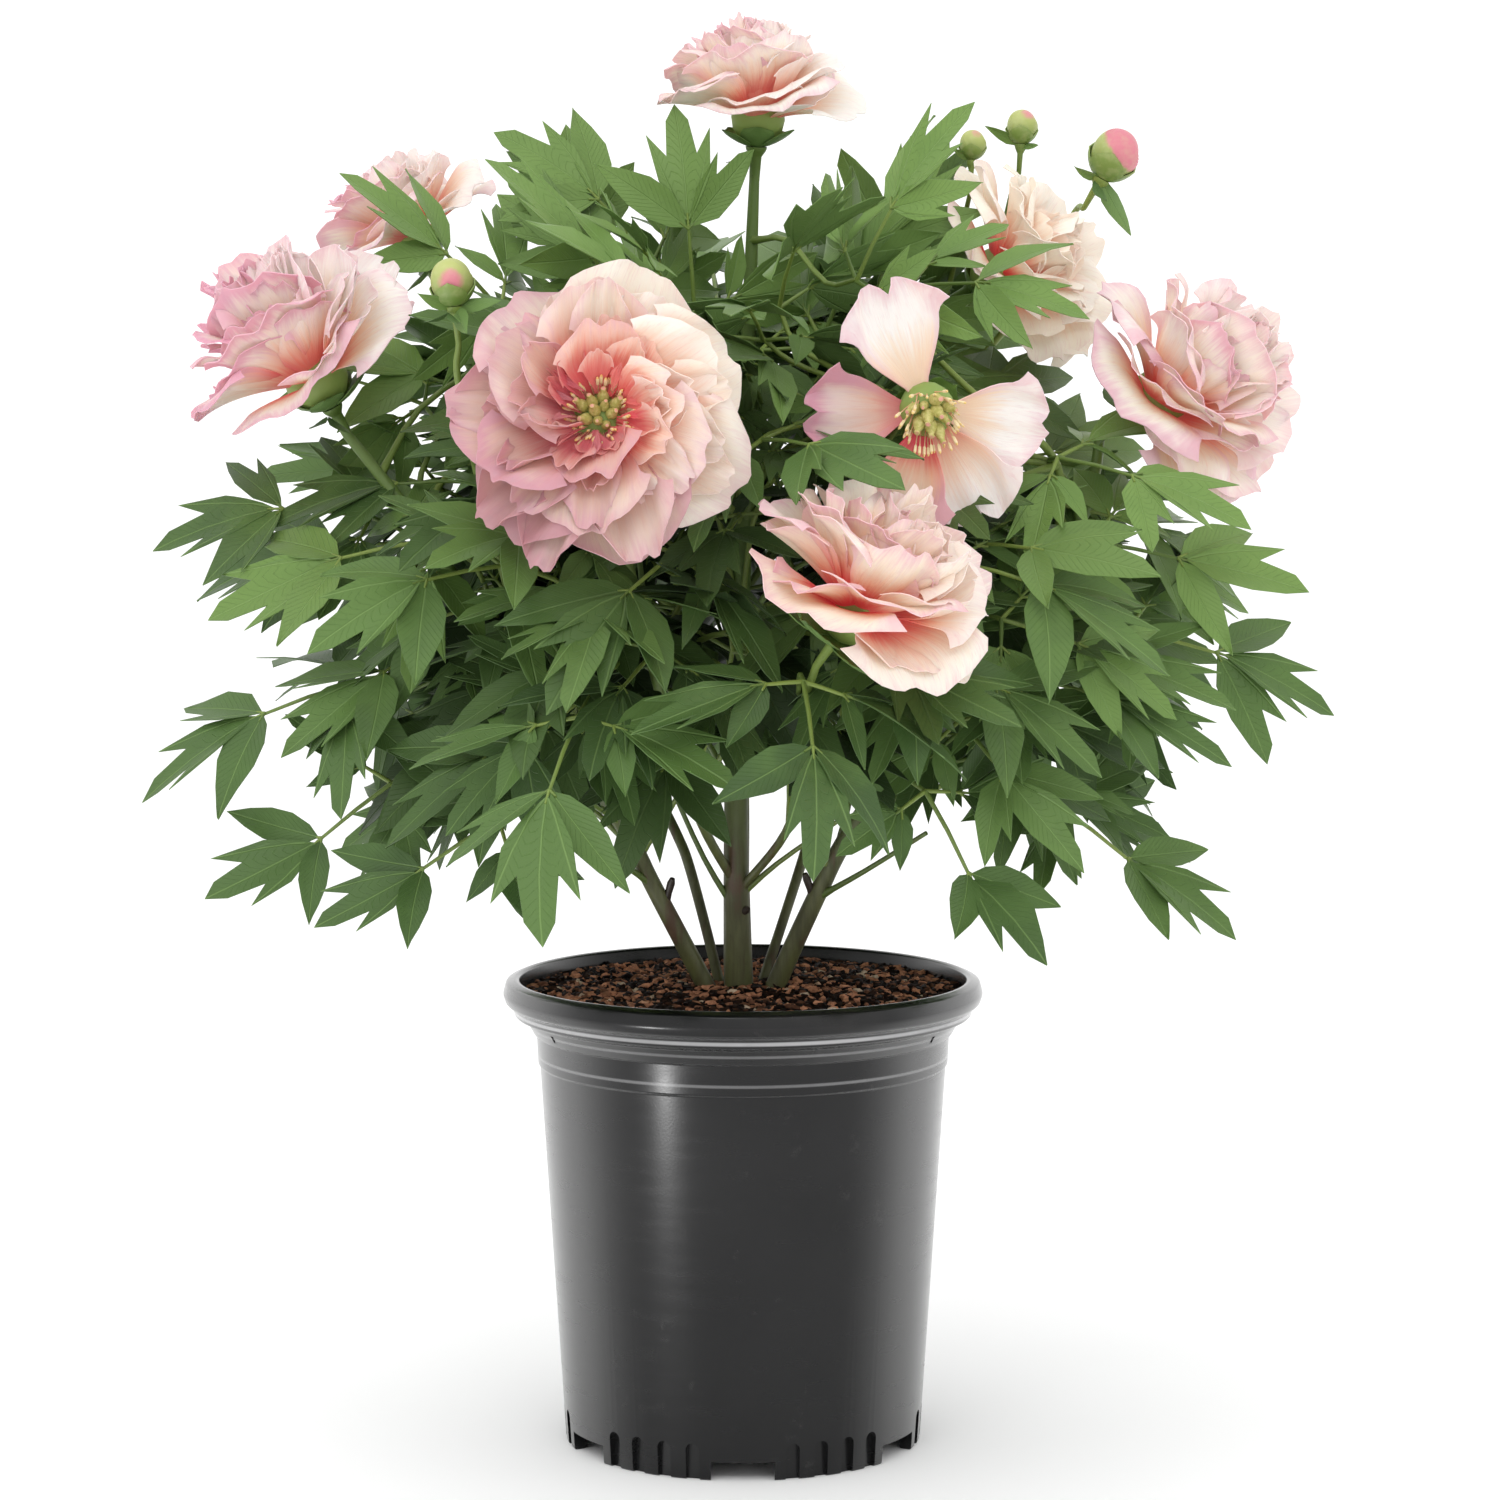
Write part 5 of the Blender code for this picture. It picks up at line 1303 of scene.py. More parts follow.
def floor_finish():
    """A plain pale studio floor."""
    finish = Finish("studio_floor", 0.85)
    finish.paint(finish.noise(3.0, 2.0), (0.995, 0.995, 0.995), over=(0.980, 0.980, 0.980))
    return finish.done()


def pot_axis():
    """Where the pot's axis stands in the frame, at floor level."""
    low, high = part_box("pot")
    return Vector(((low.x + high.x) / 2, (low.y + high.y) / 2, 0.0))


def shown(name, data):
    """A new object in the scene."""
    item = bpy.data.objects.new(name, data)
    bpy.context.scene.collection.objects.link(item)
    return item


def finished(name, mesh, node):
    """Puts a plain mesh in the scene as a piece of the object that rides with a CAD body."""
    mesh.transform(Matrix.Translation(pot_axis()))
    mesh.name = name
    item = shown(name, mesh)
    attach(item, BODY)
    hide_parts(node)


def plain_mesh(name, corners, edges=(), faces=()):
    """A mesh of corners, edges and faces."""
    mesh = bpy.data.meshes.new(name)
    mesh.from_pydata(corners, edges, faces)
    return mesh


def set_fields(mesh, fields):
    """Stores named values at the corners of a mesh: whole numbers, numbers or vectors."""
    for name, values in fields.items():
        values = np.asarray(values)
        whole = values.dtype.kind == "i"
        values = values.astype(np.int32 if whole else np.float32)
        kind, key = ("INT", "value") if whole else ("FLOAT", "value")
        if values.ndim == 2:
            kind, key = "FLOAT_VECTOR", "vector"
        layer = mesh.attributes.new(name, kind, "POINT")
        layer.data.foreach_set(key, values.ravel())


def blade_mesh(name, places, fields, thickness):
    """A thin closed blade over a grid of places, with named values at its corners."""
    rows, columns, _ = places.shape
    normals = np.cross(np.gradient(places, axis=0), np.gradient(places, axis=1))
    lengths = np.linalg.norm(normals, axis=2, keepdims=True)
    normals /= np.maximum(lengths, 1e-12)
    for end, inner in ((0, 1), (rows - 1, rows - 2)):
        if lengths[end].min() < 1e-9:
            mean = normals[inner].mean(axis=0)
            normals[end] = mean / np.linalg.norm(mean)
    half = normals * (thickness / 2)
    corners = np.concatenate([(places + half).reshape(-1, 3), (places - half).reshape(-1, 3)])
    count = rows * columns
    index = np.arange(count).reshape(rows, columns)
    quads = np.stack([index[:-1, :-1], index[1:, :-1], index[1:, 1:], index[:-1, 1:]], axis=-1)
    quads = quads.reshape(-1, 4)
    border = np.concatenate([index[:-1, 0], index[-1, :-1], index[:0:-1, -1], index[0, :0:-1]])
    after = np.roll(border, -1)
    rim = np.stack([after, border, border + count, after + count], axis=-1)
    faces = np.concatenate([quads, quads[:, ::-1] + count, rim])
    mesh = plain_mesh(name, corners.tolist(), faces=faces.tolist())
    set_fields(mesh, {key: np.tile(values.ravel(), 2) for key, values in fields.items()})
    set_fields(mesh, {"under": np.repeat([0.0, 1.0], count)})
    return merged(mesh, MERGE)


def merged(mesh, distance, sharp=SHARP):
    """Welds a closed mesh and smooths its shading, sharp edges apart."""
    welded(mesh, distance)
    mesh.shade_smooth()
    mesh.set_sharp_from_angle(angle=sharp)
    return mesh


def turned_mesh(name, profile, steps, along=True):
    """A closed turned solid on +Z from its half section, from one end of the axis to the other."""
    section = np.array(profile)
    angles = np.linspace(0.0, 2 * math.pi, steps, endpoint=False)
    corners = np.stack([np.outer(section[:, 0], np.cos(angles)),
                        np.outer(section[:, 0], np.sin(angles)),
                        np.repeat(section[:, 1:2], steps, axis=1)], axis=-1).reshape(-1, 3)
    index = np.arange(len(section) * steps).reshape(len(section), steps)
    beside = np.roll(index, -1, axis=1)
    faces = np.stack([index[:-1], beside[:-1], beside[1:], index[1:]], axis=-1).reshape(-1, 4)
    mesh = plain_mesh(name, corners.tolist(), faces=faces.tolist())
    if along:
        set_fields(mesh, {"along": np.repeat(np.linspace(0.0, 1.0, len(section)), steps)})
    return merged(mesh, 1e-7)


def rounded(profile, radius):
    """A half section with its corners rounded, the corners on the axis apart."""
    points = [Vector(point) for point in profile]
    smooth = [points[0]]
    for before, corner, after in zip(points, points[1:], points[2:]):
        back, ahead = before - corner, after - corner
        reach = min(radius, back.length * 0.4, ahead.length * 0.4)
        start = corner + back.normalized() * reach
        end = corner + ahead.normalized() * reach
        for t in (step / CORNER_PARTS for step in range(CORNER_PARTS + 1)):
            smooth.append(start * (1 - t) ** 2 + corner * 2 * t * (1 - t) + end * t * t)
    return [tuple(point) for point in smooth + points[-1:]]


def tree_with(name, *inputs):
    """A Geometry Nodes tree with named inputs, its wiring, its inputs as values and its end."""
    tree = bpy.data.node_groups.new(name, "GeometryNodeTree")
    for label, kind in (("Geometry", "Geometry"), *inputs):
        tree.interface.new_socket(label, in_out="INPUT", socket_type="NodeSocket" + kind)
    tree.interface.new_socket("Geometry", in_out="OUTPUT", socket_type="NodeSocketGeometry")
    wiring = Wiring(tree)
    start = tree.nodes.new("NodeGroupInput")
    values = [Socket(wiring, start.outputs[k]) for k in range(len(inputs) + 1)]
    return wiring, values


def close_tree(wiring, geometry, finish):
    """Ends a tree with Realize Instances and Set Material."""
    real = wiring.node("GeometryNodeRealizeInstances", None, {0: geometry})
    dressed = wiring.node("GeometryNodeSetMaterial", None, {0: real, "Material": finish})
    end = wiring.tree.nodes.new("NodeGroupOutput")
    wiring.tree.links.new(dressed.output, end.inputs[0])
    return wiring.tree


def named_field(wiring, name, kind):
    """A named value that the mesh carries."""
    return wiring.node("GeometryNodeInputNamedAttribute", {"data_type": kind}, {"Name": name})


def on_points(wiring, points, forms, index, turn, size):
    """Instances of a collection's forms on points."""
    pieces = wiring.node("GeometryNodeCollectionInfo", None, {
        "Collection": forms, "Separate Children": True, "Reset Children": True})
    return wiring.node("GeometryNodeInstanceOnPoints", None, {
        "Points": points, "Instance": pieces, "Pick Instance": True, "Instance Index": index,
        "Rotation": wiring.node("FunctionNodeEulerToRotation", None, {0: turn}), "Scale": size})


@lru_cache(maxsize=None)
def forms_tree():
    """Puts a form on each point, chosen, turned and sized by the values that the point carries."""
    wiring, (points, forms, finish) = tree_with(
        "Forms on points", ("Forms", "Collection"), ("Finish", "Material"))
    form, turn, size = (named_field(wiring, name, kind) for name, kind in (
        ("form", "INT"), ("turn", "FLOAT_VECTOR"), ("size", "FLOAT_VECTOR")))
    return close_tree(wiring, on_points(wiring, points, forms, form, turn, size), finish)


@lru_cache(maxsize=None)
def rods_tree():
    """Makes a round rod along each run of edges, as thick as the value at its points."""
    wiring, (paths, sides, finish) = tree_with(
        "Rods along paths", ("Sides", "Int"), ("Finish", "Material"))
    curve = wiring.node("GeometryNodeMeshToCurve", None, {0: paths})
    circle = wiring.node("GeometryNodeCurvePrimitiveCircle", None,
                         {"Resolution": sides, "Radius": 1.0})
    rods = wiring.node("GeometryNodeCurveToMesh", None, {
        "Curve": curve, "Profile Curve": circle,
        "Scale": named_field(wiring, "thick", "FLOAT"), "Fill Caps": True})
    smooth = wiring.node("GeometryNodeSetShadeSmooth", None, {0: rods})
    return close_tree(wiring, smooth, finish)


@lru_cache(maxsize=None)
def chips_tree():
    """Strews forms over a surface, turned and sized at random."""
    wiring, (surface, forms, density, size, seed, finish) = tree_with(
        "Chips over a surface", ("Forms", "Collection"), ("Density", "Float"), ("Size", "Float"),
        ("Seed", "Int"), ("Finish", "Material"))
    points = wiring.node("GeometryNodeDistributePointsOnFaces", None, {
        "Mesh": surface, "Density": density, "Seed": seed})

    def random(kind, low, high, first_key, out, shift):
        return wiring.node("FunctionNodeRandomValue", {"data_type": kind}, {
            first_key: low, first_key + 1: high, "Seed": seed + shift}, out)

    tint = random("FLOAT", 0.0, 1.0, 2, 1, 1)
    tinted = wiring.node("GeometryNodeStoreNamedAttribute", {"data_type": "FLOAT", "domain": "POINT"},
                         {"Geometry": points, "Name": "tint", "Value": tint})
    turn = random("FLOAT_VECTOR", (-CHIP_TILT, -CHIP_TILT, -math.pi),
                  (CHIP_TILT, CHIP_TILT, math.pi), 0, 0, 2)
    scale = random("FLOAT", *CHIP_SIZES, 2, 1, 3) * size
    form = random("INT", 0, CHIP_FORMS - 1, 4, 2, 4)
    return close_tree(wiring, on_points(wiring, tinted, forms, form, turn, scale), finish)


def evaluated(item):
    """The plain mesh that an object's modifiers make; the object is removed."""
    graph = bpy.context.evaluated_depsgraph_get()
    result = bpy.data.meshes.new_from_object(item.evaluated_get(graph))
    bpy.data.objects.remove(item)
    return result


def grown(mesh, tree, settings):
    """The plain mesh that a tree makes of a base mesh, with its inputs set before it is run."""
    item = shown("base", mesh)
    modifier = item.modifiers.new("Grow", "NODES")
    modifier.node_group = tree
    for socket in tree.interface.items_tree:
        if socket.in_out == "INPUT" and socket.name in settings:
            modifier[socket.identifier] = settings[socket.name]
    result = evaluated(item)
    bpy.data.meshes.remove(mesh)
    for name in ("form", "turn", "size", "thick"):
        if name in result.attributes:
            result.attributes.remove(result.attributes[name])
    return result


def form_group(name, meshes):
    """A collection outside the scene that holds the forms in their order."""
    group = bpy.data.collections.new(name)
    for index, mesh in enumerate(meshes):
        group.objects.link(bpy.data.objects.new(f"{name}_{index:03d}", mesh))
    return group


def forms_mesh(placed, group, finish, **fields):
    """One plain mesh of forms at their places."""
    mesh = plain_mesh("points", [item.place for item in placed])
    set_fields(mesh, {"form": [item.form for item in placed],
                      "turn": [item.turn.to_euler()[:] for item in placed],
                      "size": [item.size for item in placed],
                      "tint": [item.tint for item in placed], **fields})
    return grown(mesh, forms_tree(), {"Forms": group, "Finish": finish})


def rods_mesh(rods, sides, finish):
    """One plain mesh of rods along their paths."""
    corners, edges, thick, woody, tint = [], [], [], [], []
    for number, rod in enumerate(rods):
        start = len(corners)
        corners += [tuple(point) for point in rod.points]
        edges += [(start + k, start + k + 1) for k in range(len(rod.points) - 1)]
        thick += rod.radii
        woody += rod.woody
        tint += [(number * GOLDEN_SHARE) % 1.0] * len(rod.points)
    mesh = plain_mesh("paths", corners, edges)
    set_fields(mesh, {"thick": thick, "woody": woody, "tint": tint})
    return grown(mesh, rods_tree(), {"Sides": sides, "Finish": finish})


def joined(meshes):
    """One mesh out of several, with their values and finishes kept."""
    items = [shown("joined", mesh) for mesh in meshes]
    with bpy.context.temp_override(active_object=items[0], selected_editable_objects=items,
                                   selected_objects=items, object=items[0]):
        bpy.ops.object.join()
    mesh = items[0].data
    bpy.data.objects.remove(items[0])
    return mesh


def basis(ahead, side, face=None):
    """The turn whose columns are two directions and a third, which is square to both if not given."""
    return Matrix((ahead, side, face or ahead.cross(side))).transposed()


def swung(turn, **angles):
    """A turn followed by turns about its own axes, one after another."""
    for axis, angle in angles.items():
        turn = turn @ Matrix.Rotation(angle, 3, axis)
    return turn


def leaflet_form(name, rng, right_lobed, left_lobed):
    """A leaflet of unit length along +X that looks up, plain or lobed on each side."""
    sides = []
    for lobed in (right_lobed, left_lobed):
        strips = LOBE_STRIPS if lobed else PLAIN_STRIPS
        sides.append([(lobed, strip, rng.uniform(-STRIP_STRAY, STRIP_STRAY)) for strip in strips])
    columns = [(-1, *column) for column in reversed(sides[0][1:])]
    columns += [(1, *column) for column in sides[1]]
    width = rng.uniform(*LEAFLET_WIDTHS)
    arch, twist = rng.uniform(*LEAFLET_ARCH), rng.uniform(-LEAFLET_TWIST, LEAFLET_TWIST)
    bend, phase = rng.uniform(-LEAFLET_BEND, LEAFLET_BEND), rng.uniform(0.0, PHASE)
    rows = LOBE_ROWS if right_lobed or left_lobed else PLAIN_ROWS
    places = np.zeros((len(rows), len(columns), 3))
    rib = np.zeros(places.shape[:2])
    along = np.zeros(places.shape[:2])
    for column, (side, lobed, strip, stray) in enumerate(columns):
        for row, share in enumerate(rows):
            if lobed:
                reach = float(np.interp(strip, LOBE_STRIPS, LOBE_REACH))
                x = share * (reach + (stray if strip > 0 else 0.0))
                spread = LOBE_SPREAD * x ** LOBE_SHARPNESS
                nearest = min(strip, abs(strip - LOBE_STRIPS[3]))
            else:
                x = share
                spread = 0.0
                if share < 1:
                    spread = PLAIN_WIDTH * math.sin(math.pi * share ** PLAIN_SHARPNESS)
                nearest = strip
            y = side * strip * spread * width
            fold = LEAFLET_FOLD * abs(y)
            wave = LEAFLET_WAVE * strip * strip * math.sin(LEAFLET_WAVES * x + phase + side) * x
            turn = twist * x
            lift = fold - arch * x * x + wave
            places[row, column] = (x, y * math.cos(turn) + bend * x * x,
                                   lift + y * math.sin(turn))
            rib[row, column] = nearest * spread
            along[row, column] = x
    return blade_mesh(name, places, {"rib": rib, "along": along}, LEAFLET_THICKNESS)


@lru_cache(maxsize=None)
def leaflet_forms():
    """The leaflet forms: plain ones, ones lobed on one side, and ones lobed on both."""
    rng = seeded("leaflet forms")
    kinds = [(False, False)] * PLAIN_FORMS
    kinds += [(bool(k % 2), not k % 2) for k in range(HALF_LOBED_FORMS)]
    kinds += [(True, True)] * LOBED_FORMS
    return form_group("leaflet", [leaflet_form(f"leaflet_{k}", rng, *kind)
                                  for k, kind in enumerate(kinds)] + [round_sepal()])


def round_sepal():
    """A round cupped sepal of unit length along +X."""
    shares, across = np.linspace(0.0, 1.0, 6), np.linspace(-1.0, 1.0, 7)
    places = np.zeros((len(shares), len(across), 3))
    for row, s in enumerate(shares):
        half = 0.12 + 0.40 * math.sqrt(max(0.0, 1 - (2 * s - 1.05) ** 2)) if s < 1 else 0.05
        for column, t in enumerate(across):
            places[row, column] = (s - 0.06 * t * t * s, half * t, 0.30 * s * s + 0.22 * half * t * t)
    grid_s, _ = np.meshgrid(shares, across, indexing="ij")
    return blade_mesh("round_sepal", places, {"rib": grid_s * 0 + 0.5, "along": grid_s}, 0.02)


def leaflet_choice(middle, rng):
    """The form of a leaflet: mostly lobed in the middle of a group and plain at its sides."""
    if middle:
        form = PLAIN_FORMS + HALF_LOBED_FORMS + rng.randrange(LOBED_FORMS)
        half_lobed = rng.random() < HALF_LOBED_SHARES[0]
    else:
        half_lobed = rng.random() < HALF_LOBED_SHARES[1]
        form = 0 if half_lobed else rng.randrange(PLAIN_FORMS)
    return PLAIN_FORMS + rng.randrange(HALF_LOBED_FORMS) if half_lobed else form


def leaflets_of(leaf, rng):
    """The leaflets of a leaf at their places, and the ribs that carry them."""
    placed, rods = [], []
    tint = rng.uniform(0.0, 1.0)
    lift, shrink = (LOW_LIFT, LOW_SCALE) if leaf.hub[2] < LOW_LEAF else (0.0, 1.0)
    for group in GROUPS:
        tail = group.tail * leaf.scale
        x, y = tail * math.cos(group.turn), tail * math.sin(group.turn)
        rods.append(Rod([leaf_point(leaf, x * t, y * t, -RIB_SINK) for t in (0.0, 0.5, 1.0)],
                        *GROUP_RIB))
        leans = list(group.leaflets)
        if len(leans) == 2:
            leans.append(-sum(leans))
        for number, lean in enumerate(leans):
            along_x, along_y = math.cos(group.turn + lean), math.sin(group.turn + lean)
            offset = LEAFLET_OFFSETS[bool(lean)]
            foot_x, foot_y = x + offset * along_x, y + offset * along_y
            start = leaf_point(leaf, foot_x, foot_y)
            ahead = leaf_point(leaf, x + FEEL_AHEAD * along_x, y + FEEL_AHEAD * along_y) - start
            ahead.normalize()
            side = leaf_point(leaf, foot_x - FEEL_ASIDE * along_y, foot_y + FEEL_ASIDE * along_x)
            side -= start
            side = (side - ahead * side.dot(ahead)).normalized()
            yaw, pitch, roll = (rng.uniform(*sway) for sway in LEAFLET_SWAY)
            turn = swung(basis(ahead, side), Z=yaw, Y=pitch - lift, X=roll)
            length = LEAFLET_LENGTH * group.scale * leaf.scale * (SIDE_SCALE if lean else 1.0)
            if number == 2 and len(group.leaflets) == 2:
                length *= INNER_LEAFLET
                turn = swung(turn, Y=INNER_PITCH)
            length *= rng.uniform(*LEAFLET_LENGTHS) * shrink
            broad = length * rng.uniform(*LEAFLET_BREADTHS)
            form = leaflet_choice(lean == 0, rng)
            lowest = CAMERA_PLACE[2] - (start.y - CAMERA_PLACE[1]) * LOWEST_SLOPE
            hangs = (lowest - start.z - turn.col[0].z * length) / length
            if hangs > 0:
                turn = swung(turn, Y=-math.asin(min(MOST_HANG, hangs)) * HANG_LIFT)
            own_tint = tint + rng.uniform(-LEAFLET_TINT_STRAY, LEAFLET_TINT_STRAY)
            own_tint = min(1.0, max(0.0, own_tint))
            rods.append(Rod([leaf_point(leaf, x, y), start + ahead * RIB_REACH], *LEAFLET_RIB))
            placed.append(Placed(tuple(start), turn, (length, broad, length), form, own_tint))
    return placed, rods


def fine_branch(branch, first, slim):
    """The path of a branch in fine steps, slimmer near the soil, with a rounded cup at its end."""
    coarse = branch_path(branch, first)
    count = len(coarse.points) - (0 if coarse.bare_tip else CUP_POINTS)
    start, parts, share = STEM_STEPS if first else SIDE_STEPS
    widths = coarse.radii[start:count]
    points = smooth_path(coarse.points[start:count], parts)
    radii = [between(k / parts, range(len(widths)), widths) for k in range(len(points))]
    if first:
        points = coarse.points[:1] + points
        radii = coarse.radii[:1] + radii
    radii = [radius * (1.0 - (1.0 - slim) * woody_share(point - UP * SLIM_DROP)) * share
             for radius, point in zip(radii, points)]
    if coarse.bare_tip:
        return points, radii
    end, thin = coarse.points[-1], radii[-1]
    axis = (end - coarse.points[-3]).normalized()
    for t in (step / CUP_STEPS for step in range(1, CUP_STEPS + 1)):
        points.append(end - axis * (CUP_HEIGHT * (1 - t)))
        radii.append(thin + (coarse.radii[-1] - thin) * math.sin(t * math.pi / 2) ** CUP_SWELL)
    return points, radii


def woody_share(point):
    """How woody a branch is at a point: most at the soil, none in the upper half."""
    return max(0.0, min(1.0, (0.40 - point.z) / 0.19))


def hides_flower(corners):
    """True if a leaf would stand between the camera and a bloom or bud."""
    camera = Vector(CAMERA_PLACE)
    for centre, radius in FLOWER_DISCS:
        depth = (centre - camera).length
        sight = (centre - camera) / depth
        for corner in corners:
            ahead = (corner - camera).dot(sight)
            if ahead < depth + radius * 0.3:
                aside = ((corner - camera) - sight * ahead).length * depth / max(ahead, 0.1)
                if aside < radius:
                    return True
    return False


def more_targets(count, rng):
    """The leaves that fill the bush, evenly on the dome and inside it."""
    targets = []
    low, high = DOME_HEIGHTS[0] - DOME_MARGIN, DOME_HEIGHTS[-1] + DOME_MARGIN
    for index in range(count):
        azimuth = 2 * math.pi * ((index * GOLDEN_SHARE) % 1.0)
        height = low + (high - low) * ((index + 0.5) / count) ** DOME_CROWDING
        radius = between(height, DOME_HEIGHTS, DOME_RADII) * rng.uniform(*OUTER_REACH)
        aim = azimuth + rng.uniform(-OUTER_AIM, OUTER_AIM)
        look = math.radians(between(height, DOME_HEIGHTS, DOME_LOOKS)) + rng.uniform(*OUTER_LOOK)
        targets.append(Leaf(level(azimuth) * radius + UP * height,
                            level(aim) * math.cos(look) + UP * math.sin(look),
                            rng.uniform(*OUTER_SCALES)))
    for index in range(count // INNER_SHARE):
        out = level(2 * math.pi * ((index * GOLDEN_SHARE) % 1.0))
        height = rng.uniform(*INNER_HEIGHTS)
        radius = between(height, DOME_HEIGHTS, DOME_RADII) * rng.uniform(*INNER_REACH)
        forward = (out + UP * rng.uniform(*INNER_LOOK)).normalized()
        targets.append(Leaf(out * radius + UP * height, forward, rng.uniform(*INNER_SCALES)))
    return targets


def fits(corners, low, high):
    """True if a leaf stays in the object's box, off the bare stems and off the flowers."""
    half_width, lowest = BARE_STEMS
    for corner in corners:
        if not all(low[k] <= corner[k] <= high[k] for k in range(3)):
            return False
        if abs(corner.x) < half_width and corner.z < lowest:
            return False
    return not hides_flower(corners)


@lru_cache(maxsize=None)
def plan(more):
    """The plant's plan: leaves and bracts of the frame's stems, and the leaves added to them."""
    flowers = [(None, tree_of(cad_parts[node].data, pot_axis()))
               for node in (*BLOOMS, *CENTRES, *BUDS)]
    branches = {node: [branch_path(spec, index == 0) for index, spec in enumerate(specs)]
                for node, specs in STEMS.items()}
    blockers = flowers + [(node, tree_of(tube(path.points, path.radii, 1)))
                          for node, paths in branches.items() for path in paths]
    bracts = {node: [] for node in STEMS}
    for node, specs in STEMS.items():
        for target in [points[-1] for points, _, _ in specs if points[-1] in WITH_SEPALS]:
            for mesh in sepal_meshes(target):
                tree = tree_of(mesh)
                if not any(tree.overlap(other) for owner, other in blockers if owner is None):
                    bracts[node].append(mesh)
                    blockers.append((None, tree))
    leaves = {node: [] for node in STEMS}
    rng = seeded("leaves")
    for target in leaf_targets(rng):
        found = place_leaf(target, branches, blockers, rng)
        if found is not None:
            node, leaf, path = found
            leaves[node].append((leaf, path))
            for mesh in (tube(path, [PETIOLE_RADIUS] * len(path), 0), leaf_mesh(leaf, BLADE)):
                blockers.append((None, tree_of(mesh)))
    add_leaves(more, branches, flowers, leaves)
    return leaves, bracts


def add_leaves(count, branches, flowers, leaves):
    """Adds leaves that keep clear of the flowers, of each other's hubs and of the box's sides."""
    rng = seeded("more leaves")
    low, high = (corner - pot_axis() for corner in FRAME_BOX)
    hubs = [leaf.hub for found in leaves.values() for leaf, _ in found]
    for target in more_targets(count, rng):
        for trial in range(MORE_TRIALS):
            leaf = target._replace(hub=target.hub + stray(rng, MORE_STRAY * trial),
                                   roll=rng.uniform(-ROLL_STRAY_MORE, ROLL_STRAY_MORE))
            if min((leaf.hub - other).length for other in hubs) < HUB_SPACING:
                continue
            corners, tree = tried(leaf_mesh(leaf, CLEARANCE))
            if not fits(corners, low, high) or blocked(tree, flowers):
                continue
            paths = [(node, petiole_path(leaf, foot, growth))
                     for _, node, foot, growth in feet_for(leaf, branches)[:MORE_FEET]]
            clear = [(node, path) for node, path in paths if not hides_flower(path)]
            if clear:
                node, path = clear[0]
                leaves[node].append((leaf, path))
                hubs.append(leaf.hub)
                break


def fine_stalk(path):
    """A leaf's stalk as a rod that swells at its foot."""
    points = smooth_path(path, 3)
    radii = [between(k / (len(points) - 1), STALK_SHARES, STALK_RADII) for k in range(len(points))]
    return Rod(points, radii, [0.5 * woody_share(point) for point in points])


def stub(foot, direction, length):
    """A short dark stub where a shoot was cut off."""
    points = [foot + direction * (length * t) for t in STUB_SHARES]
    return Rod(points, STUB_RADII, [STUB_WOODY] * len(points))


def make_stems(settings):
    """The branches, leaf stalks and leaves of every leafy stem."""
    leaf_green, stem_green = leaf_finish(), stem_finish()
    leaves, bracts = plan(settings.more_leaves)
    for node, specs in STEMS.items():
        rng = seeded(node + " leaflets")
        thick_rods = []
        for index, spec in enumerate(specs):
            points, radii = fine_branch(spec, index == 0, SLIM[node][min(index, 1)])
            thick_rods.append(Rod(points, radii, [woody_share(point) for point in points]))
        thick_rods += [stub(Vector(foot), Vector(direction).normalized(), length)
                       for owner, foot, direction, length in STUBS if owner == node]
        thin_rods = [fine_stalk([Vector(point) for point in path])
                     for owner, *path in SHOOTS if owner == node]
        placed, young, shade = [], [], []
        for leaf, path in leaves[node]:
            found, ribs = leaflets_of(leaf, rng)
            placed += found
            thin_rods += [fine_stalk(path), *ribs]
            young += [youth_of(leaf, rng)] * len(found)
            shade += [shade_of(leaf)] * len(found)
        extra = []
        for target in [points[-1] for points, _, _ in specs]:
            if target in BLOOMS:
                extra += [(SEPAL_YOUTH, sepal) for sepal in round_sepals(target, rng)]
            extra += [(BUD_BRACT_YOUTH, bract) for bract in bud_bracts(target)]
        extra += [(BRACT_YOUTH, bract_at([corner.co for corner in mesh.vertices], rng))
                  for mesh in bracts[node]]
        young += [youth for youth, _ in extra]
        shade += [0.0] * len(extra)
        stems = joined([rods_mesh(thick_rods, BRANCH_SIDES, stem_green),
                        rods_mesh(thin_rods, STALK_SIDES, stem_green)])
        finished(node + "_stalks", stems, node)
        mesh = forms_mesh(placed + [form for _, form in extra], leaflet_forms(), leaf_green,
                          young=young, shade=shade)
        finished(node + "_leaves", mesh, node)


def youth_of(leaf, rng):
    """How young and light a leaf looks, from none to one, lighter also to the sides and to the right.
    """
    x, y, z = leaf.hub
    youth = (z - YOUTH_HEIGHT) / YOUTH_SPAN - y * YOUTH_FRONT + rng.uniform(-YOUTH_STRAY, YOUTH_STRAY)
    # Lighter to both sides and more to the right
    youth += abs(x) * LIGHTER_SIDES + max(0.0, x) * LIGHTER_RIGHT
    return min(1.0, max(0.0, youth))


def shade_of(leaf):
    """How much painted shade a leaf gets: none at the surface of the bush, most near its middle and
    low down.
    """
    x, y, z = leaf.hub
    share = math.hypot(x, y) / between(z, DOME_HEIGHTS, DOME_RADII)
    return between(z, SHADE_HEIGHTS, (1.0, 0.15)) * between(share, SHADE_SHARES, (1.0, 0.0))


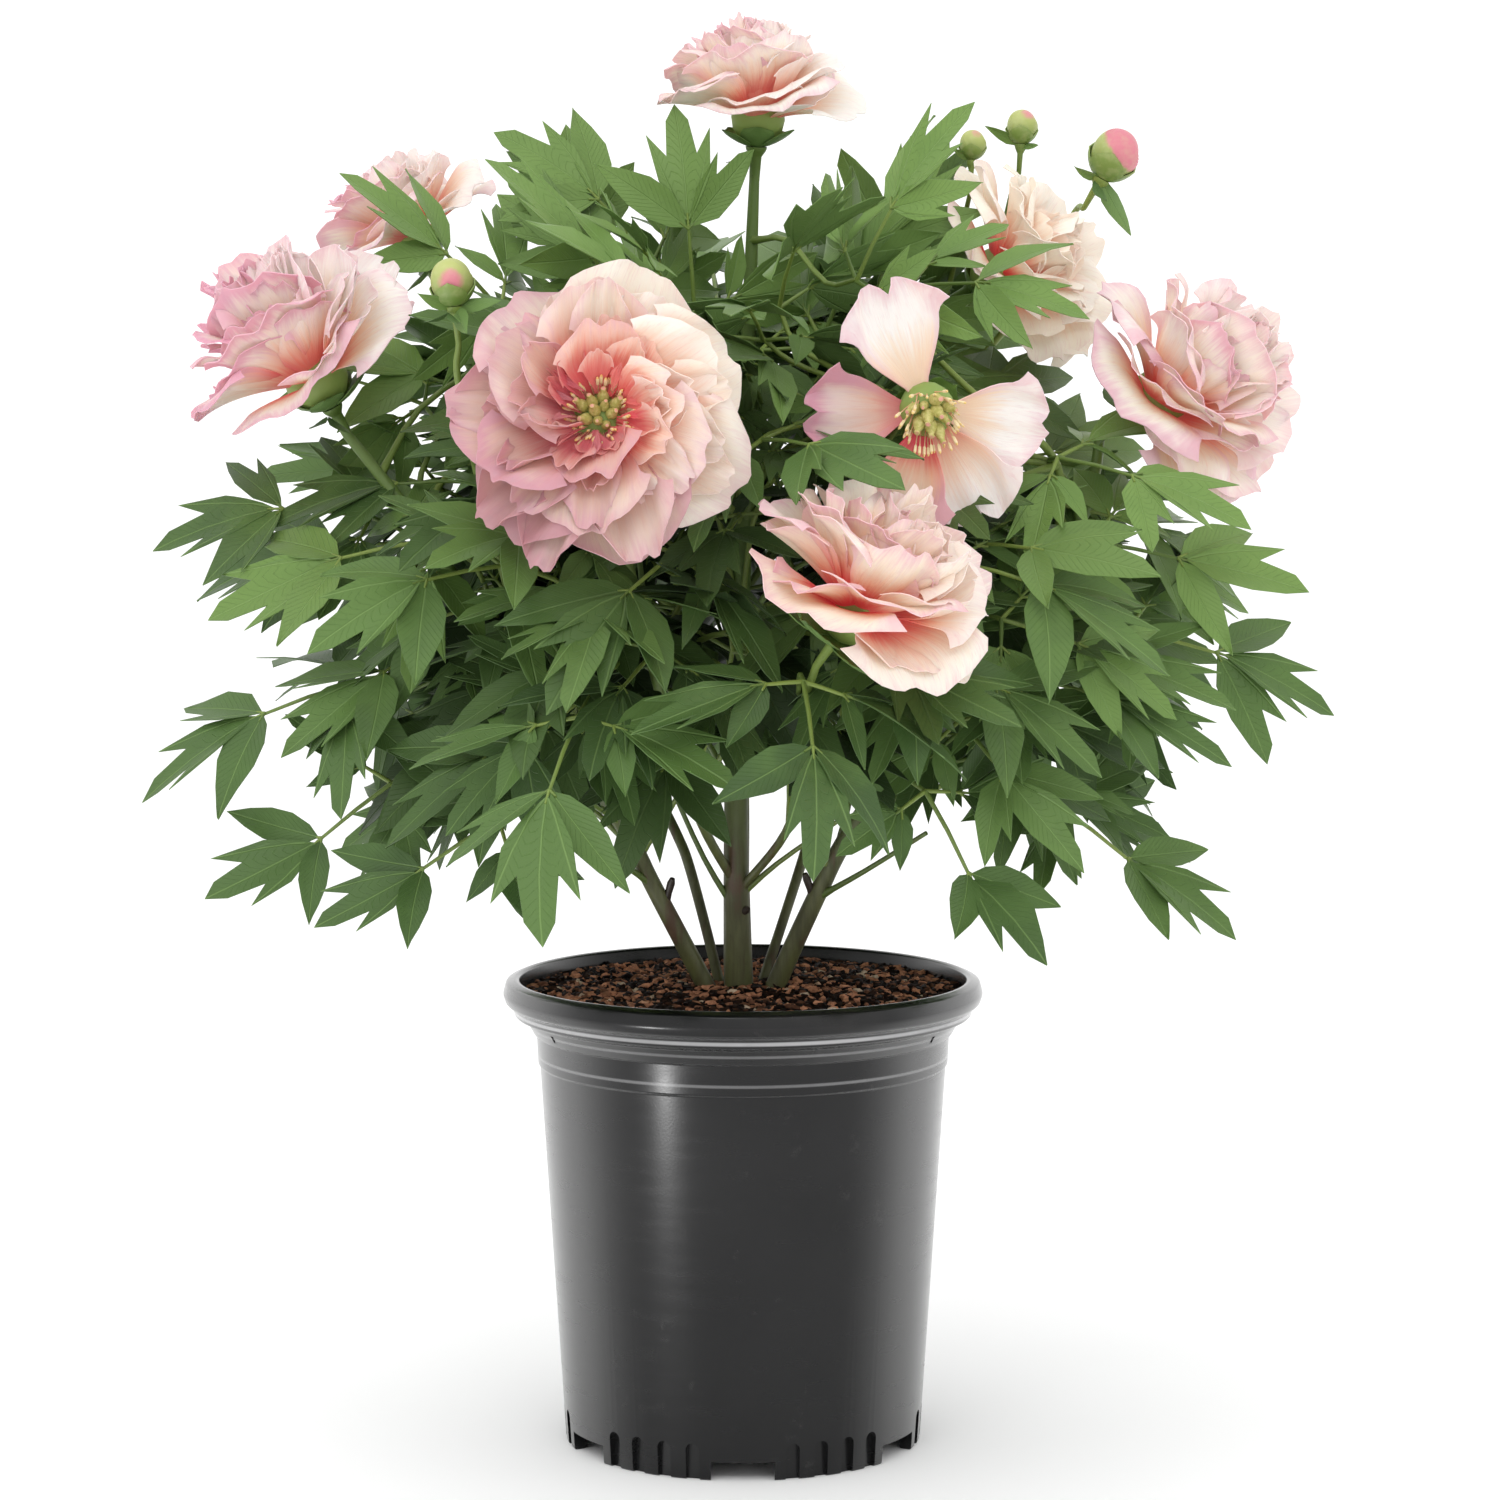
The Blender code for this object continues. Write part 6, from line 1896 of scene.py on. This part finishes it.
def bud_bracts(target):
    """The leafy bracts that stand off under a bud."""
    placed = []
    for number, (direction, length) in enumerate(BUD_BRACTS.get(target, ())):
        end, axis, _ = end_of_branch(target)
        ahead = Vector(direction).normalized()
        turn = swung(basis(ahead, ahead.cross(axis).normalized()), X=BUD_BRACT_ROLL)
        placed.append(Placed(tuple(end), turn, (length,) * 3, number % PLAIN_FORMS, BUD_BRACT_TINT))
    return placed


def round_sepals(target, rng):
    """The round sepals that cup a bloom from below, larger and flatter where they show most."""
    end, axis, flare = end_of_branch(target)
    flatter, larger = ROUND_SHOWN.get(target, (0.0, 1.0))
    placed = []
    for index in range(ROUND_SEPALS):
        turn = index + rng.uniform(-ROUND_TURN_STRAY, ROUND_TURN_STRAY)
        turn = 2 * math.pi * turn / ROUND_SEPALS
        out, across = round_about(axis, turn)
        lean = rng.uniform(*ROUND_LEANS) + flatter
        ahead = out * math.sin(lean) + axis * math.cos(lean)
        size = BLOOMS[target].radius * rng.uniform(*ROUND_SIZES) * larger
        placed.append(Placed(tuple(end + out * (flare * ROUND_SEAT)), basis(ahead, across),
                             (size,) * 3, ROUND_FORM, ROUND_TINT))
    return placed


def bract_at(corners, rng):
    """A narrow bract in the place of one of the frame's sepals."""
    middle = sum(corners, Vector()) / len(corners)
    far = max(corners, key=lambda corner: (corner - middle).length)
    near = max(corners, key=lambda corner: (corner - far).length)
    if far.z > near.z:
        far, near = near, far
    way = far - near
    ahead = way.normalized()
    return Placed(tuple(near), basis(ahead, ahead.cross(UP).normalized()),
                  tuple(way.length * share for share in BRACT_SHAPE), rng.randrange(PLAIN_FORMS),
                  BRACT_TINT)


def petal_form(name, ring, rng, rows, columns):
    """A petal of unit length: its root at the origin, +X outwards, +Y across, +Z along the axis."""
    start, end = math.radians(ring.lean_start), math.radians(ring.lean_end)
    petal = (UP, Vector((1, 0, 0)), Vector((0, 1, 0)), 1.0, ring.width / ring.length / 2,
             start, end, Vector((0, 0, 0)))
    across = np.sin(np.linspace(-COLUMN_CROWDING, COLUMN_CROWDING, columns))
    across /= math.sin(COLUMN_CROWDING)
    shares = np.linspace(0.0, 1.0, rows) ** ROW_CROWDING
    crown, spent = ring.lean_start < CROWN_LEAN, ring in SPENT_RINGS
    notch = rng.uniform(*(SPENT_NOTCH if spent else NOTCH_DEPTH))
    teeth = rng.uniform(*(CROWN_TOOTH if crown else TOOTH_DEPTH))
    count, phase = rng.uniform(*TOOTH_COUNT), rng.uniform(0.0, PHASE)
    middle = rng.uniform(-NOTCH_PLACE, NOTCH_PLACE)
    wave, waves = rng.uniform(*WAVE_HEIGHT), rng.uniform(*WAVE_COUNT)
    curl, corners = rng.uniform(*CURL), PETAL_CORNERS
    if spent:
        curl, corners = rng.uniform(*SPENT_CURL), PETAL_CORNERS * SPENT_CORNERS
    places = np.zeros((rows, columns, 3))
    for row, share in enumerate(shares):
        for column, t in enumerate(across):
            reach = 1.0 - corners * (1.0 - math.sqrt(max(0.0, 1.0 - t ** 4)))
            reach -= notch * math.exp(-((t - middle) / NOTCH_WIDTH) ** 2)
            reach -= teeth * (0.5 - 0.5 * math.cos(count * t * math.pi + phase))
            s = share * (1.0 + (reach - 1.0) * share ** 2)
            places[row, column] = petal_point(petal, s, t)
        tip = max(0.0, (share - PETAL_WIDEST) / (1.0 - PETAL_WIDEST))
        places[row, :, 1] *= 1.0 + TIP_WIDENING * tip ** 2
    normals = np.cross(np.gradient(places, axis=0), np.gradient(places, axis=1))
    normals /= np.maximum(np.linalg.norm(normals, axis=2, keepdims=True), 1e-12)
    grid_s, grid_t = np.meshgrid(shares, across, indexing="ij")
    lift = wave * np.sin(waves * math.pi * grid_t + phase) * grid_s ** 2
    ripple = np.sin(RIPPLES_ACROSS * grid_t * math.pi + RIPPLES_ALONG * grid_s + phase)
    lift += RIPPLE_SHARE * wave * ripple * grid_s ** 5
    lift -= curl * grid_s ** 5
    places += normals * lift[:, :, None]
    return blade_mesh(name, places, {"along": grid_s, "across": grid_t}, PETAL_THICKNESS)


def make_blooms(settings):
    """The petals of every bloom."""
    finish = petal_finish()
    rng = seeded("petal forms")
    forms, first_form = [], {}
    for rings in {bloom.rings: None for bloom in BLOOMS.values()}:
        for ring in rings + MORE_RINGS[rings]:
            if ring not in first_form:
                first_form[ring] = len(forms)
                forms += [petal_form(f"petal_{len(forms) + k}", ring, rng, settings.rows,
                                     settings.columns) for k in range(PETAL_FORMS)]
    ball = [(math.sin(a), -math.cos(a)) for a in np.linspace(0.0, math.pi, BALL_STEPS)]
    section = [(0.0, -1.0), *ball[1:-1], (0.0, 1.0)]
    forms.append(turned_mesh("receptacle", section, BALL_SIDES, along=False))
    group = form_group("petal", forms)
    for bloom in BLOOMS.values():
        rng = seeded(bloom.name + " looks")
        placed = []
        more = bloom._replace(name=bloom.name + " more", rings=MORE_RINGS[bloom.rings])
        for source in (bloom, more):
            rings = [ring for ring in source.rings for _ in range(ring.count)]
            placed += [petal_at(petal, ring, bloom, first_form[ring], rng, source is more)
                       for petal, ring in zip(petals_of(source), rings)]
        across = side_of(bloom.axis)
        turn = basis(bloom.axis.cross(across), across, bloom.axis)
        placed.append(Placed(bloom.centre, turn, (bloom.radius * CORE_SHARE,) * 3,
                             len(forms) - 1, 0.5))
        blush, cream, pale, dusk = BLOOM_TINTS[bloom.name]
        looks = SPENT_LOOKS if bloom.rings is SPENT_RINGS else (PLAIN_LOOK,)
        looks = [looks[index % len(looks)] for index in range(len(placed))]
        placed = [respun(petal, bloom, look[0], look[1]) for petal, look in zip(placed, looks)]
        right = [petal.turn.col[0].x + 0.5 * petal.turn.col[0].z for petal in placed]
        mesh = forms_mesh(
            placed, group, finish,
            # Side shares tint the petals and paint shade on the left and light on the right
            blush=[blush - SIDE_TINT_AND_LIGHT * share + rng.uniform(-BLUSH_STRAY, BLUSH_STRAY) + look[2]
                   for share, look in zip(right, looks)],
            cream=[cream + rng.uniform(-CREAM_STRAY, CREAM_STRAY) for _ in placed],
            pale=[pale + SIDE_TINT_AND_LIGHT * share + rng.uniform(-PALE_STRAY, PALE_STRAY) + look[3]
                  for share, look in zip(right, looks)],
            span=[petal.size[0] / bloom.radius * HEART_SPREAD.get(bloom.name, 1.0)
                  for petal in placed],
            # Painted shade, strongest on the bloom's left side
            dusk=[dusk * (1.0 - share) * rng.uniform(*PETAL_SHADE_SHARES) + look[4]
                  for share, look in zip(right, looks)],
            green=[0.0] * (len(placed) - 1) + [1.0])
        finished(bloom.name + "_petals", mesh, bloom.name)


def respun(petal, bloom, degrees, size):
    """A petal turned about its bloom's axis and resized."""
    spin = Matrix.Rotation(math.radians(degrees), 3, bloom.axis)
    return petal._replace(place=bloom.centre + spin @ (Vector(petal.place) - bloom.centre),
                          turn=spin @ petal.turn, size=tuple(size * side for side in petal.size))


def petal_at(petal, ring, bloom, form, rng, added):
    """Where one petal's form goes, an added one freer in its lean, turn and size."""
    axis, out, across, length, _, lean, _, root = petal
    turn = swung(basis(out, across, axis), Y=lean - math.radians(ring.lean_start))
    broad = bloom.radius * ring.length * BROAD.get(bloom.rings, 1.0)
    if added:
        free = PETAL_FREEDOM * (1.4 - ring.length)
        turn = Matrix.Rotation(rng.uniform(-free, free), 3, axis) @ turn
        turn = swung(turn, Y=rng.uniform(-free, free) * 0.6, X=rng.uniform(-free, free) * 0.8)
        length *= rng.uniform(*ADDED_LENGTHS)
        broad *= rng.uniform(*ADDED_WIDTHS)
    return Placed(tuple(root), turn, (length, broad, length), form + rng.randrange(PETAL_FORMS),
                  rng.random())


def make_centres(settings):
    """The carpels and stamens in the open hearts."""
    carpel_finish, thread_finish = centre_finish(), stamen_finish()
    carpels = form_group("carpel", [turned_mesh("carpel", CARPEL_SECTION, CARPEL_SIDES)])
    stamens = form_group("stamen", [turned_mesh("stamen", STAMEN_SECTION, STAMEN_SIDES)])
    for node, bloom_name in CENTRES.items():
        bloom = BLOOMS[bloom_name]
        rng = seeded(node + " looks")
        seat, axis = seat_of(bloom), bloom.axis
        lean, droop, share = SPENT_HEART if bloom.rings is SPENT_RINGS else OPEN_HEART
        hearts = []
        sink, deeper = CARPEL_SINK
        for index in range(settings.carpels):
            far = math.sqrt((index + 0.4) / settings.carpels)
            hearts.append(ray_placed(
                seat - axis * (sink + deeper * far), axis, index, CARPEL_REACH * far,
                lean * far * rng.uniform(*CARPEL_LEANS), CARPEL_HEIGHT * rng.uniform(*CARPEL_SIZES),
                rng, droop / 2))
        (least, span), (least_lean, more_lean) = STAMEN_REACH, STAMEN_LEAN
        threads = [ray_placed(seat - axis * STAMEN_SINK, axis, index, least + span * rng.random(),
                              least_lean + more_lean * rng.random(),
                              STAMEN_HEIGHT * rng.uniform(*STAMEN_SIZES), rng, droop)
                   for index in range(settings.stamens // share)]
        meshes = [forms_mesh(hearts, carpels, carpel_finish),
                  forms_mesh(threads, stamens, thread_finish)]
        finished(node + "_heart", joined(meshes), node)


def ray_placed(seat, axis, index, reach, lean, size, rng, droop):
    """A form that stands on a ring about an axis, leans outwards and hangs over."""
    out, _ = round_about(axis, 2 * math.pi * (index * GOLDEN_SHARE))
    direction = (axis + out * lean - UP * droop).normalized()
    spin = swung(UP.rotation_difference(direction).to_matrix(), Z=rng.uniform(0, PHASE))
    return Placed(tuple(seat + out * reach), spin, (size, size, size), 0, rng.random())


def make_buds(settings):
    """The buds: outer petals that wrap a ball in folds, and the round bracts that clasp it."""
    finish = bud_finish()
    for name, bud in BUDS.items():
        radius = bud.radius
        tilts = np.linspace(-math.pi / 2, math.pi / 2, settings.steps // 2 + 1)
        section = [(radius * math.cos(a), radius * BUD_STRETCH * math.sin(a)) for a in tilts]
        section[0] = (0.0, section[0][1])
        section[-1] = (0.0, section[-1][1])
        mesh = turned_mesh("bud", section, settings.steps)
        spin = stand(Vector(), bud.axis).to_3x3()
        patch, share = BUD_PATCHES[name]
        patch = Vector(patch).normalized()
        pink = []
        for corner in mesh.vertices:
            angle = math.atan2(corner.co.y, corner.co.x)
            height = corner.co.z / (radius * BUD_STRETCH)
            wrap = (BUD_FOLDS * (angle + height) / (2 * math.pi)) % 1.0
            corner.co.xy *= 1 + BUD_FOLD * (1.6 * wrap ** 3 - 0.5)
            facing = (spin @ corner.co.normalized()).dot(patch)
            seam = 0.45 * max(0.0, 1.0 - abs(wrap - 0.06) * 8.0) * max(0.0, height)
            pink.append(max(seam, 0.5 + (facing - 1.0 + share) * 1.2))
        set_fields(mesh, {"pink": pink})
        mesh.transform(stand(bud.centre, bud.axis))
        parts = [mesh, *(clasp_mesh(bud, turn, spin) for turn in CLASP_TURNS)]
        for part in parts:
            part.materials.append(finish)
        finished(name + "_petals", joined(parts), name)


def clasp_mesh(bud, turn, spin):
    """A pointed green bract that lies close round the lower half of a bud."""
    rows, columns = 8, 7
    shares = np.linspace(0.0, 1.0, rows)
    places = np.zeros((rows, columns, 3))
    for row, share in enumerate(shares):
        tilt = math.radians(-84 + 86 * share)
        half = CLASP_WIDTH * math.sin(math.pi * (0.12 + 0.88 * share)) ** 0.8 if share < 1 else 0.0
        off = bud.radius * (1.05 + 0.10 * share ** 3)
        for column, t in enumerate(np.linspace(-1.0, 1.0, columns)):
            point = level(turn + half * t) * math.cos(tilt) + UP * (math.sin(tilt) * BUD_STRETCH)
            places[row, column] = bud.centre + spin @ (point * off)
    along = np.repeat(shares[:, None] * 0.35, columns, axis=1)
    return blade_mesh("clasp", places, {"along": along, "pink": along * 0}, bud.radius * 0.06)


def make_pot(settings):
    """The nursery pot with its rolled lip, stepped collar, fluted feet, gaps and slots."""
    inside = ((0.0, FLOOR_TOP), (POT_BASE_RADIUS - FLOOR_INSET, FLOOR_TOP),
              (BODY_TOP_RADIUS - WALL, BODY_TOP), (COLLAR_INSIDE, COLLAR_TOP), LIP_INSIDE)
    wall = ((BODY_TOP_RADIUS, BODY_TOP), FOOT_TOP, (POT_BASE_RADIUS, 0.0))
    below = ((FOOT_INNER_RADIUS, 0.0), (FOOT_INNER_RADIUS, FLOOR_BOTTOM), (0.0, FLOOR_BOTTOM))
    section = rounded(inside + LIP + COLLAR + wall + below, CORNER_RADIUS)
    item = shown("pot_wall", turned_mesh("pot_wall", section[::-1], settings.steps, along=False))
    cutter = shown("pot_cutter", pot_cutter(settings.arch_steps))
    cut = item.modifiers.new("Feet and slots", "BOOLEAN")
    cut.operation = "DIFFERENCE"
    cut.object = cutter
    cut.solver = "EXACT"
    mesh = merged(evaluated(item), MERGE, POT_SHARP)
    bpy.data.objects.remove(cutter)
    mesh.materials.clear()
    mesh.materials.append(pot_finish())
    finished("pot_shell", mesh, "pot")


def outline_of(half_width, low, high):
    """The outline of an upright block."""
    return [(-half_width, low), (half_width, low), (half_width, high), (-half_width, high)]


def pot_cutter(arch_steps):
    """The blocks that cut the arched flutes, the gaps between the feet and the slots."""
    half = FLUTE_WIDTH / 2
    flute = [(-half, -GAP_HEIGHT), (half, -GAP_HEIGHT)]
    for angle in (math.pi * k / arch_steps for k in range(arch_steps + 1)):
        flute.append((half * math.cos(angle), FLUTE_HEIGHT - half + half * math.sin(angle)))
    gap = outline_of(POT_BASE_RADIUS * math.sin(GAP_HALF_ANGLE), -GAP_HEIGHT, GAP_HEIGHT)
    foot_middle = (POT_BASE_RADIUS + FOOT_INNER_RADIUS) / 2
    blocks = []
    for index in range(GAP_COUNT):
        turn = 2 * math.pi * index / GAP_COUNT
        blocks.append((gap, turn, foot_middle, FOOT_DEPTH / 2))
        blocks += [(flute, turn + math.pi / GAP_COUNT + angle, POT_BASE_RADIUS + FLUTE_DEPTH,
                    2 * FLUTE_DEPTH) for angle in FLUTE_ANGLES]
    width, depth, height = SLOT_SIZE
    slot = outline_of(width / 2, SLOT_HEIGHT - height / 2, SLOT_HEIGHT + height / 2)
    blocks += [(slot, angle, SLOT_RADIUS, depth / 2) for angle in SLOT_ANGLES]
    work = bmesh.new()
    for shape, turn, radius, depth in blocks:
        spin = Matrix.Rotation(turn, 3, "Z")
        near, far = [[work.verts.new(spin @ Vector((x, -radius + y, z))) for x, z in shape]
                     for y in (-depth, depth)]
        work.faces.new(near)
        work.faces.new(far[::-1])
        for k in range(len(shape)):
            after = (k + 1) % len(shape)
            work.faces.new((near[k], far[k], far[after], near[after]))
    bmesh.ops.recalc_face_normals(work, faces=work.faces)
    return mesh_from(work, "pot_cutter")


def soil_surface(rings, steps):
    """The lumpy top of the soil, closed by a floor under it."""
    edge_share = (SOIL_EDGE - COLLAR_TOP) / (LIP_INSIDE[1] - COLLAR_TOP)
    edge = COLLAR_INSIDE + edge_share * (LIP_INSIDE[0] - COLLAR_INSIDE) - GAP
    top = [(edge * k / rings, SOIL_EDGE + SOIL_HEAP + SOIL_MOUND * (1 - k / rings))
           for k in range(rings + 1)]
    side = [(COLLAR_INSIDE - GAP, COLLAR_TOP), (BODY_TOP_RADIUS - WALL - GAP, BODY_TOP),
            (0.0, BODY_TOP)]
    mesh = turned_mesh("soil", (top + side)[::-1], steps, along=False)
    rng = seeded("soil looks")
    shift = Vector((rng.random(), rng.random(), 0)) * 10
    for corner in mesh.vertices:
        if corner.co.z > SOIL_EDGE + SOIL_HEAP - WELD and corner.co.xy.length < edge - WELD:
            spot = corner.co * 60 + shift
            corner.co.z += SOIL_LUMP * (math.sin(spot.x * 1.7) * math.cos(spot.y * 1.3)
                                        + 0.5 * math.sin(spot.x * 4.1 + spot.y * 3.3))
    return mesh


def make_soil(settings):
    """The soil's dark body, and the bark chips strewn over it."""
    body = soil_surface(10, 96)
    surface = body.copy()
    work = bmesh.new()
    work.from_mesh(surface)
    sunk = [face for face in work.faces
            if face.normal.z < 0.5 or face.calc_center_median().z < SOIL_EDGE + SOIL_HEAP - 0.0015]
    bmesh.ops.delete(work, geom=sunk, context="FACES")
    work.to_mesh(surface)
    work.free()
    rng = seeded("chips")
    chips = []
    for number in range(CHIP_FORMS):
        work = bmesh.new()
        bmesh.ops.create_icosphere(work, subdivisions=1, radius=0.5)
        stretch = (rng.uniform(1.0, 1.5), rng.uniform(0.5, 0.8), rng.uniform(0.35, 0.6))
        for corner in work.verts:
            corner.co = Vector([corner.co[k] * stretch[k] * rng.uniform(0.75, 1.15)
                                for k in range(3)])
        chips.append(mesh_from(work, f"chip_{number}"))
    body.materials.append(soil_finish())
    mesh = grown(surface, chips_tree(), {
        "Forms": form_group("chip", chips), "Density": settings.density,
        "Size": settings.chip_size, "Seed": CHIP_SEED, "Finish": chip_finish()})
    finished("soil_body", body, "soil")
    finished("soil_chips", mesh, "soil")


def area_light(name, place, target, size, energy):
    """A soft light that looks at a target: its size is its width and height."""
    light = bpy.data.lights.new(name, "AREA")
    light.shape = "RECTANGLE"
    light.size, light.size_y = size
    light.energy = energy
    item = shown(name, light)
    item.visible_camera = False
    item.location = place
    item.rotation_mode = "QUATERNION"
    item.rotation_quaternion = (Vector(target) - Vector(place)).to_track_quat("-Z", "Y")
    return item


def make_stage(settings):
    """The pale floor, the soft lights and the camera at the photograph's place."""
    corners = [(x * FLOOR_REACH, y * FLOOR_REACH, 0) for x, y in ((-1, -1), (1, -1), (1, 1), (-1, 1))]
    floor = plain_mesh("studio_floor", corners, faces=[(0, 1, 2, 3)])
    floor.materials.append(floor_finish())
    shown("studio_floor", floor)
    world = bpy.data.worlds.new("studio")
    world.use_nodes = True
    background = world.node_tree.nodes["Background"].inputs
    background["Color"].default_value = (1, 1, 1, 1)
    background["Strength"].default_value = settings.surround
    scene = bpy.context.scene
    scene.world = world
    for name, light in LIGHTS.items():
        item = area_light(name, *light, getattr(settings, name))
        item.visible_diffuse = name != "strip"
    camera = bpy.data.cameras.new("camera")
    camera.lens = CAMERA_LENS
    camera.sensor_width = SENSOR_WIDTH
    scene.camera = shown("camera", camera)
    scene.camera.location = pot_axis() + Vector(CAMERA_PLACE)
    scene.camera.rotation_euler = (math.radians(90 - CAMERA_PITCH), 0, 0)
    scene.view_settings.view_transform = "Standard"


def whole(name, description, default, low, high):
    """A whole number that a user may change."""
    return bpy.props.IntProperty(
        name=name, description=description, default=default, min=low, max=high)


def number(name, description, default, low=0.0, unit="NONE"):
    """A number that a user may change."""
    return bpy.props.FloatProperty(
        name=name, description=description, default=default, min=low, unit=unit)


class PeonyLeafSettings(bpy.types.PropertyGroup):
    """What a user may change on the leaves."""

    more_leaves: whole("Leaves added", "Leaves wanted beyond those of the frame", 200, 0, 300)


class PeonyBloomSettings(bpy.types.PropertyGroup):
    """What a user may change on the blooms."""

    rows: whole("Petal rows", "Points from a petal's root to its tip", 11, 4, 30)
    columns: whole("Petal columns", "Points from side to side of a petal", 19, 3, 31)
    carpels: whole("Carpels", "Green carpels in an open heart", 10, 9, 16)
    stamens: whole("Stamens", "Stamens about an open heart", 84, 30, 200)


class PeonyBudSettings(bpy.types.PropertyGroup):
    """What a user may change on the buds."""

    steps: whole("Steps", "Points round a bud", 60, 12, 120)


class PeonyPotSettings(bpy.types.PropertyGroup):
    """What a user may change on the pot."""

    steps: whole("Steps", "Points round the pot", 144, 24, 256)
    arch_steps: whole("Arch steps", "Steps in the round top of a flute", 10, 2, 24)


class PeonySoilSettings(bpy.types.PropertyGroup):
    """What a user may change on the soil."""

    density: number("Chips", "Chips on each square metre", 98000.0, 1000.0)
    chip_size: number("Chip size", "Length of a middling chip", 0.0052, 0.0005, "LENGTH")


class PeonyStageSettings(bpy.types.PropertyGroup):
    """What a user may change on the stage."""

    surround: number("Surround", "Strength of the white surround", 1.19)
    key: number("Key light", "Power of the soft light at the upper left", 6.0, unit="POWER")
    strip: number("Strip light", "Power of the narrow light that the pot mirrors", 1.0,
                  unit="POWER")
    bar: number("Bar light", "Power of the long light over the camera", 7.5, unit="POWER")


class PeonySettings(bpy.types.PropertyGroup):
    """The settings of the whole object."""

    leaves: bpy.props.PointerProperty(type=PeonyLeafSettings)
    blooms: bpy.props.PointerProperty(type=PeonyBloomSettings)
    buds: bpy.props.PointerProperty(type=PeonyBudSettings)
    pot: bpy.props.PointerProperty(type=PeonyPotSettings)
    soil: bpy.props.PointerProperty(type=PeonySoilSettings)
    stage: bpy.props.PointerProperty(type=PeonyStageSettings)


class PEONY_OT_pot(bpy.types.Operator):
    """Build the nursery pot"""

    bl_idname = "peony.pot"
    bl_label = "Pot"

    def execute(self, context):
        make_pot(context.scene.peony.pot)
        return {"FINISHED"}


class PEONY_OT_soil(bpy.types.Operator):
    """Build the soil and its bark chips"""

    bl_idname = "peony.soil"
    bl_label = "Soil"

    def execute(self, context):
        make_soil(context.scene.peony.soil)
        return {"FINISHED"}


class PEONY_OT_stems(bpy.types.Operator):
    """Build the stems with their leaves"""

    bl_idname = "peony.stems"
    bl_label = "Leafy stems"

    def execute(self, context):
        make_stems(context.scene.peony.leaves)
        return {"FINISHED"}


class PEONY_OT_blooms(bpy.types.Operator):
    """Build the petals of every bloom"""

    bl_idname = "peony.blooms"
    bl_label = "Blooms"

    def execute(self, context):
        make_blooms(context.scene.peony.blooms)
        return {"FINISHED"}


class PEONY_OT_centres(bpy.types.Operator):
    """Build the carpels and stamens of the open blooms"""

    bl_idname = "peony.centres"
    bl_label = "Flower centres"

    def execute(self, context):
        make_centres(context.scene.peony.blooms)
        return {"FINISHED"}


class PEONY_OT_buds(bpy.types.Operator):
    """Build the buds"""

    bl_idname = "peony.buds"
    bl_label = "Buds"

    def execute(self, context):
        make_buds(context.scene.peony.buds)
        return {"FINISHED"}


class PEONY_OT_stage(bpy.types.Operator):
    """Build the floor, the lights and the camera"""

    bl_idname = "peony.stage"
    bl_label = "Stage"

    def execute(self, context):
        make_stage(context.scene.peony.stage)
        return {"FINISHED"}


OPERATORS = (PEONY_OT_pot, PEONY_OT_soil, PEONY_OT_stems, PEONY_OT_blooms, PEONY_OT_centres,
             PEONY_OT_buds, PEONY_OT_stage)


class PEONY_PT_panel(bpy.types.Panel):
    """The list of the pieces and their settings"""

    bl_label = "Potted peony"
    bl_idname = "PEONY_PT_panel"
    bl_space_type = "VIEW_3D"
    bl_region_type = "UI"
    bl_category = "Peony"

    def draw(self, context):
        for operator in OPERATORS:
            self.layout.operator(operator.bl_idname)
        for group in ("leaves", "blooms", "buds", "pot", "soil", "stage"):
            settings = getattr(context.scene.peony, group)
            for name in settings.bl_rna.properties.keys():
                if name not in ("rna_type", "name"):
                    self.layout.prop(settings, name)


CLASSES = (PeonyLeafSettings, PeonyBloomSettings, PeonyBudSettings, PeonyPotSettings,
           PeonySoilSettings, PeonyStageSettings, PeonySettings, *OPERATORS, PEONY_PT_panel)


def register():
    """Registers the classes and hangs the settings on the scene."""
    for item in CLASSES:
        bpy.utils.register_class(item)
    bpy.types.Scene.peony = bpy.props.PointerProperty(type=PeonySettings)


def unregister():
    """Takes the settings and classes away again."""
    del bpy.types.Scene.peony
    for item in reversed(CLASSES):
        bpy.utils.unregister_class(item)


def main():
    """Builds every piece in order."""
    register()
    for operator in (bpy.ops.peony.stage, bpy.ops.peony.pot, bpy.ops.peony.soil,
                     bpy.ops.peony.stems, bpy.ops.peony.blooms, bpy.ops.peony.centres,
                     bpy.ops.peony.buds):
        operator()


if __name__ == "__main__":
    main()
